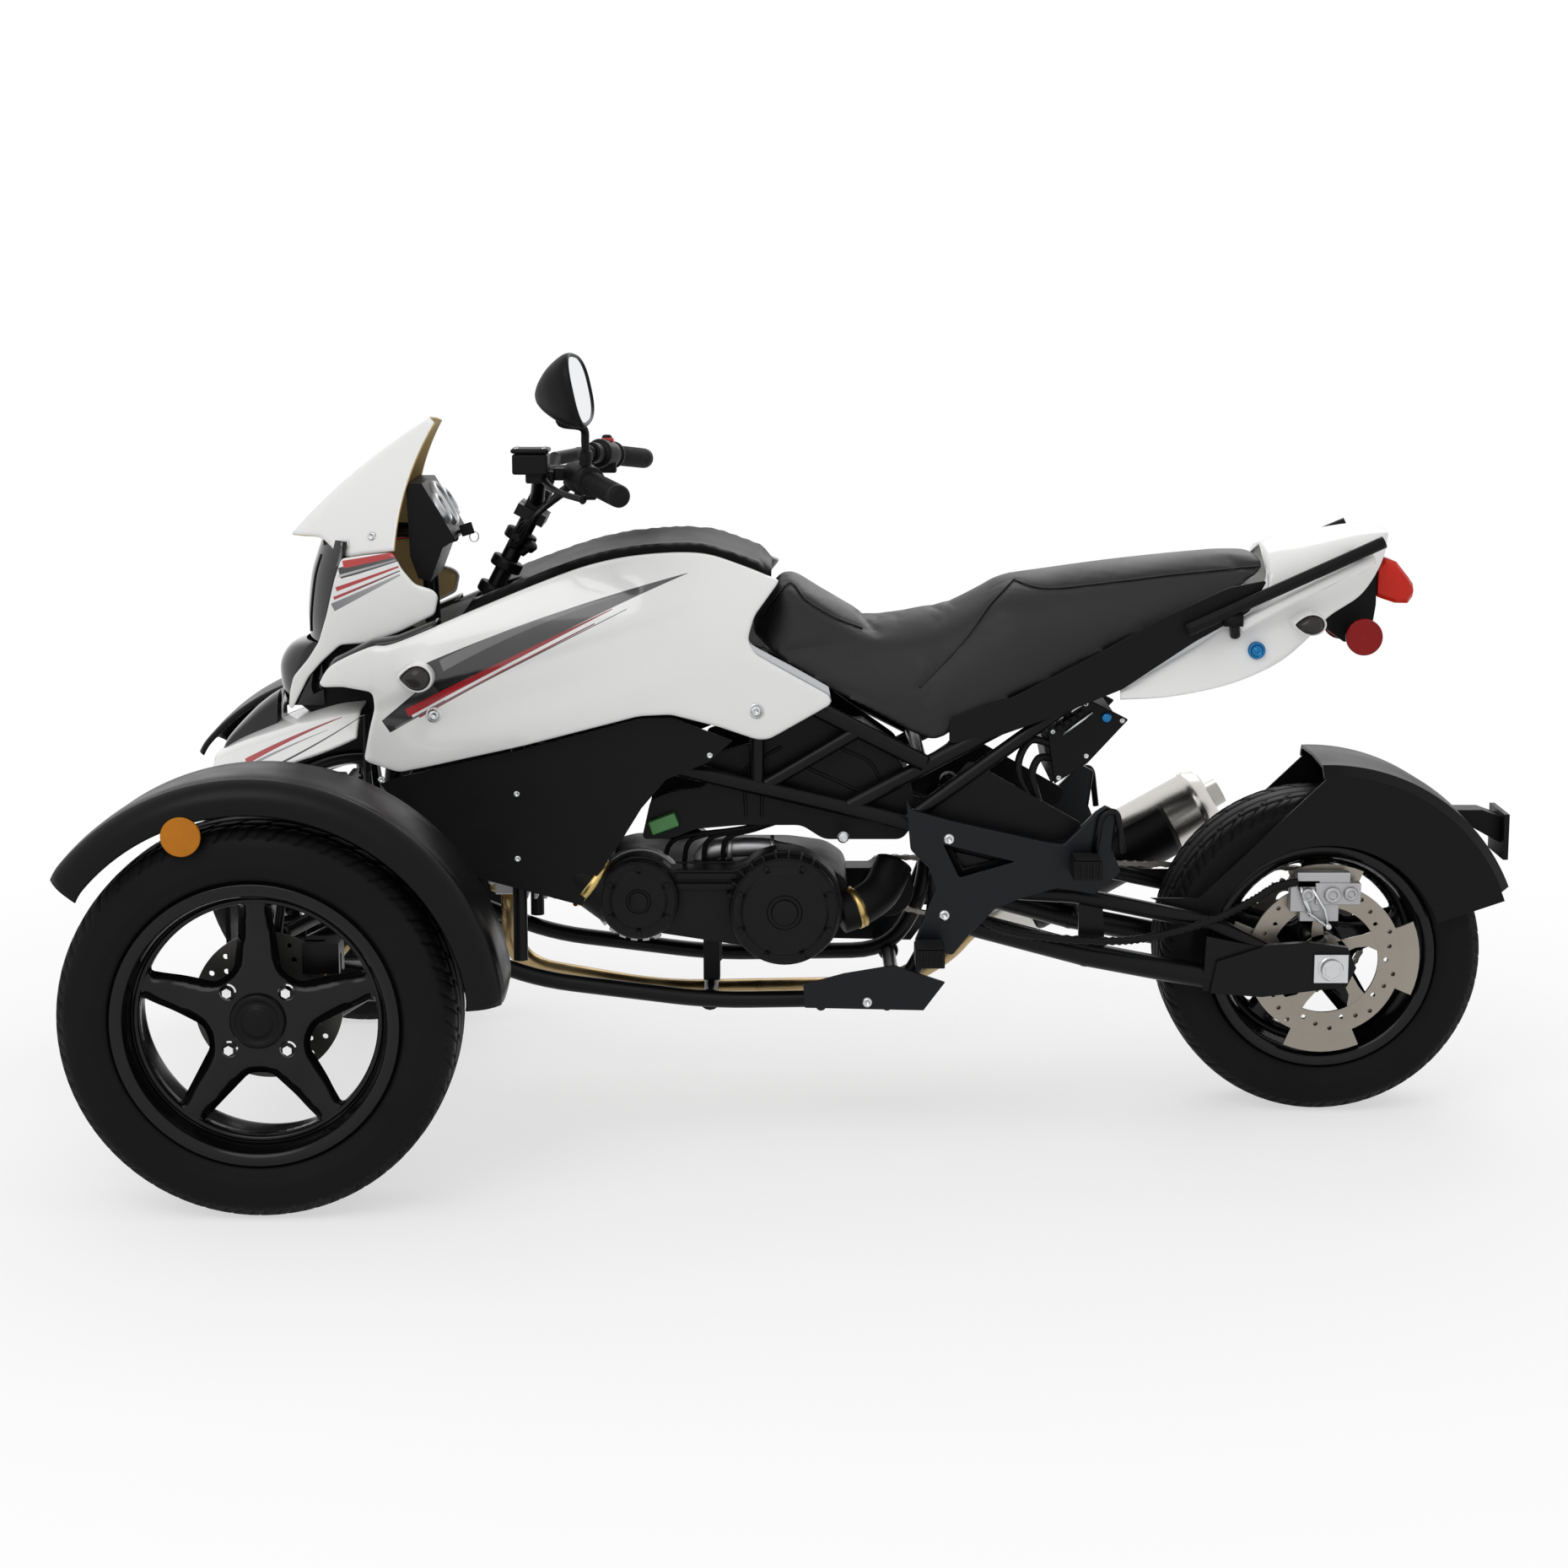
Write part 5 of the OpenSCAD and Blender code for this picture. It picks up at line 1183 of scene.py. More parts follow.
def rear_spot(u, v, out):
    return (REAR_AXLE + u, out, REAR_WHEEL_Z + v)


def make_rear_wheel():
    star = star_face(5, 50, 66, 136, 146, 30, 24, 0.3, lambda r: 16 - 5 * ease((r - 60) / 60), 2, 7)
    points, faces = star
    plate = Shape()
    plate.add([rear_spot(u, v, -h) for u, v, h in points], faces)
    thick(plate.make("driven_wheel_spokes", "rear_wheel", wheel_black, outward=False), 26)
    rim = Shape()
    middle = rear_spot(0, 0, 0)
    rim.lathe(barrel_profile(REAR_BEAD, REAR_WIDTH, 11), middle, (0, 1, 0), 96)
    rim.lathe([(-18, 158), (-14, 142), (10, 142), (16, 158), (-18, 158)], middle, (0, 1, 0), 96)
    rim.lathe([(-99, 11), (-99, 33), (-60, 36), (-24, 44), (24, 44), (60, 36), (99, 33), (99, 11)],
              middle, (0, 1, 0), 48)
    rim.make("driven_wheel_rim", "rear_wheel", wheel_black, replaces=("rear_rim",))


# Rear brake and sprocket

DISC_FACE = 100                 # inner face of the brake disc and of the sprocket
DISC_RADIUS, DISC_BORE, RING_RADIUS = 120, 84, 150
SPROCKET_RADIUS, TEETH = 92, 36


def flat_ring(shape, outline, holes, step, out, thickness):
    """A flat plate on the rear wheel with openings, between two sideways distances."""
    points, faces = filled(outline, step, holes=holes)
    count = len(points)
    both = [rear_spot(u, v, out) for u, v in points] + [rear_spot(u, v, out + thickness) for u, v in points]
    walls = []
    edges = {}
    for face in faces:
        for a, b in zip(face, [*face[1:], face[0]]):
            edges[(a, b)] = True
    for a, b in edges:
        if (b, a) not in edges:
            walls.append((a, b, b + count, a + count))
    shape.add(both, [f[::-1] for f in faces] + [tuple(i + count for i in f) for f in faces] + walls)


def make_rear_brake():
    drilled = []
    for k in range(30):
        r = 96 + (k % 3) * 7
        a = math.tau * k / 30
        drilled.append([(r * math.cos(a) + u, r * math.sin(a) + v) for u, v in ring_points(3.7, 10)])
    disc = Shape()
    flat_ring(disc, ring_points(DISC_RADIUS, 90), [ring_points(DISC_BORE, 72), *drilled],
              9, -DISC_FACE - 5, 5)
    for k in range(5):
        a = math.tau * k / 5 + 0.35
        arm = [(34, 11), (52, 9), (70, 10), (86, 17)]
        edge = [(r, a + h / r + (86 - r) * 0.006) for r, h in arm]
        edge += [(r, a - h / r + (86 - r) * 0.006) for r, h in arm[::-1]]
        loop = [(r * math.cos(t), r * math.sin(t)) for r, t in edge]
        flat_ring(disc, loop, [], 8, -DISC_FACE - 4.5, 4)
    flat_ring(disc, ring_points(40, 40), [ring_points(24, 32)], 9, -DISC_FACE - 4.5, 4)
    shoe = 46
    for k in range(4):
        a = math.radians(-90 + 90 * k)
        turn = [a + math.radians(mix(-shoe / 2, shoe / 2, t / 8)) for t in range(9)]
        loop = [(RING_RADIUS * math.cos(t), RING_RADIUS * math.sin(t)) for t in turn]
        loop += [(112 * math.cos(t), 112 * math.sin(t)) for t in turn[::-1]]
        flat_ring(disc, loop, [], 12, -DISC_FACE + 4, 4)
    flat_ring(disc, ring_points(113, 60), [ring_points(100, 60)], 12, -DISC_FACE + 4, 4)
    brake = disc.make("rear_brake_disc", "rear_wheel", shaded_disc_steel, replaces=("rear_discs",), smooth=False)
    modifier(brake, "WELD", "join", merge_threshold=0.00003)
    gear = []
    for k in range(TEETH * 4):
        r = SPROCKET_RADIUS + (-1.5, 1.5, -1.5, -8)[k % 4]
        a = math.tau * k / (TEETH * 4)
        gear.append((r * math.cos(a), r * math.sin(a)))
    windows = []
    for k in range(6):
        a = math.tau * k / 6
        windows.append([(58 * math.cos(a) + u, 58 * math.sin(a) + v) for u, v in ring_points(15, 20)])
    sprocket = Shape()
    flat_ring(sprocket, gear, [ring_points(30, 32), *windows], 9, DISC_FACE, 6)
    sprocket.make("driven_sprocket", "rear_wheel", chain_steel, smooth=False)
    bolts = Shape()
    for k in range(6):
        a = math.tau * (k + 0.5) / 6
        hexagon(bolts, rear_spot(42 * math.cos(a), 42 * math.sin(a), DISC_FACE + 6), (0, 1, 0), 13, 5)
        hexagon(bolts, rear_spot(32 * math.cos(a), 32 * math.sin(a), -DISC_FACE - 4.5), (0, -1, 0), 10, 4)
    bolts.make("rear_wheel_bolts", "rear_wheel", zinc, smooth=False)


make_front_wheels()
make_rear_wheel()
make_rear_brake()


# Lamps, signals and reflectors

LENS_ROWS = [
    # height, station in the middle, station at the side, half width
    (903, 20, 70, 96), (880, 12, 66, 106), (846, 2, 56, 108), (792, -4, 42, 102), (756, -2, 30, 96),
    (742, 0, 24, 92)]
CHIN_ROWS = [
    (748, -8, 16, 88), (736, -34, 4, 84), (709, -50, -8, 78), (676, -49, -22, 70), (646, -41, -24, 60)]


def lamp_front(rows, back):
    """A bowed lamp front, closed behind."""
    shape = Shape()
    grid = []
    for z, middle, edge, half in smooth_rows(rows, 6):
        row = [(back, -half, z)]
        for k in range(25):
            u = k / 12 - 1
            row.append((mix(middle, edge, abs(u) ** 2.4), half * u, z))
        row.append((back, half, z))
        grid.append(row)
    return shape.grid(grid)


def make_headlamp():
    lamp_front(LENS_ROWS, 62).make("headlamp_lens", CHASSIS, dark_lens, replaces=("headlamp",))
    lamp_front(CHIN_ROWS, 24).make("lower_lamp", CHASSIS, dark_lens)
    hoop = Shape()
    path = []
    for z, middle, edge, half in smooth_rows(LENS_ROWS, 6):
        if 760 <= z <= 884:
            path.append((mix(middle, edge, 0.55 ** 2.4) - 1, half * 0.55, z))
    hoop.sweep(path, 1.6, sides=6)
    hoop.mirrored().make("headlamp_seam", CHASSIS, gloss_black)


CENTRE_TABLE = [(-147, 562, 552, 10, 15), (-136, 588, 556, 24, 30), (-98, 629, 570, 38, 46),
                (-72, 651, 580, 43, 52), (-52, 664, 588, 44, 54)]


def make_nose_centre():
    rows = smooth_rows(CENTRE_TABLE, 8)
    steps = [k / 20 for k in range(21)]
    grid = [[hoop_point(r, t, -1) for t in steps[:0:-1]] + [hoop_point(r, t, 1) for t in steps]
            for r in rows]
    centre = Shape().grid(grid)
    count = len(grid[0])
    last = len(centre.points) - count
    centre.faces.append(tuple(range(last, last + count)))
    centre.slots.append(0)
    centre.make("nose_ridge", CHASSIS, gloss_black, replaces=("nose_centre",))


def round_lens(shape, spot, axis, radius, depth, rings=6):
    """A shallow round lens with moulded rings."""
    profile = [(0, radius), (depth * 0.7, radius), (depth, radius * 0.94)]
    for k in range(rings):
        r = radius * 0.88 * (1 - k / rings)
        profile += [(depth * 0.82, r), (depth, r - radius * 0.07)]
    shape.lathe(profile + [(depth, 0)], spot, axis, segments=40)


def make_reflectors():
    side = Vector((-89, 0, 552))
    for s in SIDES:
        spot = (side.x, s * (FRONT_WHEEL_Y + 93), side.z)
        body = "left_knuckle" if s < 0 else "right_knuckle"
        lens_shape = Shape()
        round_lens(lens_shape, spot, (0, s, 0), 27.5, 5)
        lens_shape.make(("left" if s < 0 else "right") + "_fender_reflector", body, amber_lens)
    rear = Shape()
    for s in SIDES:
        round_lens(rear, (1620, s * 98, 757), (0, s, 0), 28, 8)
    rear.make("red_reflectors", CHASSIS, red_lens)


def make_tail_lamp():
    """Faceted red lamp behind the tail."""
    rows = [(1649, 812, 863, 46), (1660, 808, 873, 46), (1678, 802, 866, 43), (1698, 801, 842, 38),
            (1707, 812, 830, 32)]
    shape = Shape()
    grid = []
    for x, low, high, half in rows:
        grid.append([(x, half * 0.86, low), (x, half, low + 7), (x, half, high - 7), (x, half * 0.84, high),
                     (x, -half * 0.84, high), (x, -half, high - 7), (x, -half, low + 7),
                     (x, -half * 0.86, low)])
    shape.grid(grid, close_columns=True)
    shape.faces += [tuple(range(8)), tuple(range(len(shape.points) - 1, len(shape.points) - 9, -1))]
    shape.slots += [0, 0]
    softened(shape.make("tail_lens", CHASSIS, lamp_red, replaces=("tail_lamp",), smooth=False), 1.5)


def drop_outline(middle, front, rear, rise, count=32):
    """A teardrop in side view with its point to the front."""
    out = []
    for k in range(count):
        a = math.tau * k / count
        c, s = math.cos(a), math.sin(a)
        x = rear * c if c > 0 else front * -abs(c) ** 0.9
        z = rise * s * (1 if c > 0 else (1 - 0.55 * abs(c) ** 1.6))
        out.append((middle[0] + x, middle[1] + z))
    return out


def swept_drop(outline, middle, levels):
    """Rings of a teardrop at [sideways distance, size] levels."""
    return [[(middle[0] + (x - middle[0]) * size, y, middle[1] + (z - middle[1]) * size)
             for x, z in outline]
            for y, size in levels]


def make_signals():
    bezel, glass = Shape(), Shape()
    front = (188, 712)
    tilt = drop_outline(front, 32, 25, 23)
    for outline, middle, out_levels, lens_levels in (
            (tilt, front, [(207, 1.0), (224, 0.98), (233, 0.92), (236, 0.86), (233, 0.8)],
             [(228, 0.8), (236, 0.7), (240, 0.45), (241, 0.02)]),
            (drop_outline((1528, 784), 30, 24, 18), (1528, 784),
             [(118, 0.9), (150, 1.0), (166, 0.94), (170, 0.86), (166, 0.8)],
             [(162, 0.8), (171, 0.68), (175, 0.42), (176, 0.02)])):
        bezel.grid(swept_drop(outline, middle, out_levels), close_columns=True)
        glass.grid(swept_drop(outline, middle, lens_levels), close_columns=True)
    bezel.mirrored().make("signal_bezels", CHASSIS, white_paint, replaces=("turn_signals",))
    glass.mirrored().make("signal_lenses", CHASSIS, smoke_lens)


for build in (make_headlamp, make_nose_centre, make_reflectors, make_tail_lamp, make_signals):
    build()


# Panel bolts and trim


def make_bolts():
    bolts = Shape()
    for s in SIDES:
        for x, z, out in ((209, 653, panel_side(209, 653)), (692, 659, panel_side(692, 659))):
            bolts.lathe([(-2, 12), (0.6, 12), (1.4, 10)], (x, s * out, z), (0, s, 0), 24)
            bolt_head(bolts, (x, s * (out + 1), z), (0, s, 0), 8, 5)
        for x, z in ((67, 898), (110, 912)):
            bolt_head(bolts, (x, s * (screen_side(x, z) + 1), z), (-0.3, s, 0.1), 7, 4)
        for x, z in ((984, 460), (978, 342)):
            bolt_head(bolts, (x, s * 188, z), (0, s, 0), 9, 6)
        bolt_head(bolts, (860, s * 240, 219), (0, s, 0), 8, 5)
        for x, z in ((126, 552), (622, 589), (330, 430), (330, 530)):
            bolt_head(bolts, (x, s * 189, z), (0, s, 0), 5, 3)
    bolts.make("panel_bolts", CHASSIS, zinc)


def screen_side(x, z):
    """Sideways distance of the fly screen's skirt at a low station and height."""
    rows = smooth_rows(SCREEN_LOW, 6)
    top = smooth_rows(SCREEN_TOP, 6)
    best = None
    for a, b in zip(rows, top):
        t = clamp((z - a[2]) / (b[2] - a[2]), 0, 1)
        here = (mix(a[0], b[0], t) - SCREEN_BELLY * t * (1 - t), mix(a[1], b[1], t))
        if best is None or abs(here[0] - x) < abs(best[0] - x):
            best = here
    return best[1]


PANEL_TRIM = [(684, 752), (694, 742), (750, 711), (802, 680)]
TAIL_TRIM = [(1252, 694), (1300, 722), (1380, 770), (1440, 822)]


def make_trim():
    strip = Shape()
    for line, out in ((PANEL_TRIM, lambda x, z: side_width(x, z) - 9),
                      (TAIL_TRIM, lambda x, z: 146 - 0.045 * (x - 1250))):
        grid = []
        for x, z in smooth_rows(line, 8):
            y = out(x, z)
            grid.append([(x - 3, y - 4, z + 12), (x - 1, y + 1, z + 11), (x + 1, y + 2.5, z + 2),
                         (x + 3, y + 1, z - 6), (x + 3, y - 4, z - 7)])
        strip.grid(grid)
    strip.mirrored().make("silver_trim", CHASSIS, silver_plastic, outward=False)


make_bolts()
make_trim()


# Handlebar, controls, mirror and dash

GRIP_END = Vector((501, 392, 995))
GRIP_DIR = Vector((-0.4180, -0.9023, 0.1121)).normalized()
GRIP_LENGTH = 122
STEERING = "steering"


def along_grip(distance, side, shift=(0, 0, 0)):
    """A point on a grip's axis, counted from its outer end."""
    p = GRIP_END + GRIP_DIR * distance + Vector(shift)
    return (p.x, side * p.y, p.z)


def grip_axis(side):
    return (GRIP_DIR.x, side * GRIP_DIR.y, GRIP_DIR.z)


def make_grips():
    profile = [(-4, 0), (-4, 9), (-3, 13), (0, 16), (4, 16.5), (8, 16.5)]
    h = 10
    while h < 108:
        profile += [(h, 16.6), (h + 1.6, 16.6), (h + 2.1, 15.4), (h + 3.3, 15.4)]
        h += 3.9
    profile += [(111, 16.5), (112, 22), (115, 22.5), (118, 22), (118, 12)]
    shape = Shape()
    for s in SIDES:
        shape.lathe(profile, along_grip(0, s), grip_axis(s), 28)
    shape.make("ribbed_grips", STEERING, hose_rubber, replaces=("grips",))


def make_controls():
    housing, levers, lids, screws, red = Shape(), Shape(), Shape(), Shape(), Shape()
    for s in SIDES:
        housing.lathe([(0, 12), (0, 19), (2, 22), (18, 24), (40, 24), (44, 22), (46, 12)],
                      along_grip(GRIP_LENGTH, s), grip_axis(s), 24)
        housing.lathe([(0, 11.5), (0, 17), (22, 17), (22, 11.5)], along_grip(168, s), grip_axis(s), 20)
        housing.block((-30, -11, -9), (4, 11, 9), origin=along_grip(180, s))
        housing.block((-14, -13, -30), (18, 13, -8), origin=along_grip(140, s))
        housing.lathe([(0, 9), (20, 9), (26, 7), (26, 0)], along_grip(134, s, (0, 0, 6)), (0, 0, 1), 16)
        path = [along_grip(180, s, (-28, 0, -2)), along_grip(160, s, (-50, 0, -4)),
                along_grip(110, s, (-60, 0, -6)), along_grip(60, s, (-62, 0, -6)),
                along_grip(24, s, (-54, 0, -6)), along_grip(8, s, (-48, 0, -6))]
        smooth = smooth_rows(path, 6)
        radii = [mix(7, 4.6, clamp(k / 12, 0, 1)) for k in range(len(smooth) - 3)] + [5.5, 7, 5.5]
        levers.sweep(smooth, radii, sides=10)
        if s > 0:
            continue
        cup = along_grip(172, s, (-66, -4 * s, 2))
        lids.block((-26, -24, 0), (26, 24, 30), origin=cup)
        lids.block((-28, -26, 31), (28, 26, 38), origin=cup)
        lids.block((-8, -8, -14), (34, 8, 4), origin=cup)
        for u in (-20, 20):
            for v in (-18, 18):
                bolt_head(screws, (cup[0] + u, cup[1] + v, cup[2] + 37.5), (0, 0, 1), 3, 2)
    red.block((-8, -9, 18), (12, 9, 27), origin=along_grip(136, 1))
    softened(housing.make("switch_housings", STEERING, satin_black, replaces=("hand_controls",)), 2.5)
    levers.make("brake_levers", STEERING, satin_black)
    softened(lids.make("fluid_cups", STEERING, satin_black), 4, segments=3)
    screws.make("cup_screws", STEERING, zinc)
    softened(red.make("stop_switch", STEERING, red_plastic), 2.5)


def make_mirror():
    """Left mirror on its stem, turned out a little."""
    foot = Vector(along_grip(134, -1, (0, 0, 32)))
    middle = Vector((420, -336, 1139))
    turn = Matrix.Rotation(math.radians(-7), 3, "Z") @ Matrix.Rotation(math.radians(-12), 3, "Y")
    rows = [(-42, 5, 4), (-39, 15, 11), (-30, 31, 23), (-14, 50, 37), (4, 64, 47), (17, 71, 51.5),
            (25, 71, 51.5), (27, 68.5, 49), (24, 66, 46)]

    def oval(depth, width, height):
        ring = []
        for k in range(48):
            a = math.tau * k / 48
            c, s = math.cos(a), math.sin(a)
            y = width * math.copysign(abs(c) ** 0.72, c)
            z = height * math.copysign(abs(s) ** 0.72, s) * (1 - 0.16 * y / 72)
            ring.append(tuple(middle + turn @ Vector((depth, y, z))))
        return ring

    shell = Shape()
    shell.grid([oval(*r) for r in smooth_rows(rows, 4)], close_columns=True)
    shell.faces.append(tuple(range(48)))
    shell.slots.append(0)
    shell.make("mirror_shell", STEERING, satin_black, replaces=("mirrors",))
    glass = Shape()
    rim = oval(24.5, 66, 46)
    glass.add(rim, [tuple(range(48))])
    glass.add(oval(23.5, 66, 46), [tuple(range(47, -1, -1))])
    glass.make("mirror_face", STEERING, mirror_glass, smooth=False)
    stem = Shape()
    route = [foot, foot + Vector((0, 0, 22)), foot + Vector((-3, -10, 44)),
             middle + Vector((-6, 14, -44)), middle + Vector((-6, 4, -24))]
    stem.sweep(smooth_rows([tuple(spot) for spot in route], 6), 6, sides=12)
    stem.lathe([(-4, 11), (8, 11), (11, 8)], tuple(foot), (0, 0, 1), 6)
    stem.make("mirror_stem", STEERING, satin_black)


def make_dash():
    softened(NODES["instrument_pod"], 5, segments=3)
    middle = Vector((209, 0, 947.5))
    slope = Vector((50, 0, -85)).normalized()
    out = Vector((85, 0, 50)).normalized()
    bezel, face, key = Shape(), Shape(), Shape()
    for y, r, shift in ((0, 33, -6), (-56, 20, -2), (56, 20, -2)):
        spot = middle + slope * shift + Vector((0, y, 0))
        bezel.lathe([(0, r + 6), (5, r + 5), (8, r + 2), (8, r), (4, r - 1)], tuple(spot), tuple(out), 36)
        face.lathe([(5, r), (5.6, r * 0.5), (5.8, 0)], tuple(spot), tuple(out), 36)
    bezel.make("gauge_rings", CHASSIS, silver_plastic)
    face.make("gauge_faces", CHASSIS, dark_lens)
    barrel = Vector((222, -26, 908))
    key.lathe([(-12, 13), (4, 13), (7, 11), (8, 8), (8, 0)], tuple(barrel), (0.95, 0, 0.3), 24)
    key.lathe([(6, 3), (16, 3)], tuple(barrel), (0.95, 0, 0.3), 8)
    key.block((14, -3, -9), (34, 3, 9), turned=Matrix.Rotation(-0.3, 3, "Y"), origin=tuple(barrel))
    softened(key.make("ignition_key", CHASSIS, satin_black), 1.5)
    ring = Shape()
    hang = barrel + Vector((34, 0, 4))
    turns = [math.tau * k / 20 for k in range(20)]
    loop = [tuple(hang + Vector((7 * math.sin(a), 0, -8 - 8 * math.cos(a)))) for a in turns]
    ring.sweep(loop, 0.9, sides=6, closed=True)
    ring.make("key_ring", CHASSIS, zinc)


for build in (make_grips, make_controls, make_mirror, make_dash):
    build()


# Coil-overs, rails and exhaust


def coil_over(shape, coil, low, high, across, radius, wire, turns):
    """Damper body with eyes and spring seats, and its spring as a helix."""
    low, high, across = Vector(low), Vector(high), Vector(across)
    axis = (high - low).normalized()
    length = (high - low).length
    for eye in (low, high):
        shape.lathe([(-18, 8), (-18, 14), (-16, 15.5), (16, 15.5), (18, 14), (18, 8), (-18, 8)],
                    tuple(eye), tuple(across), 24)
    shape.lathe([(10, 9), (14, 15), (22, 19), (28, radius), (36, radius), (37, 20), (length * 0.5, 20),
                 (length * 0.5, 8), (length - 40, 8), (length - 38, radius - 2), (length - 28, radius),
                 (length - 26, 12), (length - 10, 11)],
                tuple(low), tuple(axis), 28)
    side = axis.cross(across).normalized()
    other = axis.cross(side)
    path = []
    steps = turns * 20
    for k in range(steps + 1):
        a = math.tau * turns * k / steps
        out = (side * math.cos(a) + other * math.sin(a)) * (radius - wire - 1)
        path.append(tuple(low + axis * mix(40, length - 42, k / steps) + out))
    coil.sweep(path, wire, sides=8)


def make_coil_overs():
    body, coil = Shape(), Shape()
    for s in SIDES:
        coil_over(body, coil, (0, s * 330, 224), (0, s * 192, 482), (1, 0, 0), 30, 4.6, 8)
    body.make("front_dampers", CHASSIS, satin_black, replaces=("front_shocks",))
    coil.make("front_springs", CHASSIS, spring_paint)
    body, coil = Shape(), Shape()
    coil_over(body, coil, (1210, 0, 350), (994, 0, 514), (0, 1, 0), 26, 4.6, 8)
    body.make("rear_damper", CHASSIS, satin_black, replaces=("rear_shock",))
    coil.make("rear_spring", CHASSIS, spring_paint)


def bent(path, radius, steps=6):
    """A path whose corners are turned into bends."""
    path = [Vector(p) for p in path]
    out = [tuple(path[0])]
    for a, b, c in zip(path, path[1:], path[2:]):
        first = b + (a - b).normalized() * min(radius, (a - b).length * 0.45)
        last = b + (c - b).normalized() * min(radius, (c - b).length * 0.45)
        for k in range(steps + 1):
            t = k / steps
            out.append(tuple(first * (1 - t) ** 2 + b * 2 * t * (1 - t) + last * t * t))
    out.append(tuple(path[-1]))
    return out


CRADLE = [(128, 424.7), (150, 318), (350, 236), (620, 202), (905, 206), (962, 300), (972, 452)]
EXHAUST = [(300, 30, 345.7), (300, 30, 212), (540, 45, 166), (900, 70, 166), (1000, 170, 196)]
SILENCER_FRONT, SILENCER_REAR = Vector((1068, 214, 246)), Vector((1455, 240, 458))


def make_pipes():
    rails = Shape()
    for s in SIDES:
        rails.sweep(bent([(x, s * 160, z) for x, z in CRADLE], 60), 13, sides=18)
        for x, z in ((620, 202), (905, 206)):
            rails.sweep([(x, s * 150, z), (x, s * 156, z)], [15, 17], sides=16)
    rails.make("bent_cradle", CHASSIS, frame_black, replaces=("cradle_rails",))
    axis = (SILENCER_REAR - SILENCER_FRONT).normalized()
    header = Shape()
    path = [*EXHAUST, tuple(SILENCER_FRONT - axis * 30), tuple(SILENCER_FRONT + axis * 4)]
    header.sweep(bent(path, 70, 8), 17, sides=20)
    header.lathe([(-2, 20), (-2, 34), (6, 34), (6, 20)], (300, 30, 338), (0, 0, 1), 24)
    header.make("header_pipe", CHASSIS, header_gold, replaces=("exhaust_pipe",))
    length = (SILENCER_REAR - SILENCER_FRONT).length
    can = Shape()
    can.lathe([(0, 22), (4, 25), (42, 52), (48, 55), (60, 55), (61, 56.5), (66, 56.5), (67, 55),
               (length - 52, 55), (length - 51, 56.5), (length - 42, 56.5), (length - 40, 55),
               (length - 26, 49), (length - 21, 40), (length - 21, 22), (length, 21), (length, 18),
               (length - 36, 17), (length - 36, 0)],
              tuple(SILENCER_FRONT), tuple(axis), 48)
    can.make("silencer_can", CHASSIS, stainless, replaces=("silencer",))
    shield = Shape()
    rows = [(70, 57.2), (78, 59.5), (length - 110, 59.5), (length - 102, 57.2)]
    shield.lathe(rows, tuple(SILENCER_FRONT), tuple(axis), 24, start=0.9, turn=2.3)
    thick(shield.make("heat_shield", CHASSIS, satin_black), 1.5)


make_coil_overs()
make_pipes()


# Drive

CVT_FRONT, CVT_REAR = (513, 365), (735, 349)     # middles of the two round transmission covers


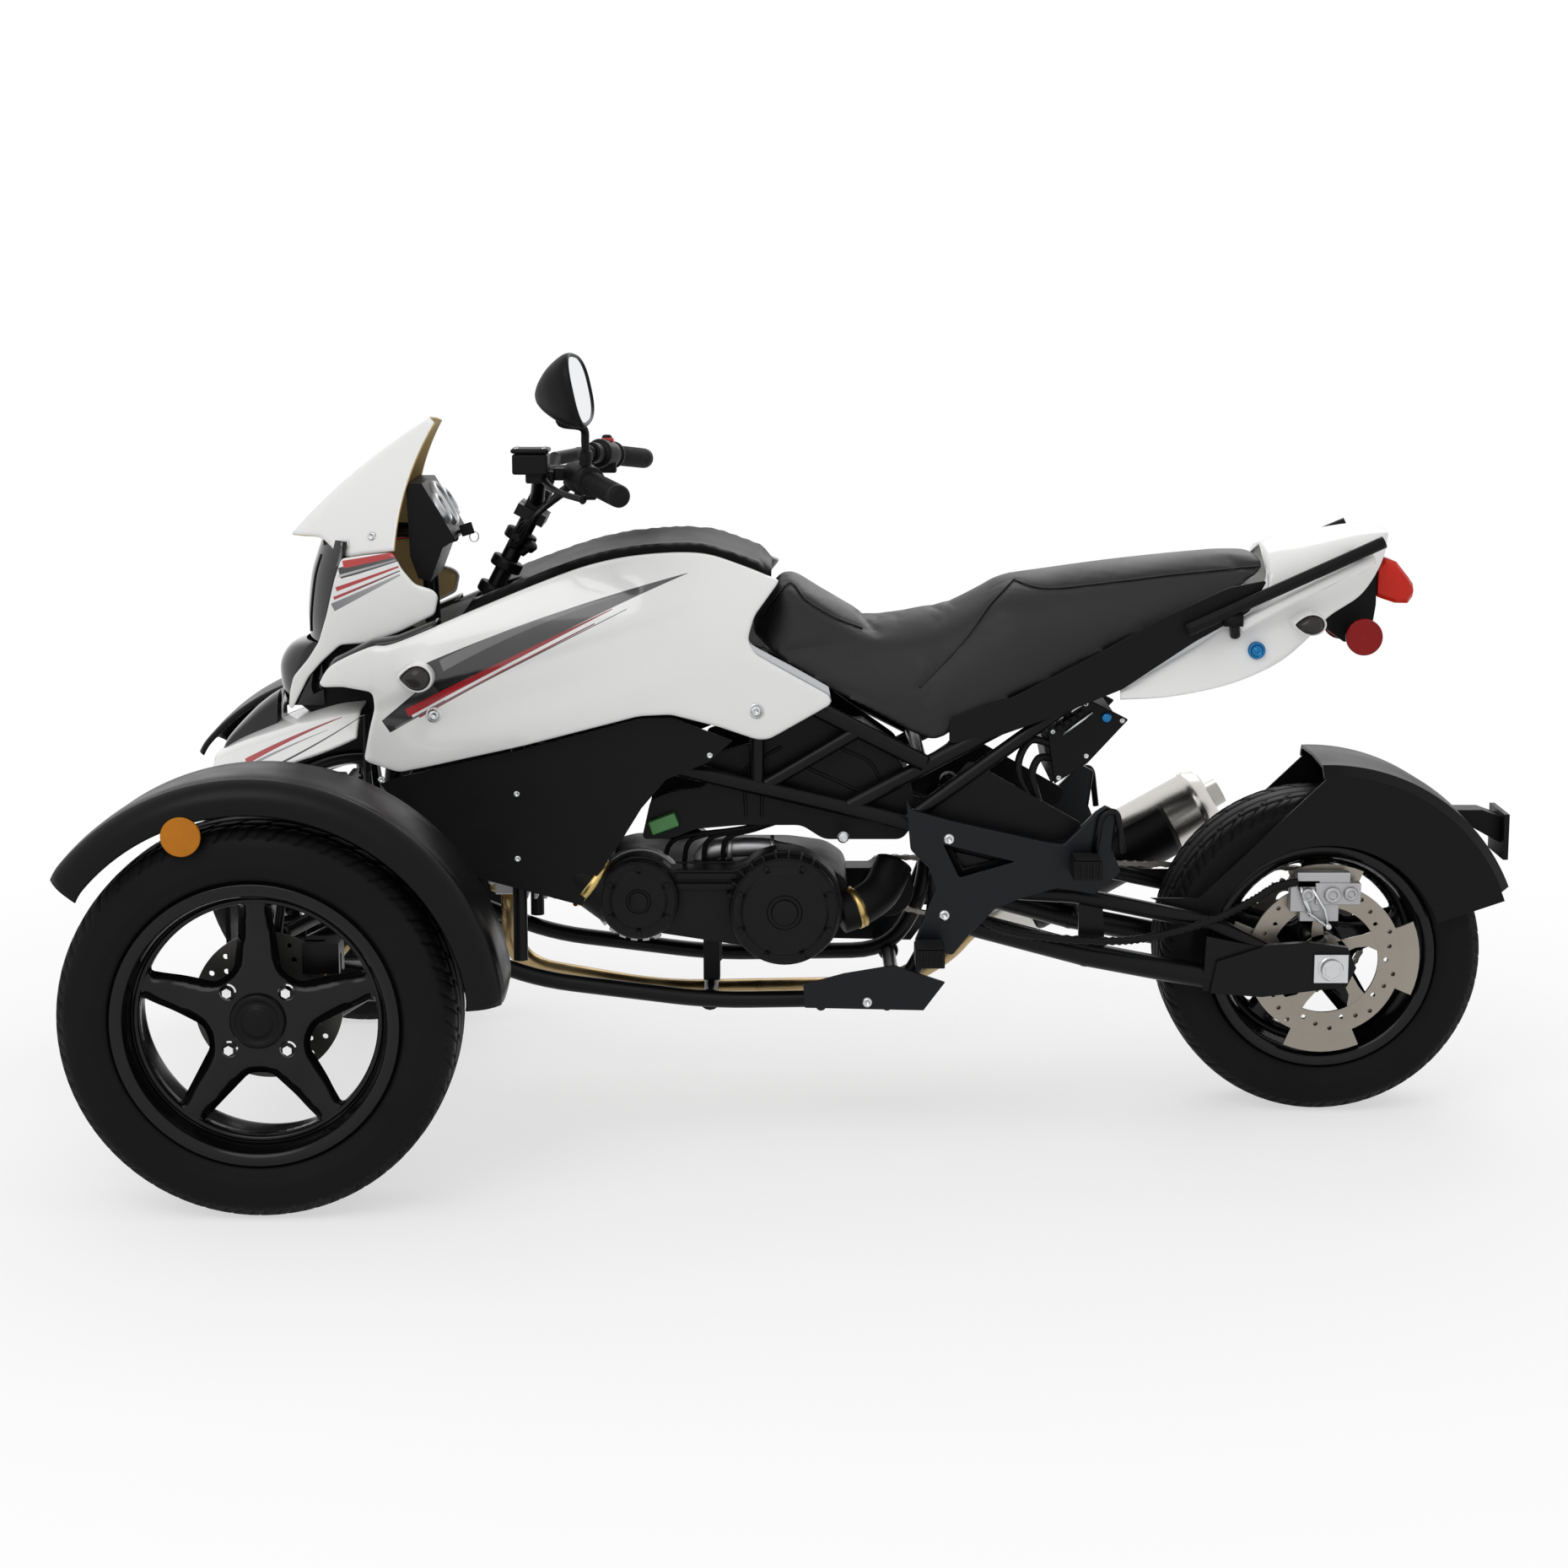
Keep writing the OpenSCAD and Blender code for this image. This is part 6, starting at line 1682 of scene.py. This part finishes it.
def make_drive():
    covers, bolts = Shape(), Shape()
    for (x, z), base, radius in ((CVT_FRONT, -189, 57), (CVT_REAR, -195, 80)):
        covers.lathe([(-4, radius), (2, radius), (4, radius - 2), (4, radius - 12), (7, radius - 15),
                      (9, radius - 17), (9, radius * 0.34), (7, radius * 0.32), (7, radius * 0.26),
                      (12, radius * 0.24), (13, radius * 0.18), (13, 0)],
                     (x, base, z), (0, -1, 0), 56)
        count = 6 if radius < 70 else 8
        for k in range(count):
            a = math.tau * (k + 0.5) / count
            hexagon(bolts, (x + (radius - 7) * math.cos(a), base - 4, z + (radius - 7) * math.sin(a)),
                    (0, -1, 0), 9, 4)
    for k in range(9):
        a = math.radians(60 + 13 * k)
        covers.sweep([(CVT_REAR[0] + r * math.cos(a), y, CVT_REAR[1] + r * math.sin(a))
                      for r, y in ((82, -170), (90, -170), (90, -190), (82, -192))], 2.2, sides=6)
    for z in (384, 400):
        covers.block((570, -176, z - 4), (662, -160, z + 4))
    softened(covers.make("transmission_covers", CHASSIS, cast_black), 1.5)
    bolts.make("transmission_bolts", CHASSIS, cast_black, smooth=False)
    softened(NODES["air_box"], 9, segments=3)
    duct = Shape()
    duct.sweep(smooth_rows([(480, -150, 356), (446, -152, 382), (414, -148, 404), (380, -130, 428)], 6),
               40, sides=28)
    duct.sweep(smooth_rows([(820, -130, 330), (850, -120, 340), (884, -96, 360), (905, -70, 398)], 6),
               30, sides=24)
    for k in range(4):
        duct.sweep(smooth_rows([(640 - 30 * k, -104, 408), (646 - 26 * k, -114, 446),
                                (690 - 10 * k, -120, 462), (722, -126, 474)], 6),
                   4, sides=8)
    duct.make("drive_ducts", CHASSIS, hose_rubber)
    bands = Shape()
    for spot, axis, radius in (((440, -152, 386), (-0.79, 0, 0.61), 41.5),
                               ((846, -122, 338), (0.9, 0.3, 0.32), 31.5)):
        bands.lathe([(-6, radius - 1), (-6, radius), (6, radius), (6, radius - 1)], spot, axis, 36)
        along = Vector(axis).normalized()
        tip = Vector(spot) + along.cross(Vector((0, 1, 0))).normalized() * radius
        bands.lathe([(-7, 4), (7, 4), (8, 2.5), (8, 0)], tuple(tip), (0, 1, 0), 10)
    bands.make("hose_clamps", CHASSIS, brass)
    inlet = Shape()
    inlet.sweep(smooth_rows([(604, -84, 406), (622, -88, 424), (700, -90, 428), (762, -86, 416)], 6),
                [13] * 5 + [15] * 9 + [13] * 5, sides=18)
    inlet.lathe([(-4, 16), (-4, 22), (4, 22), (4, 16)], (650, -89, 426), (1, 0, 0), 6)
    inlet.lathe([(-3, 16), (-3, 21), (3, 21), (3, 16)], (716, -89, 426), (1, 0, 0), 18)
    inlet.make("inlet_pipe", CHASSIS, cast_alloy)
    plug = Shape()
    plug.block((-22, -8, -11), (22, 8, 11), turned=Matrix.Rotation(-0.35, 3, "Y"), origin=(550, -146, 476))
    softened(plug.make("wiring_plug", CHASSIS, green_plastic), 3)


make_drive()


# Chain

DRIVE_SPROCKET, CHAIN_PITCH, CHAIN_PLANE = Vector((897, 335)), 15.9, 103.2


def chain_path():
    """Even points round both sprockets, as [station, height]."""
    c1, r1 = DRIVE_SPROCKET, 38.5
    c2, r2 = Vector((REAR_AXLE, REAR_WHEEL_Z)), 102
    d = c2 - c1
    a = math.atan2(d.y, d.x)
    h = math.acos((r1 - r2) / d.length)
    loop = []
    for k in range(41):
        t = a + h + (math.tau - 2 * h) * k / 40
        loop.append(c1 + Vector((math.cos(t), math.sin(t))) * r1)
    for k in range(81):
        t = a - h + 2 * h * k / 80
        loop.append(c2 + Vector((math.cos(t), math.sin(t))) * r2)
    loop.append(loop[0])
    lengths = [0.0]
    for p, q in zip(loop, loop[1:]):
        lengths.append(lengths[-1] + (q - p).length)
    count = int(lengths[-1] / CHAIN_PITCH / 2) * 2
    out = []
    index = 0
    for k in range(count):
        want = lengths[-1] * k / count
        while lengths[index + 1] < want:
            index += 1
        t = (want - lengths[index]) / (lengths[index + 1] - lengths[index])
        out.append(loop[index].lerp(loop[index + 1], t))
    return out


def make_chain():
    spots = chain_path()
    shape = Shape()
    count = len(spots)
    for k in range(count):
        p, q = spots[k], spots[(k + 1) % count]
        along = (q - p).normalized()
        up = Vector((-along.y, along.x))
        out = 5.0 if k % 2 else 3.2
        loop = [p - along * 3.6 + up * 1.8, p - along * 1.5 + up * 4.2, p.lerp(q, 0.5) + up * 2.8,
                q + along * 1.5 + up * 4.2, q + along * 3.6 + up * 1.8, q + along * 3.6 - up * 1.8,
                q + along * 1.5 - up * 4.2, p.lerp(q, 0.5) - up * 2.8, p - along * 1.5 - up * 4.2,
                p - along * 3.6 - up * 1.8]
        for y in (CHAIN_PLANE - out, CHAIN_PLANE + out):
            shape.prism([(v.x, v.y) for v in loop], y - 0.8, y + 0.8)
        shape.lathe([(-5.6, 0), (-5.6, 2.4), (-2.6, 2.4), (-2.6, 4.2), (2.6, 4.2), (2.6, 2.4), (5.6, 2.4),
                     (5.6, 0)],
                    (p.x, CHAIN_PLANE, p.y), (0, 1, 0), 8)
    shape.lathe([(99, 0), (99, 31), (100, 33), (106, 33), (107, 31), (107, 14), (112, 13), (112, 0)],
                (DRIVE_SPROCKET.x, 0, DRIVE_SPROCKET.y), (0, 1, 0), 28)
    shape.make("drive_chain", CHASSIS, chain_steel, replaces=("chain",), smooth=False)


make_chain()


# Foot controls, electrics and tail fittings


def make_foot_controls():
    for name, width in (("foot_plates", 3), ("side_boards", 2.5), ("swingarm", 2), ("lower_panels", 2),
                        ("rear_fender", 1.6), ("tail_bracket", 4), ("front_subframe", 1.5),
                        ("steering_column", 2), ("electrics_box", 5), ("knuckle_left", 2),
                        ("knuckle_right", 2), ("rear_axle", 1.2)):
        softened(NODES[name], width)
    pegs = Shape()
    for s in SIDES:
        for x, z, half, rise, y0, y1 in ((954, 292, 22, 17, 190, 258), (1190, 426, 22, 18, 190, 248)):
            pegs.block((x - half, s * y0, z - rise), (x + half, s * y1, z + rise * 0.6))
            for k in range(7):
                y = mix(y0 + 6, y1 - 6, k / 6)
                pegs.block((x - half + 2, s * (y - 2.4), z + rise * 0.6),
                           (x + half - 2, s * (y + 2.4), z + rise * 0.6 + 4))
            for k in range(5):
                u = x - half + 4 + k * (2 * half - 8) / 4
                pegs.block((u - 2, s * y1, z - rise + 3), (u + 2, s * (y1 + 3), z + rise * 0.6 - 2))
    softened(pegs.make("ribbed_pegs", CHASSIS, hose_rubber, replaces=("foot_pegs",)), 1.2)
    loops = Shape()
    for s in SIDES:
        loops.sweep(bent([(1204, s * 196, 440), (1214, s * 196, 500), (1238, s * 196, 506),
                          (1246, s * 196, 440)], 16), 5, sides=12)
    loops.make("peg_loops", CHASSIS, frame_black)


def make_electrics():
    plate, strips, screws, knob = Shape(), Shape(), Shape(), Shape()
    outline = [(1136, 626), (1196, 664), (1262, 630), (1200, 562), (1150, 530)]
    for s in SIDES:
        plate.prism(outline, s * 96, s * 106)
        for a, b in (((1140, 622), (1190, 654)), ((1162, 608), (1206, 642))):
            strips.sweep([(a[0], s * 108, a[1]), (b[0], s * 108, b[1])], 2.6, sides=8)
        for k in range(4):
            x, z = mix(1156, 1188, k / 3), mix(619, 640, k / 3)
            plate.block((-5, -3, -5), (5, 3, 5), turned=Matrix.Rotation(-0.56, 3, "Y"),
                        origin=(x, s * 109, z))
        for x, z in ((1146, 612), (1196, 655), (1252, 629), (1198, 574), (1156, 540)):
            bolt_head(screws, (x, s * 106, z), (0, s, 0), 4.5, 3)
        knob.lathe([(0, 8), (5, 8), (7, 6), (7, 0)], (1228, s * 106, 634), (0, s, 0), 20)
    softened(plate.make("fuse_covers", CHASSIS, satin_black), 2)
    strips.make("fuse_strips", CHASSIS, zinc)
    screws.make("fuse_screws", CHASSIS, zinc)
    knob.make("fuse_knobs", CHASSIS, blue_plug)


def make_tail_fittings():
    rail, tube, plug = Shape(), Shape(), Shape()
    for s in SIDES:
        rail.sweep(smooth_rows([(1340, s * 166, 775), (1440, s * 166, 821), (1560, s * 163, 875),
                                (1634, s * 158, 908)], 6), 9.5, sides=16)
        for a, b in (((1408, 164, 806), (1418, 134, 764)), ((1600, 160, 893), (1600, 91, 882))):
            rail.sweep([(a[0], s * a[1], a[2]), (b[0], s * b[1], b[2])], 8, sides=12)
        rail.block((1396, s * 150, 782), (1424, s * 172, 800))
        tube.sweep(smooth_rows([(1421, s * 152, 780), (1500, s * 150, 822), (1580, s * 143, 862),
                                (1622, s * 134, 882)], 6), 10, sides=16)
        plug.lathe([(-6, 13), (2, 13), (4, 11), (3, 9), (2, 9), (2, 3), (4, 2.4), (4, 0)],
                   (1450, s * 142, 742), (0, s, 0), 28)
    rail.make("grab_rails", CHASSIS, satin_black, replaces=("grab_handles",))
    tube.make("tail_tubes", CHASSIS, white_paint)
    plug.make("tail_plugs", CHASSIS, blue_plug)


def make_rear_fittings():
    body, arm, sleeve, coil = Shape(), Shape(), Shape(), Shape()
    y = -104
    body.block((1514, y - 26, 334), (1560, y - 6, 384))
    body.block((1552, y - 30, 346), (1622, y - 8, 380))
    body.block((1530, y - 22, 318), (1590, y - 8, 350))
    body.block((1524, y - 26, 372), (1606, y - 4, 396))
    for x, z, r in ((1540, 362, 11), (1578, 362, 13), (1606, 364, 11)):
        body.lathe([(0, r), (8, r), (10, r - 2), (10, r * 0.5), (6, r * 0.5), (6, 0)],
                   (x, y - 28, z), (0, -1, 0), 20)
    softened(body.make("rear_caliper_body", CHASSIS, cast_alloy, replaces=("rear_caliper",)), 2.5)
    arm.sweep([(1528, y - 30, 374), (1536, y - 34, 352), (1546, y - 34, 330)], 4, sides=8)
    arm.sweep([(1546, y - 36, 372), (1566, y - 36, 340), (1572, y - 36, 312)], 2.2, sides=8)
    arm.lathe([(-4, 5), (4, 5), (5, 3), (5, 0)], (1572, y - 36, 313), (0, -1, 0), 12)
    arm.make("brake_arm", CHASSIS, zinc)
    path = [(1540 + 32 * t + 3.6 * math.cos(k * 1.2), y - 35 + 3.6 * math.sin(k * 1.2), 336 - 24 * t)
            for k, t in ((k, k / 60) for k in range(61))]
    coil.sweep(path, 1.1, sides=6)
    coil.make("brake_arm_spring", CHASSIS, zinc)
    route = smooth_rows([(1008, -168, 352), (1060, -168, 318), (1132, -166, 303), (1232, -164, 296),
                         (1300, -160, 302), (1387, -152, 324), (1451, -146, 354), (1490, -140, 376),
                         (1524, -134, 382)], 14)
    sleeve.sweep(route, [7.2 if k % 2 else 5.4 for k in range(len(route))], sides=10)
    sleeve.make("ribbed_sleeve", CHASSIS, hose_rubber)
    hexes = Shape()
    for s in SIDES:
        hexes.lathe([(0, 20), (2, 20), (3, 18)], (REAR_AXLE, s * 166.4, REAR_WHEEL_Z), (0, s, 0), 28)
        hexagon(hexes, (REAR_AXLE, s * 168, REAR_WHEEL_Z), (0, s, 0), 30, 11)
        bolt_head(hexes, (824, s * 172, 460), (0, s, 0), 9, 6)
    hexes.make("rear_axle_nuts", CHASSIS, zinc, smooth=False)


for build in (make_foot_controls, make_electrics, make_tail_fittings, make_rear_fittings):
    build()


# Front fenders

FENDER_RADIUS, FENDER_HALF = 345, 95
FENDER_FRONT, FENDER_REAR = 143, 5
FENDER_PROFILE = [
    # share of the half width, rise over the crown
    (-1.0, -9), (-0.985, -4), (-0.94, -0.5), (-0.88, 1), (-0.8, 0.4), (-0.4, 2.4), (0, 3.6), (0.4, 4),
    (0.6, 3.2), (0.68, 1.2), (0.73, 2.6), (0.79, 1.4), (0.88, -5), (0.95, -13), (0.985, -20), (1.0, -28),
    (1.0, -43), (0.975, -46)]


def make_fenders():
    for s, side in ((-1, "left"), (1, "right")):
        rows = []
        steps = 96
        for k in range(steps + 1):
            turn = math.radians(mix(FENDER_REAR, FENDER_FRONT, k / steps))
            tip = min(k, steps - k) / 3
            drop = 0 if tip >= 1 else 3 * (1 - tip) ** 2
            row = []
            for share, rise in FENDER_PROFILE:
                radius = FENDER_RADIUS + rise - drop
                row.append((radius * math.cos(turn), s * (FRONT_WHEEL_Y + share * FENDER_HALF),
                            FRONT_WHEEL_Z + radius * math.sin(turn)))
            rows.append(row)
        shape = Shape()
        shape.grid(rows)
        piece = shape.make(side + "_fender_shell", side + "_knuckle", fender_black,
                           replaces=("fender_" + side,))
        thick(piece, 3.5)


# Engine


def arc(middle, radius, start, end, steps=24):
    turns = [math.radians(mix(start, end, k / steps)) for k in range(steps + 1)]
    return [(middle[0] + radius * math.cos(a), middle[1] + radius * math.sin(a)) for a in turns]


CRANKCASE = [(455, 332), (478, 306), (515, 298), (560, 306), (640, 312), (672, 290), (705, 270), (745, 264),
             (790, 280), (822, 312), (836, 350), (830, 382), (800, 402), (740, 410), (640, 410),
             (560, 409), (500, 414), (462, 404)]


def make_engine():
    case = Shape()
    case.prism(rounded(CRANKCASE, 12, 3), -112, 104)
    for y in (-80, 50):
        case.block((608, y, 213.3), (634, y + 30, 330))
    case.lathe([(0, 78), (30, 78), (40, 74), (46, 64), (46, 0)], (560, 104, 350), (0, 1, 0), 48)
    case.lathe([(0, 60), (20, 60), (28, 54), (28, 0)], (735, 104, 340), (0, 1, 0), 40)
    case.lathe([(30, 0), (30, 44), (92, 44), (95, 41), (95, 0)],
               (DRIVE_SPROCKET.x, 0, DRIVE_SPROCKET.y), (0, 1, 0), 32)
    case.block((800, 30, 300), (900, 90, 370))
    softened(case.make("crankcase", CHASSIS, cast_black, replaces=("engine",)), 3)
    barrel = Shape()
    for i in range(8):
        barrel.block((328 + i * 15, -64, 340), (334 + i * 15, 64, 464))
    barrel.lathe([(310, 0), (310, 50), (470, 50)], (0, 0, 400), (1, 0, 0), 32)
    barrel.block((282, -58, 346), (322, 58, 458))
    barrel.block((270, -44, 360), (284, 44, 444))
    softened(barrel.make("cylinder_fins", CHASSIS, cast_alloy), 2)
    cover = Shape()
    cover.prism(arc(CVT_FRONT, 65, 42, 300) + arc(CVT_REAR, 89, 222, 490, 40) + [(655, 408), (570, 408)],
                -168, -112.3)
    cover.lathe([(-4, 61), (20, 61), (22, 58), (22, 0)], (CVT_FRONT[0], -168, CVT_FRONT[1]), (0, -1, 0), 56)
    cover.lathe([(-4, 84), (26, 84), (28, 81), (28, 0)], (CVT_REAR[0], -168, CVT_REAR[1]), (0, -1, 0), 64)
    softened(cover.make("transmission_case", CHASSIS, cast_black, replaces=("cvt_cover",)), 3)
    ring = Shape()
    ring.lathe([(0, 60), (0, 69), (10, 69), (12, 67), (12, 60)],
               (CVT_FRONT[0], -112, CVT_FRONT[1]), (0, -1, 0), 48)
    for k in range(13):
        a = math.radians(150 + 14 * k)
        ring.block((-5, -16, -4), (5, 0, 9), turned=Matrix.Rotation(math.pi / 2 - a, 3, "Y"),
                   origin=(CVT_FRONT[0] + 68 * math.cos(a), -112, CVT_FRONT[1] + 68 * math.sin(a)))
    ring.make("case_flange", CHASSIS, cast_alloy, smooth=False)


# Cables, trim strips and recesses


def panel_top(x):
    """Height of the side panel's upper edge."""
    for a, b in zip(PANEL_TOP, PANEL_TOP[1:]):
        if x <= b[0]:
            return mix(a[1], b[1], (x - a[0]) / (b[0] - a[0]))
    return PANEL_TOP[-1][1]


def make_strips():
    rows = []
    for k in range(18):
        x = mix(44, 214, k / 17)
        z = panel_top(x)
        y = panel_side(x, z)
        rows.append([(x, y - 4, z - 6), (x, y - 4, z + 3), (x, y - 12, z + 7), (x, y - 36, z + 8),
                     (x, y - 70, z + 2)])
    shape = Shape()
    shape.grid(rows)
    thick(shape.mirrored().make("upper_trim", CHASSIS, gloss_black), 2.5)
    recess = Shape()
    for s in SIDES:
        recess.prism([(970, 454), (1090, 426), (998, 396)], s * 177, s * 181)
        recess.sweep([(990, s * 182, 442), (1056, s * 182, 426), (1006, s * 182, 412)], 2, sides=8,
                     closed=True)
    recess.make("plate_recess", CHASSIS, satin_black)


def make_cables():
    loom, clips = Shape(), Shape()
    for s in SIDES:
        for k in range(4):
            w = 6 * (k - 1.5)
            loom.sweep(smooth_rows([along_grip(172, s, (-16 + 6 * k, 0, -10)),
                                    (410 - 8 * k, s * (200 - 8 * k), 976 - w),
                                    (368 - 6 * k, s * (110 - 14 * k), 944 - w),
                                    (334 - 2 * k, s * (42 - 4 * k), 912 + w),
                                    (316 - 2 * k, s * (20 - 3 * k), 886)], 8), 3.6, sides=8)
    for h in (24, 70, 118, 160):
        spot = (271 + 0.46 * h, 0, 797 + 0.888 * h)
        clips.lathe([(-9, 14), (-9, 23), (-7, 25), (7, 25), (9, 23), (9, 14)], spot, (0.46, 0, 0.888), 20)
        clips.block((-6, -34, -7), (6, -18, 7), origin=spot)
    clips.lathe([(0, 5), (14, 5), (15, 9), (26, 9), (28, 6), (28, 0)],
                (330, -34, 878), (0.5, -0.3, 0.4), 14)
    loom.make("control_cables", STEERING, hose_rubber)
    softened(clips.make("column_clips", STEERING, satin_black), 1.5)
    hoses = Shape()
    for path in ([(1142, -98, 592), (1112, -116, 600), (1094, -122, 572), (1096, -124, 540),
                  (1112, -126, 508), (1120, -128, 480)],
                 [(1142, -98, 570), (1124, -118, 572), (1114, -122, 550), (1119, -124, 524),
                  (1130, -126, 490)]):
        hoses.sweep(smooth_rows(path, 8), 6, sides=10)
    hoses.make("tail_hoses", CHASSIS, hose_rubber)


for build in (make_fenders, make_engine, make_strips, make_cables):
    build()


# Inner covers

INNER_COVER = [(516, 450), (530, 512), (560, 524), (612, 530), (618, 545), (608, 578), (693, 602),
               (795, 653), (914, 569), (940, 483), (915, 450), (795, 450), (761, 472), (667, 472),
               (599, 466), (566, 452)]
NOSE_COVER = [(-18, 650), (6, 704), (60, 744), (130, 756), (172, 752), (172, 690), (120, 640), (60, 624),
              (10, 628)]
PIVOT_COVER = [(932, 479), (1017, 574), (1189, 477), (1181, 453), (1104, 444), (1018, 444)]
SEAT_SKIRT = [(985, 600), (1057, 611), (1152, 645), (1247, 684), (1354, 756), (1436, 802), (1462, 850),
              (1403, 838), (1300, 790), (1200, 734), (1080, 672), (985, 640)]


def make_inner_covers():
    shape = Shape()
    for s in SIDES:
        shape.prism(rounded(INNER_COVER, 10, 4), s * 132, s * 139)
        shape.prism(rounded(PIVOT_COVER, 8, 4), s * 145, s * 150)
        shape.prism(rounded(NOSE_COVER, 8, 4), s * 54, s * 58)
        shape.prism(rounded(SEAT_SKIRT, 8, 4), s * 148, s * 152)
        for path in ([(676, 486), (672, 560), (730, 594)],
                     [(700, 486), (700, 540), (760, 566), (860, 520), (868, 486)],
                     [(800, 600), (866, 572), (888, 530)]):
            shape.sweep(bent([(x, s * 139, z) for x, z in path], 14), 3, sides=8)
    softened(shape.make("inner_covers", CHASSIS, satin_black), 1.5)


make_inner_covers()


# Stage


def seen_directly(tree):
    """1 for rays from the camera, in reflections and through glass."""
    path = tree.nodes.new("ShaderNodeLightPath")
    return maths(tree, "MAXIMUM", path.outputs["Is Camera Ray"],
                 maths(tree, "MAXIMUM", path.outputs["Is Glossy Ray"], path.outputs["Is Transmission Ray"]))


def white_floor():
    """A pale floor that keeps the shadow near the wheels and fades to white further out."""
    material = finish("pale_floor", (0.93, 0.93, 0.93), 0.8, drift=0.01, bump=0.02, patch=2.0)
    tree = material.node_tree
    out = next(n for n in tree.nodes if n.type == "OUTPUT_MATERIAL")
    surface = out.inputs["Surface"].links[0].from_socket
    white = tree.nodes.new("ShaderNodeEmission")
    place = tree.nodes.new("ShaderNodeNewGeometry")
    reach = node(tree, "ShaderNodeVectorMath", {0: place.outputs["Position"]})
    reach.operation = "LENGTH"
    fade = tree.nodes.new("ShaderNodeMapRange")
    fade.interpolation_type = "SMOOTHSTEP"
    for key, value in (("From Min", 0.9), ("From Max", 2.6), ("To Min", 0.6), ("To Max", 1.0)):
        fade.inputs[key].default_value = value
    tree.links.new(reach.outputs["Value"], fade.inputs["Value"])
    both = tree.nodes.new("ShaderNodeMixShader")
    tree.links.new(maths(tree, "MULTIPLY", seen_directly(tree), fade.outputs["Result"]), both.inputs[0])
    tree.links.new(surface, both.inputs[1])
    tree.links.new(white.outputs[0], both.inputs[2])
    tree.links.new(both.outputs[0], out.inputs["Surface"])
    return material


def make_stage():
    """A pale floor under a bright overhead sky, with a large soft lamp on each side."""
    world = bpy.data.worlds.new("studio")
    bpy.context.scene.world = world
    world.use_nodes = True
    tree = world.node_tree
    tree.nodes.clear()
    out = tree.nodes.new("ShaderNodeOutputWorld")
    sky = tree.nodes.new("ShaderNodeBackground")
    shown = tree.nodes.new("ShaderNodeBackground")
    shown.inputs["Color"].default_value = (1, 1, 1, 1)
    both = tree.nodes.new("ShaderNodeMixShader")
    place = tree.nodes.new("ShaderNodeTexCoord")
    split = node(tree, "ShaderNodeSeparateXYZ", {0: place.outputs["Generated"]})
    ramp = tree.nodes.new("ShaderNodeValToRGB")
    ramp.color_ramp.elements[0].position = 0.02
    ramp.color_ramp.elements[0].color = (0.16, 0.16, 0.165, 1)
    ramp.color_ramp.elements[1].position = 0.75
    ramp.color_ramp.elements[1].color = (1, 1, 1, 1)
    tree.links.new(split.outputs[2], ramp.inputs[0])
    tree.links.new(ramp.outputs[0], sky.inputs["Color"])
    sky.inputs["Strength"].default_value = 0.85
    tree.links.new(seen_directly(tree), both.inputs[0])
    tree.links.new(sky.outputs[0], both.inputs[1])
    tree.links.new(shown.outputs[0], both.inputs[2])
    tree.links.new(both.outputs[0], out.inputs[0])

    mesh = bpy.data.meshes.new("floor")
    reach = 14.0
    mesh.from_pydata([(-reach, -reach, 0), (reach, -reach, 0), (reach, reach, 0), (-reach, reach, 0)], [],
                     [(0, 1, 2, 3)])
    floor = bpy.data.objects.new("floor", mesh)
    floor.location.z = -0.0005
    bpy.context.scene.collection.objects.link(floor)
    mesh.materials.append(white_floor())

    for name, spot, size, power in (("key", (-1.6, -3.6, 3.6), 3.0, 52),
                                    ("back", (1.2, 3.4, 3.2), 3.0, 44)):
        lamp = bpy.data.lights.new(name, "AREA")
        lamp.shape = "DISK"
        lamp.size = size
        lamp.energy = power
        holder = bpy.data.objects.new(name, lamp)
        holder.location = spot
        aim = Vector((0, 0, 0.5)) - Vector(spot)
        holder.rotation_euler = aim.to_track_quat("-Z", "Y").to_euler()
        bpy.context.scene.collection.objects.link(holder)


CAMERA_LENS = 69.34
CAMERA_STATION = 734
CAMERA_DISTANCE = 4680
CAMERA_HEIGHT = 1346.5
CAMERA_TILT = 0.1766


def make_camera():
    """The photograph's viewpoint: square to the left side, looking slightly down."""
    data = bpy.data.cameras.new("view")
    data.lens = CAMERA_LENS
    data.sensor_width = 36
    camera = bpy.data.objects.new("view", data)
    camera.location = at(CAMERA_STATION, -CAMERA_DISTANCE, CAMERA_HEIGHT)
    camera.rotation_euler = (math.pi / 2 - CAMERA_TILT, 0, 0)
    bpy.context.scene.collection.objects.link(camera)
    bpy.context.scene.camera = camera


make_stage()
make_camera()
bpy.context.scene.view_settings.view_transform = "Standard"
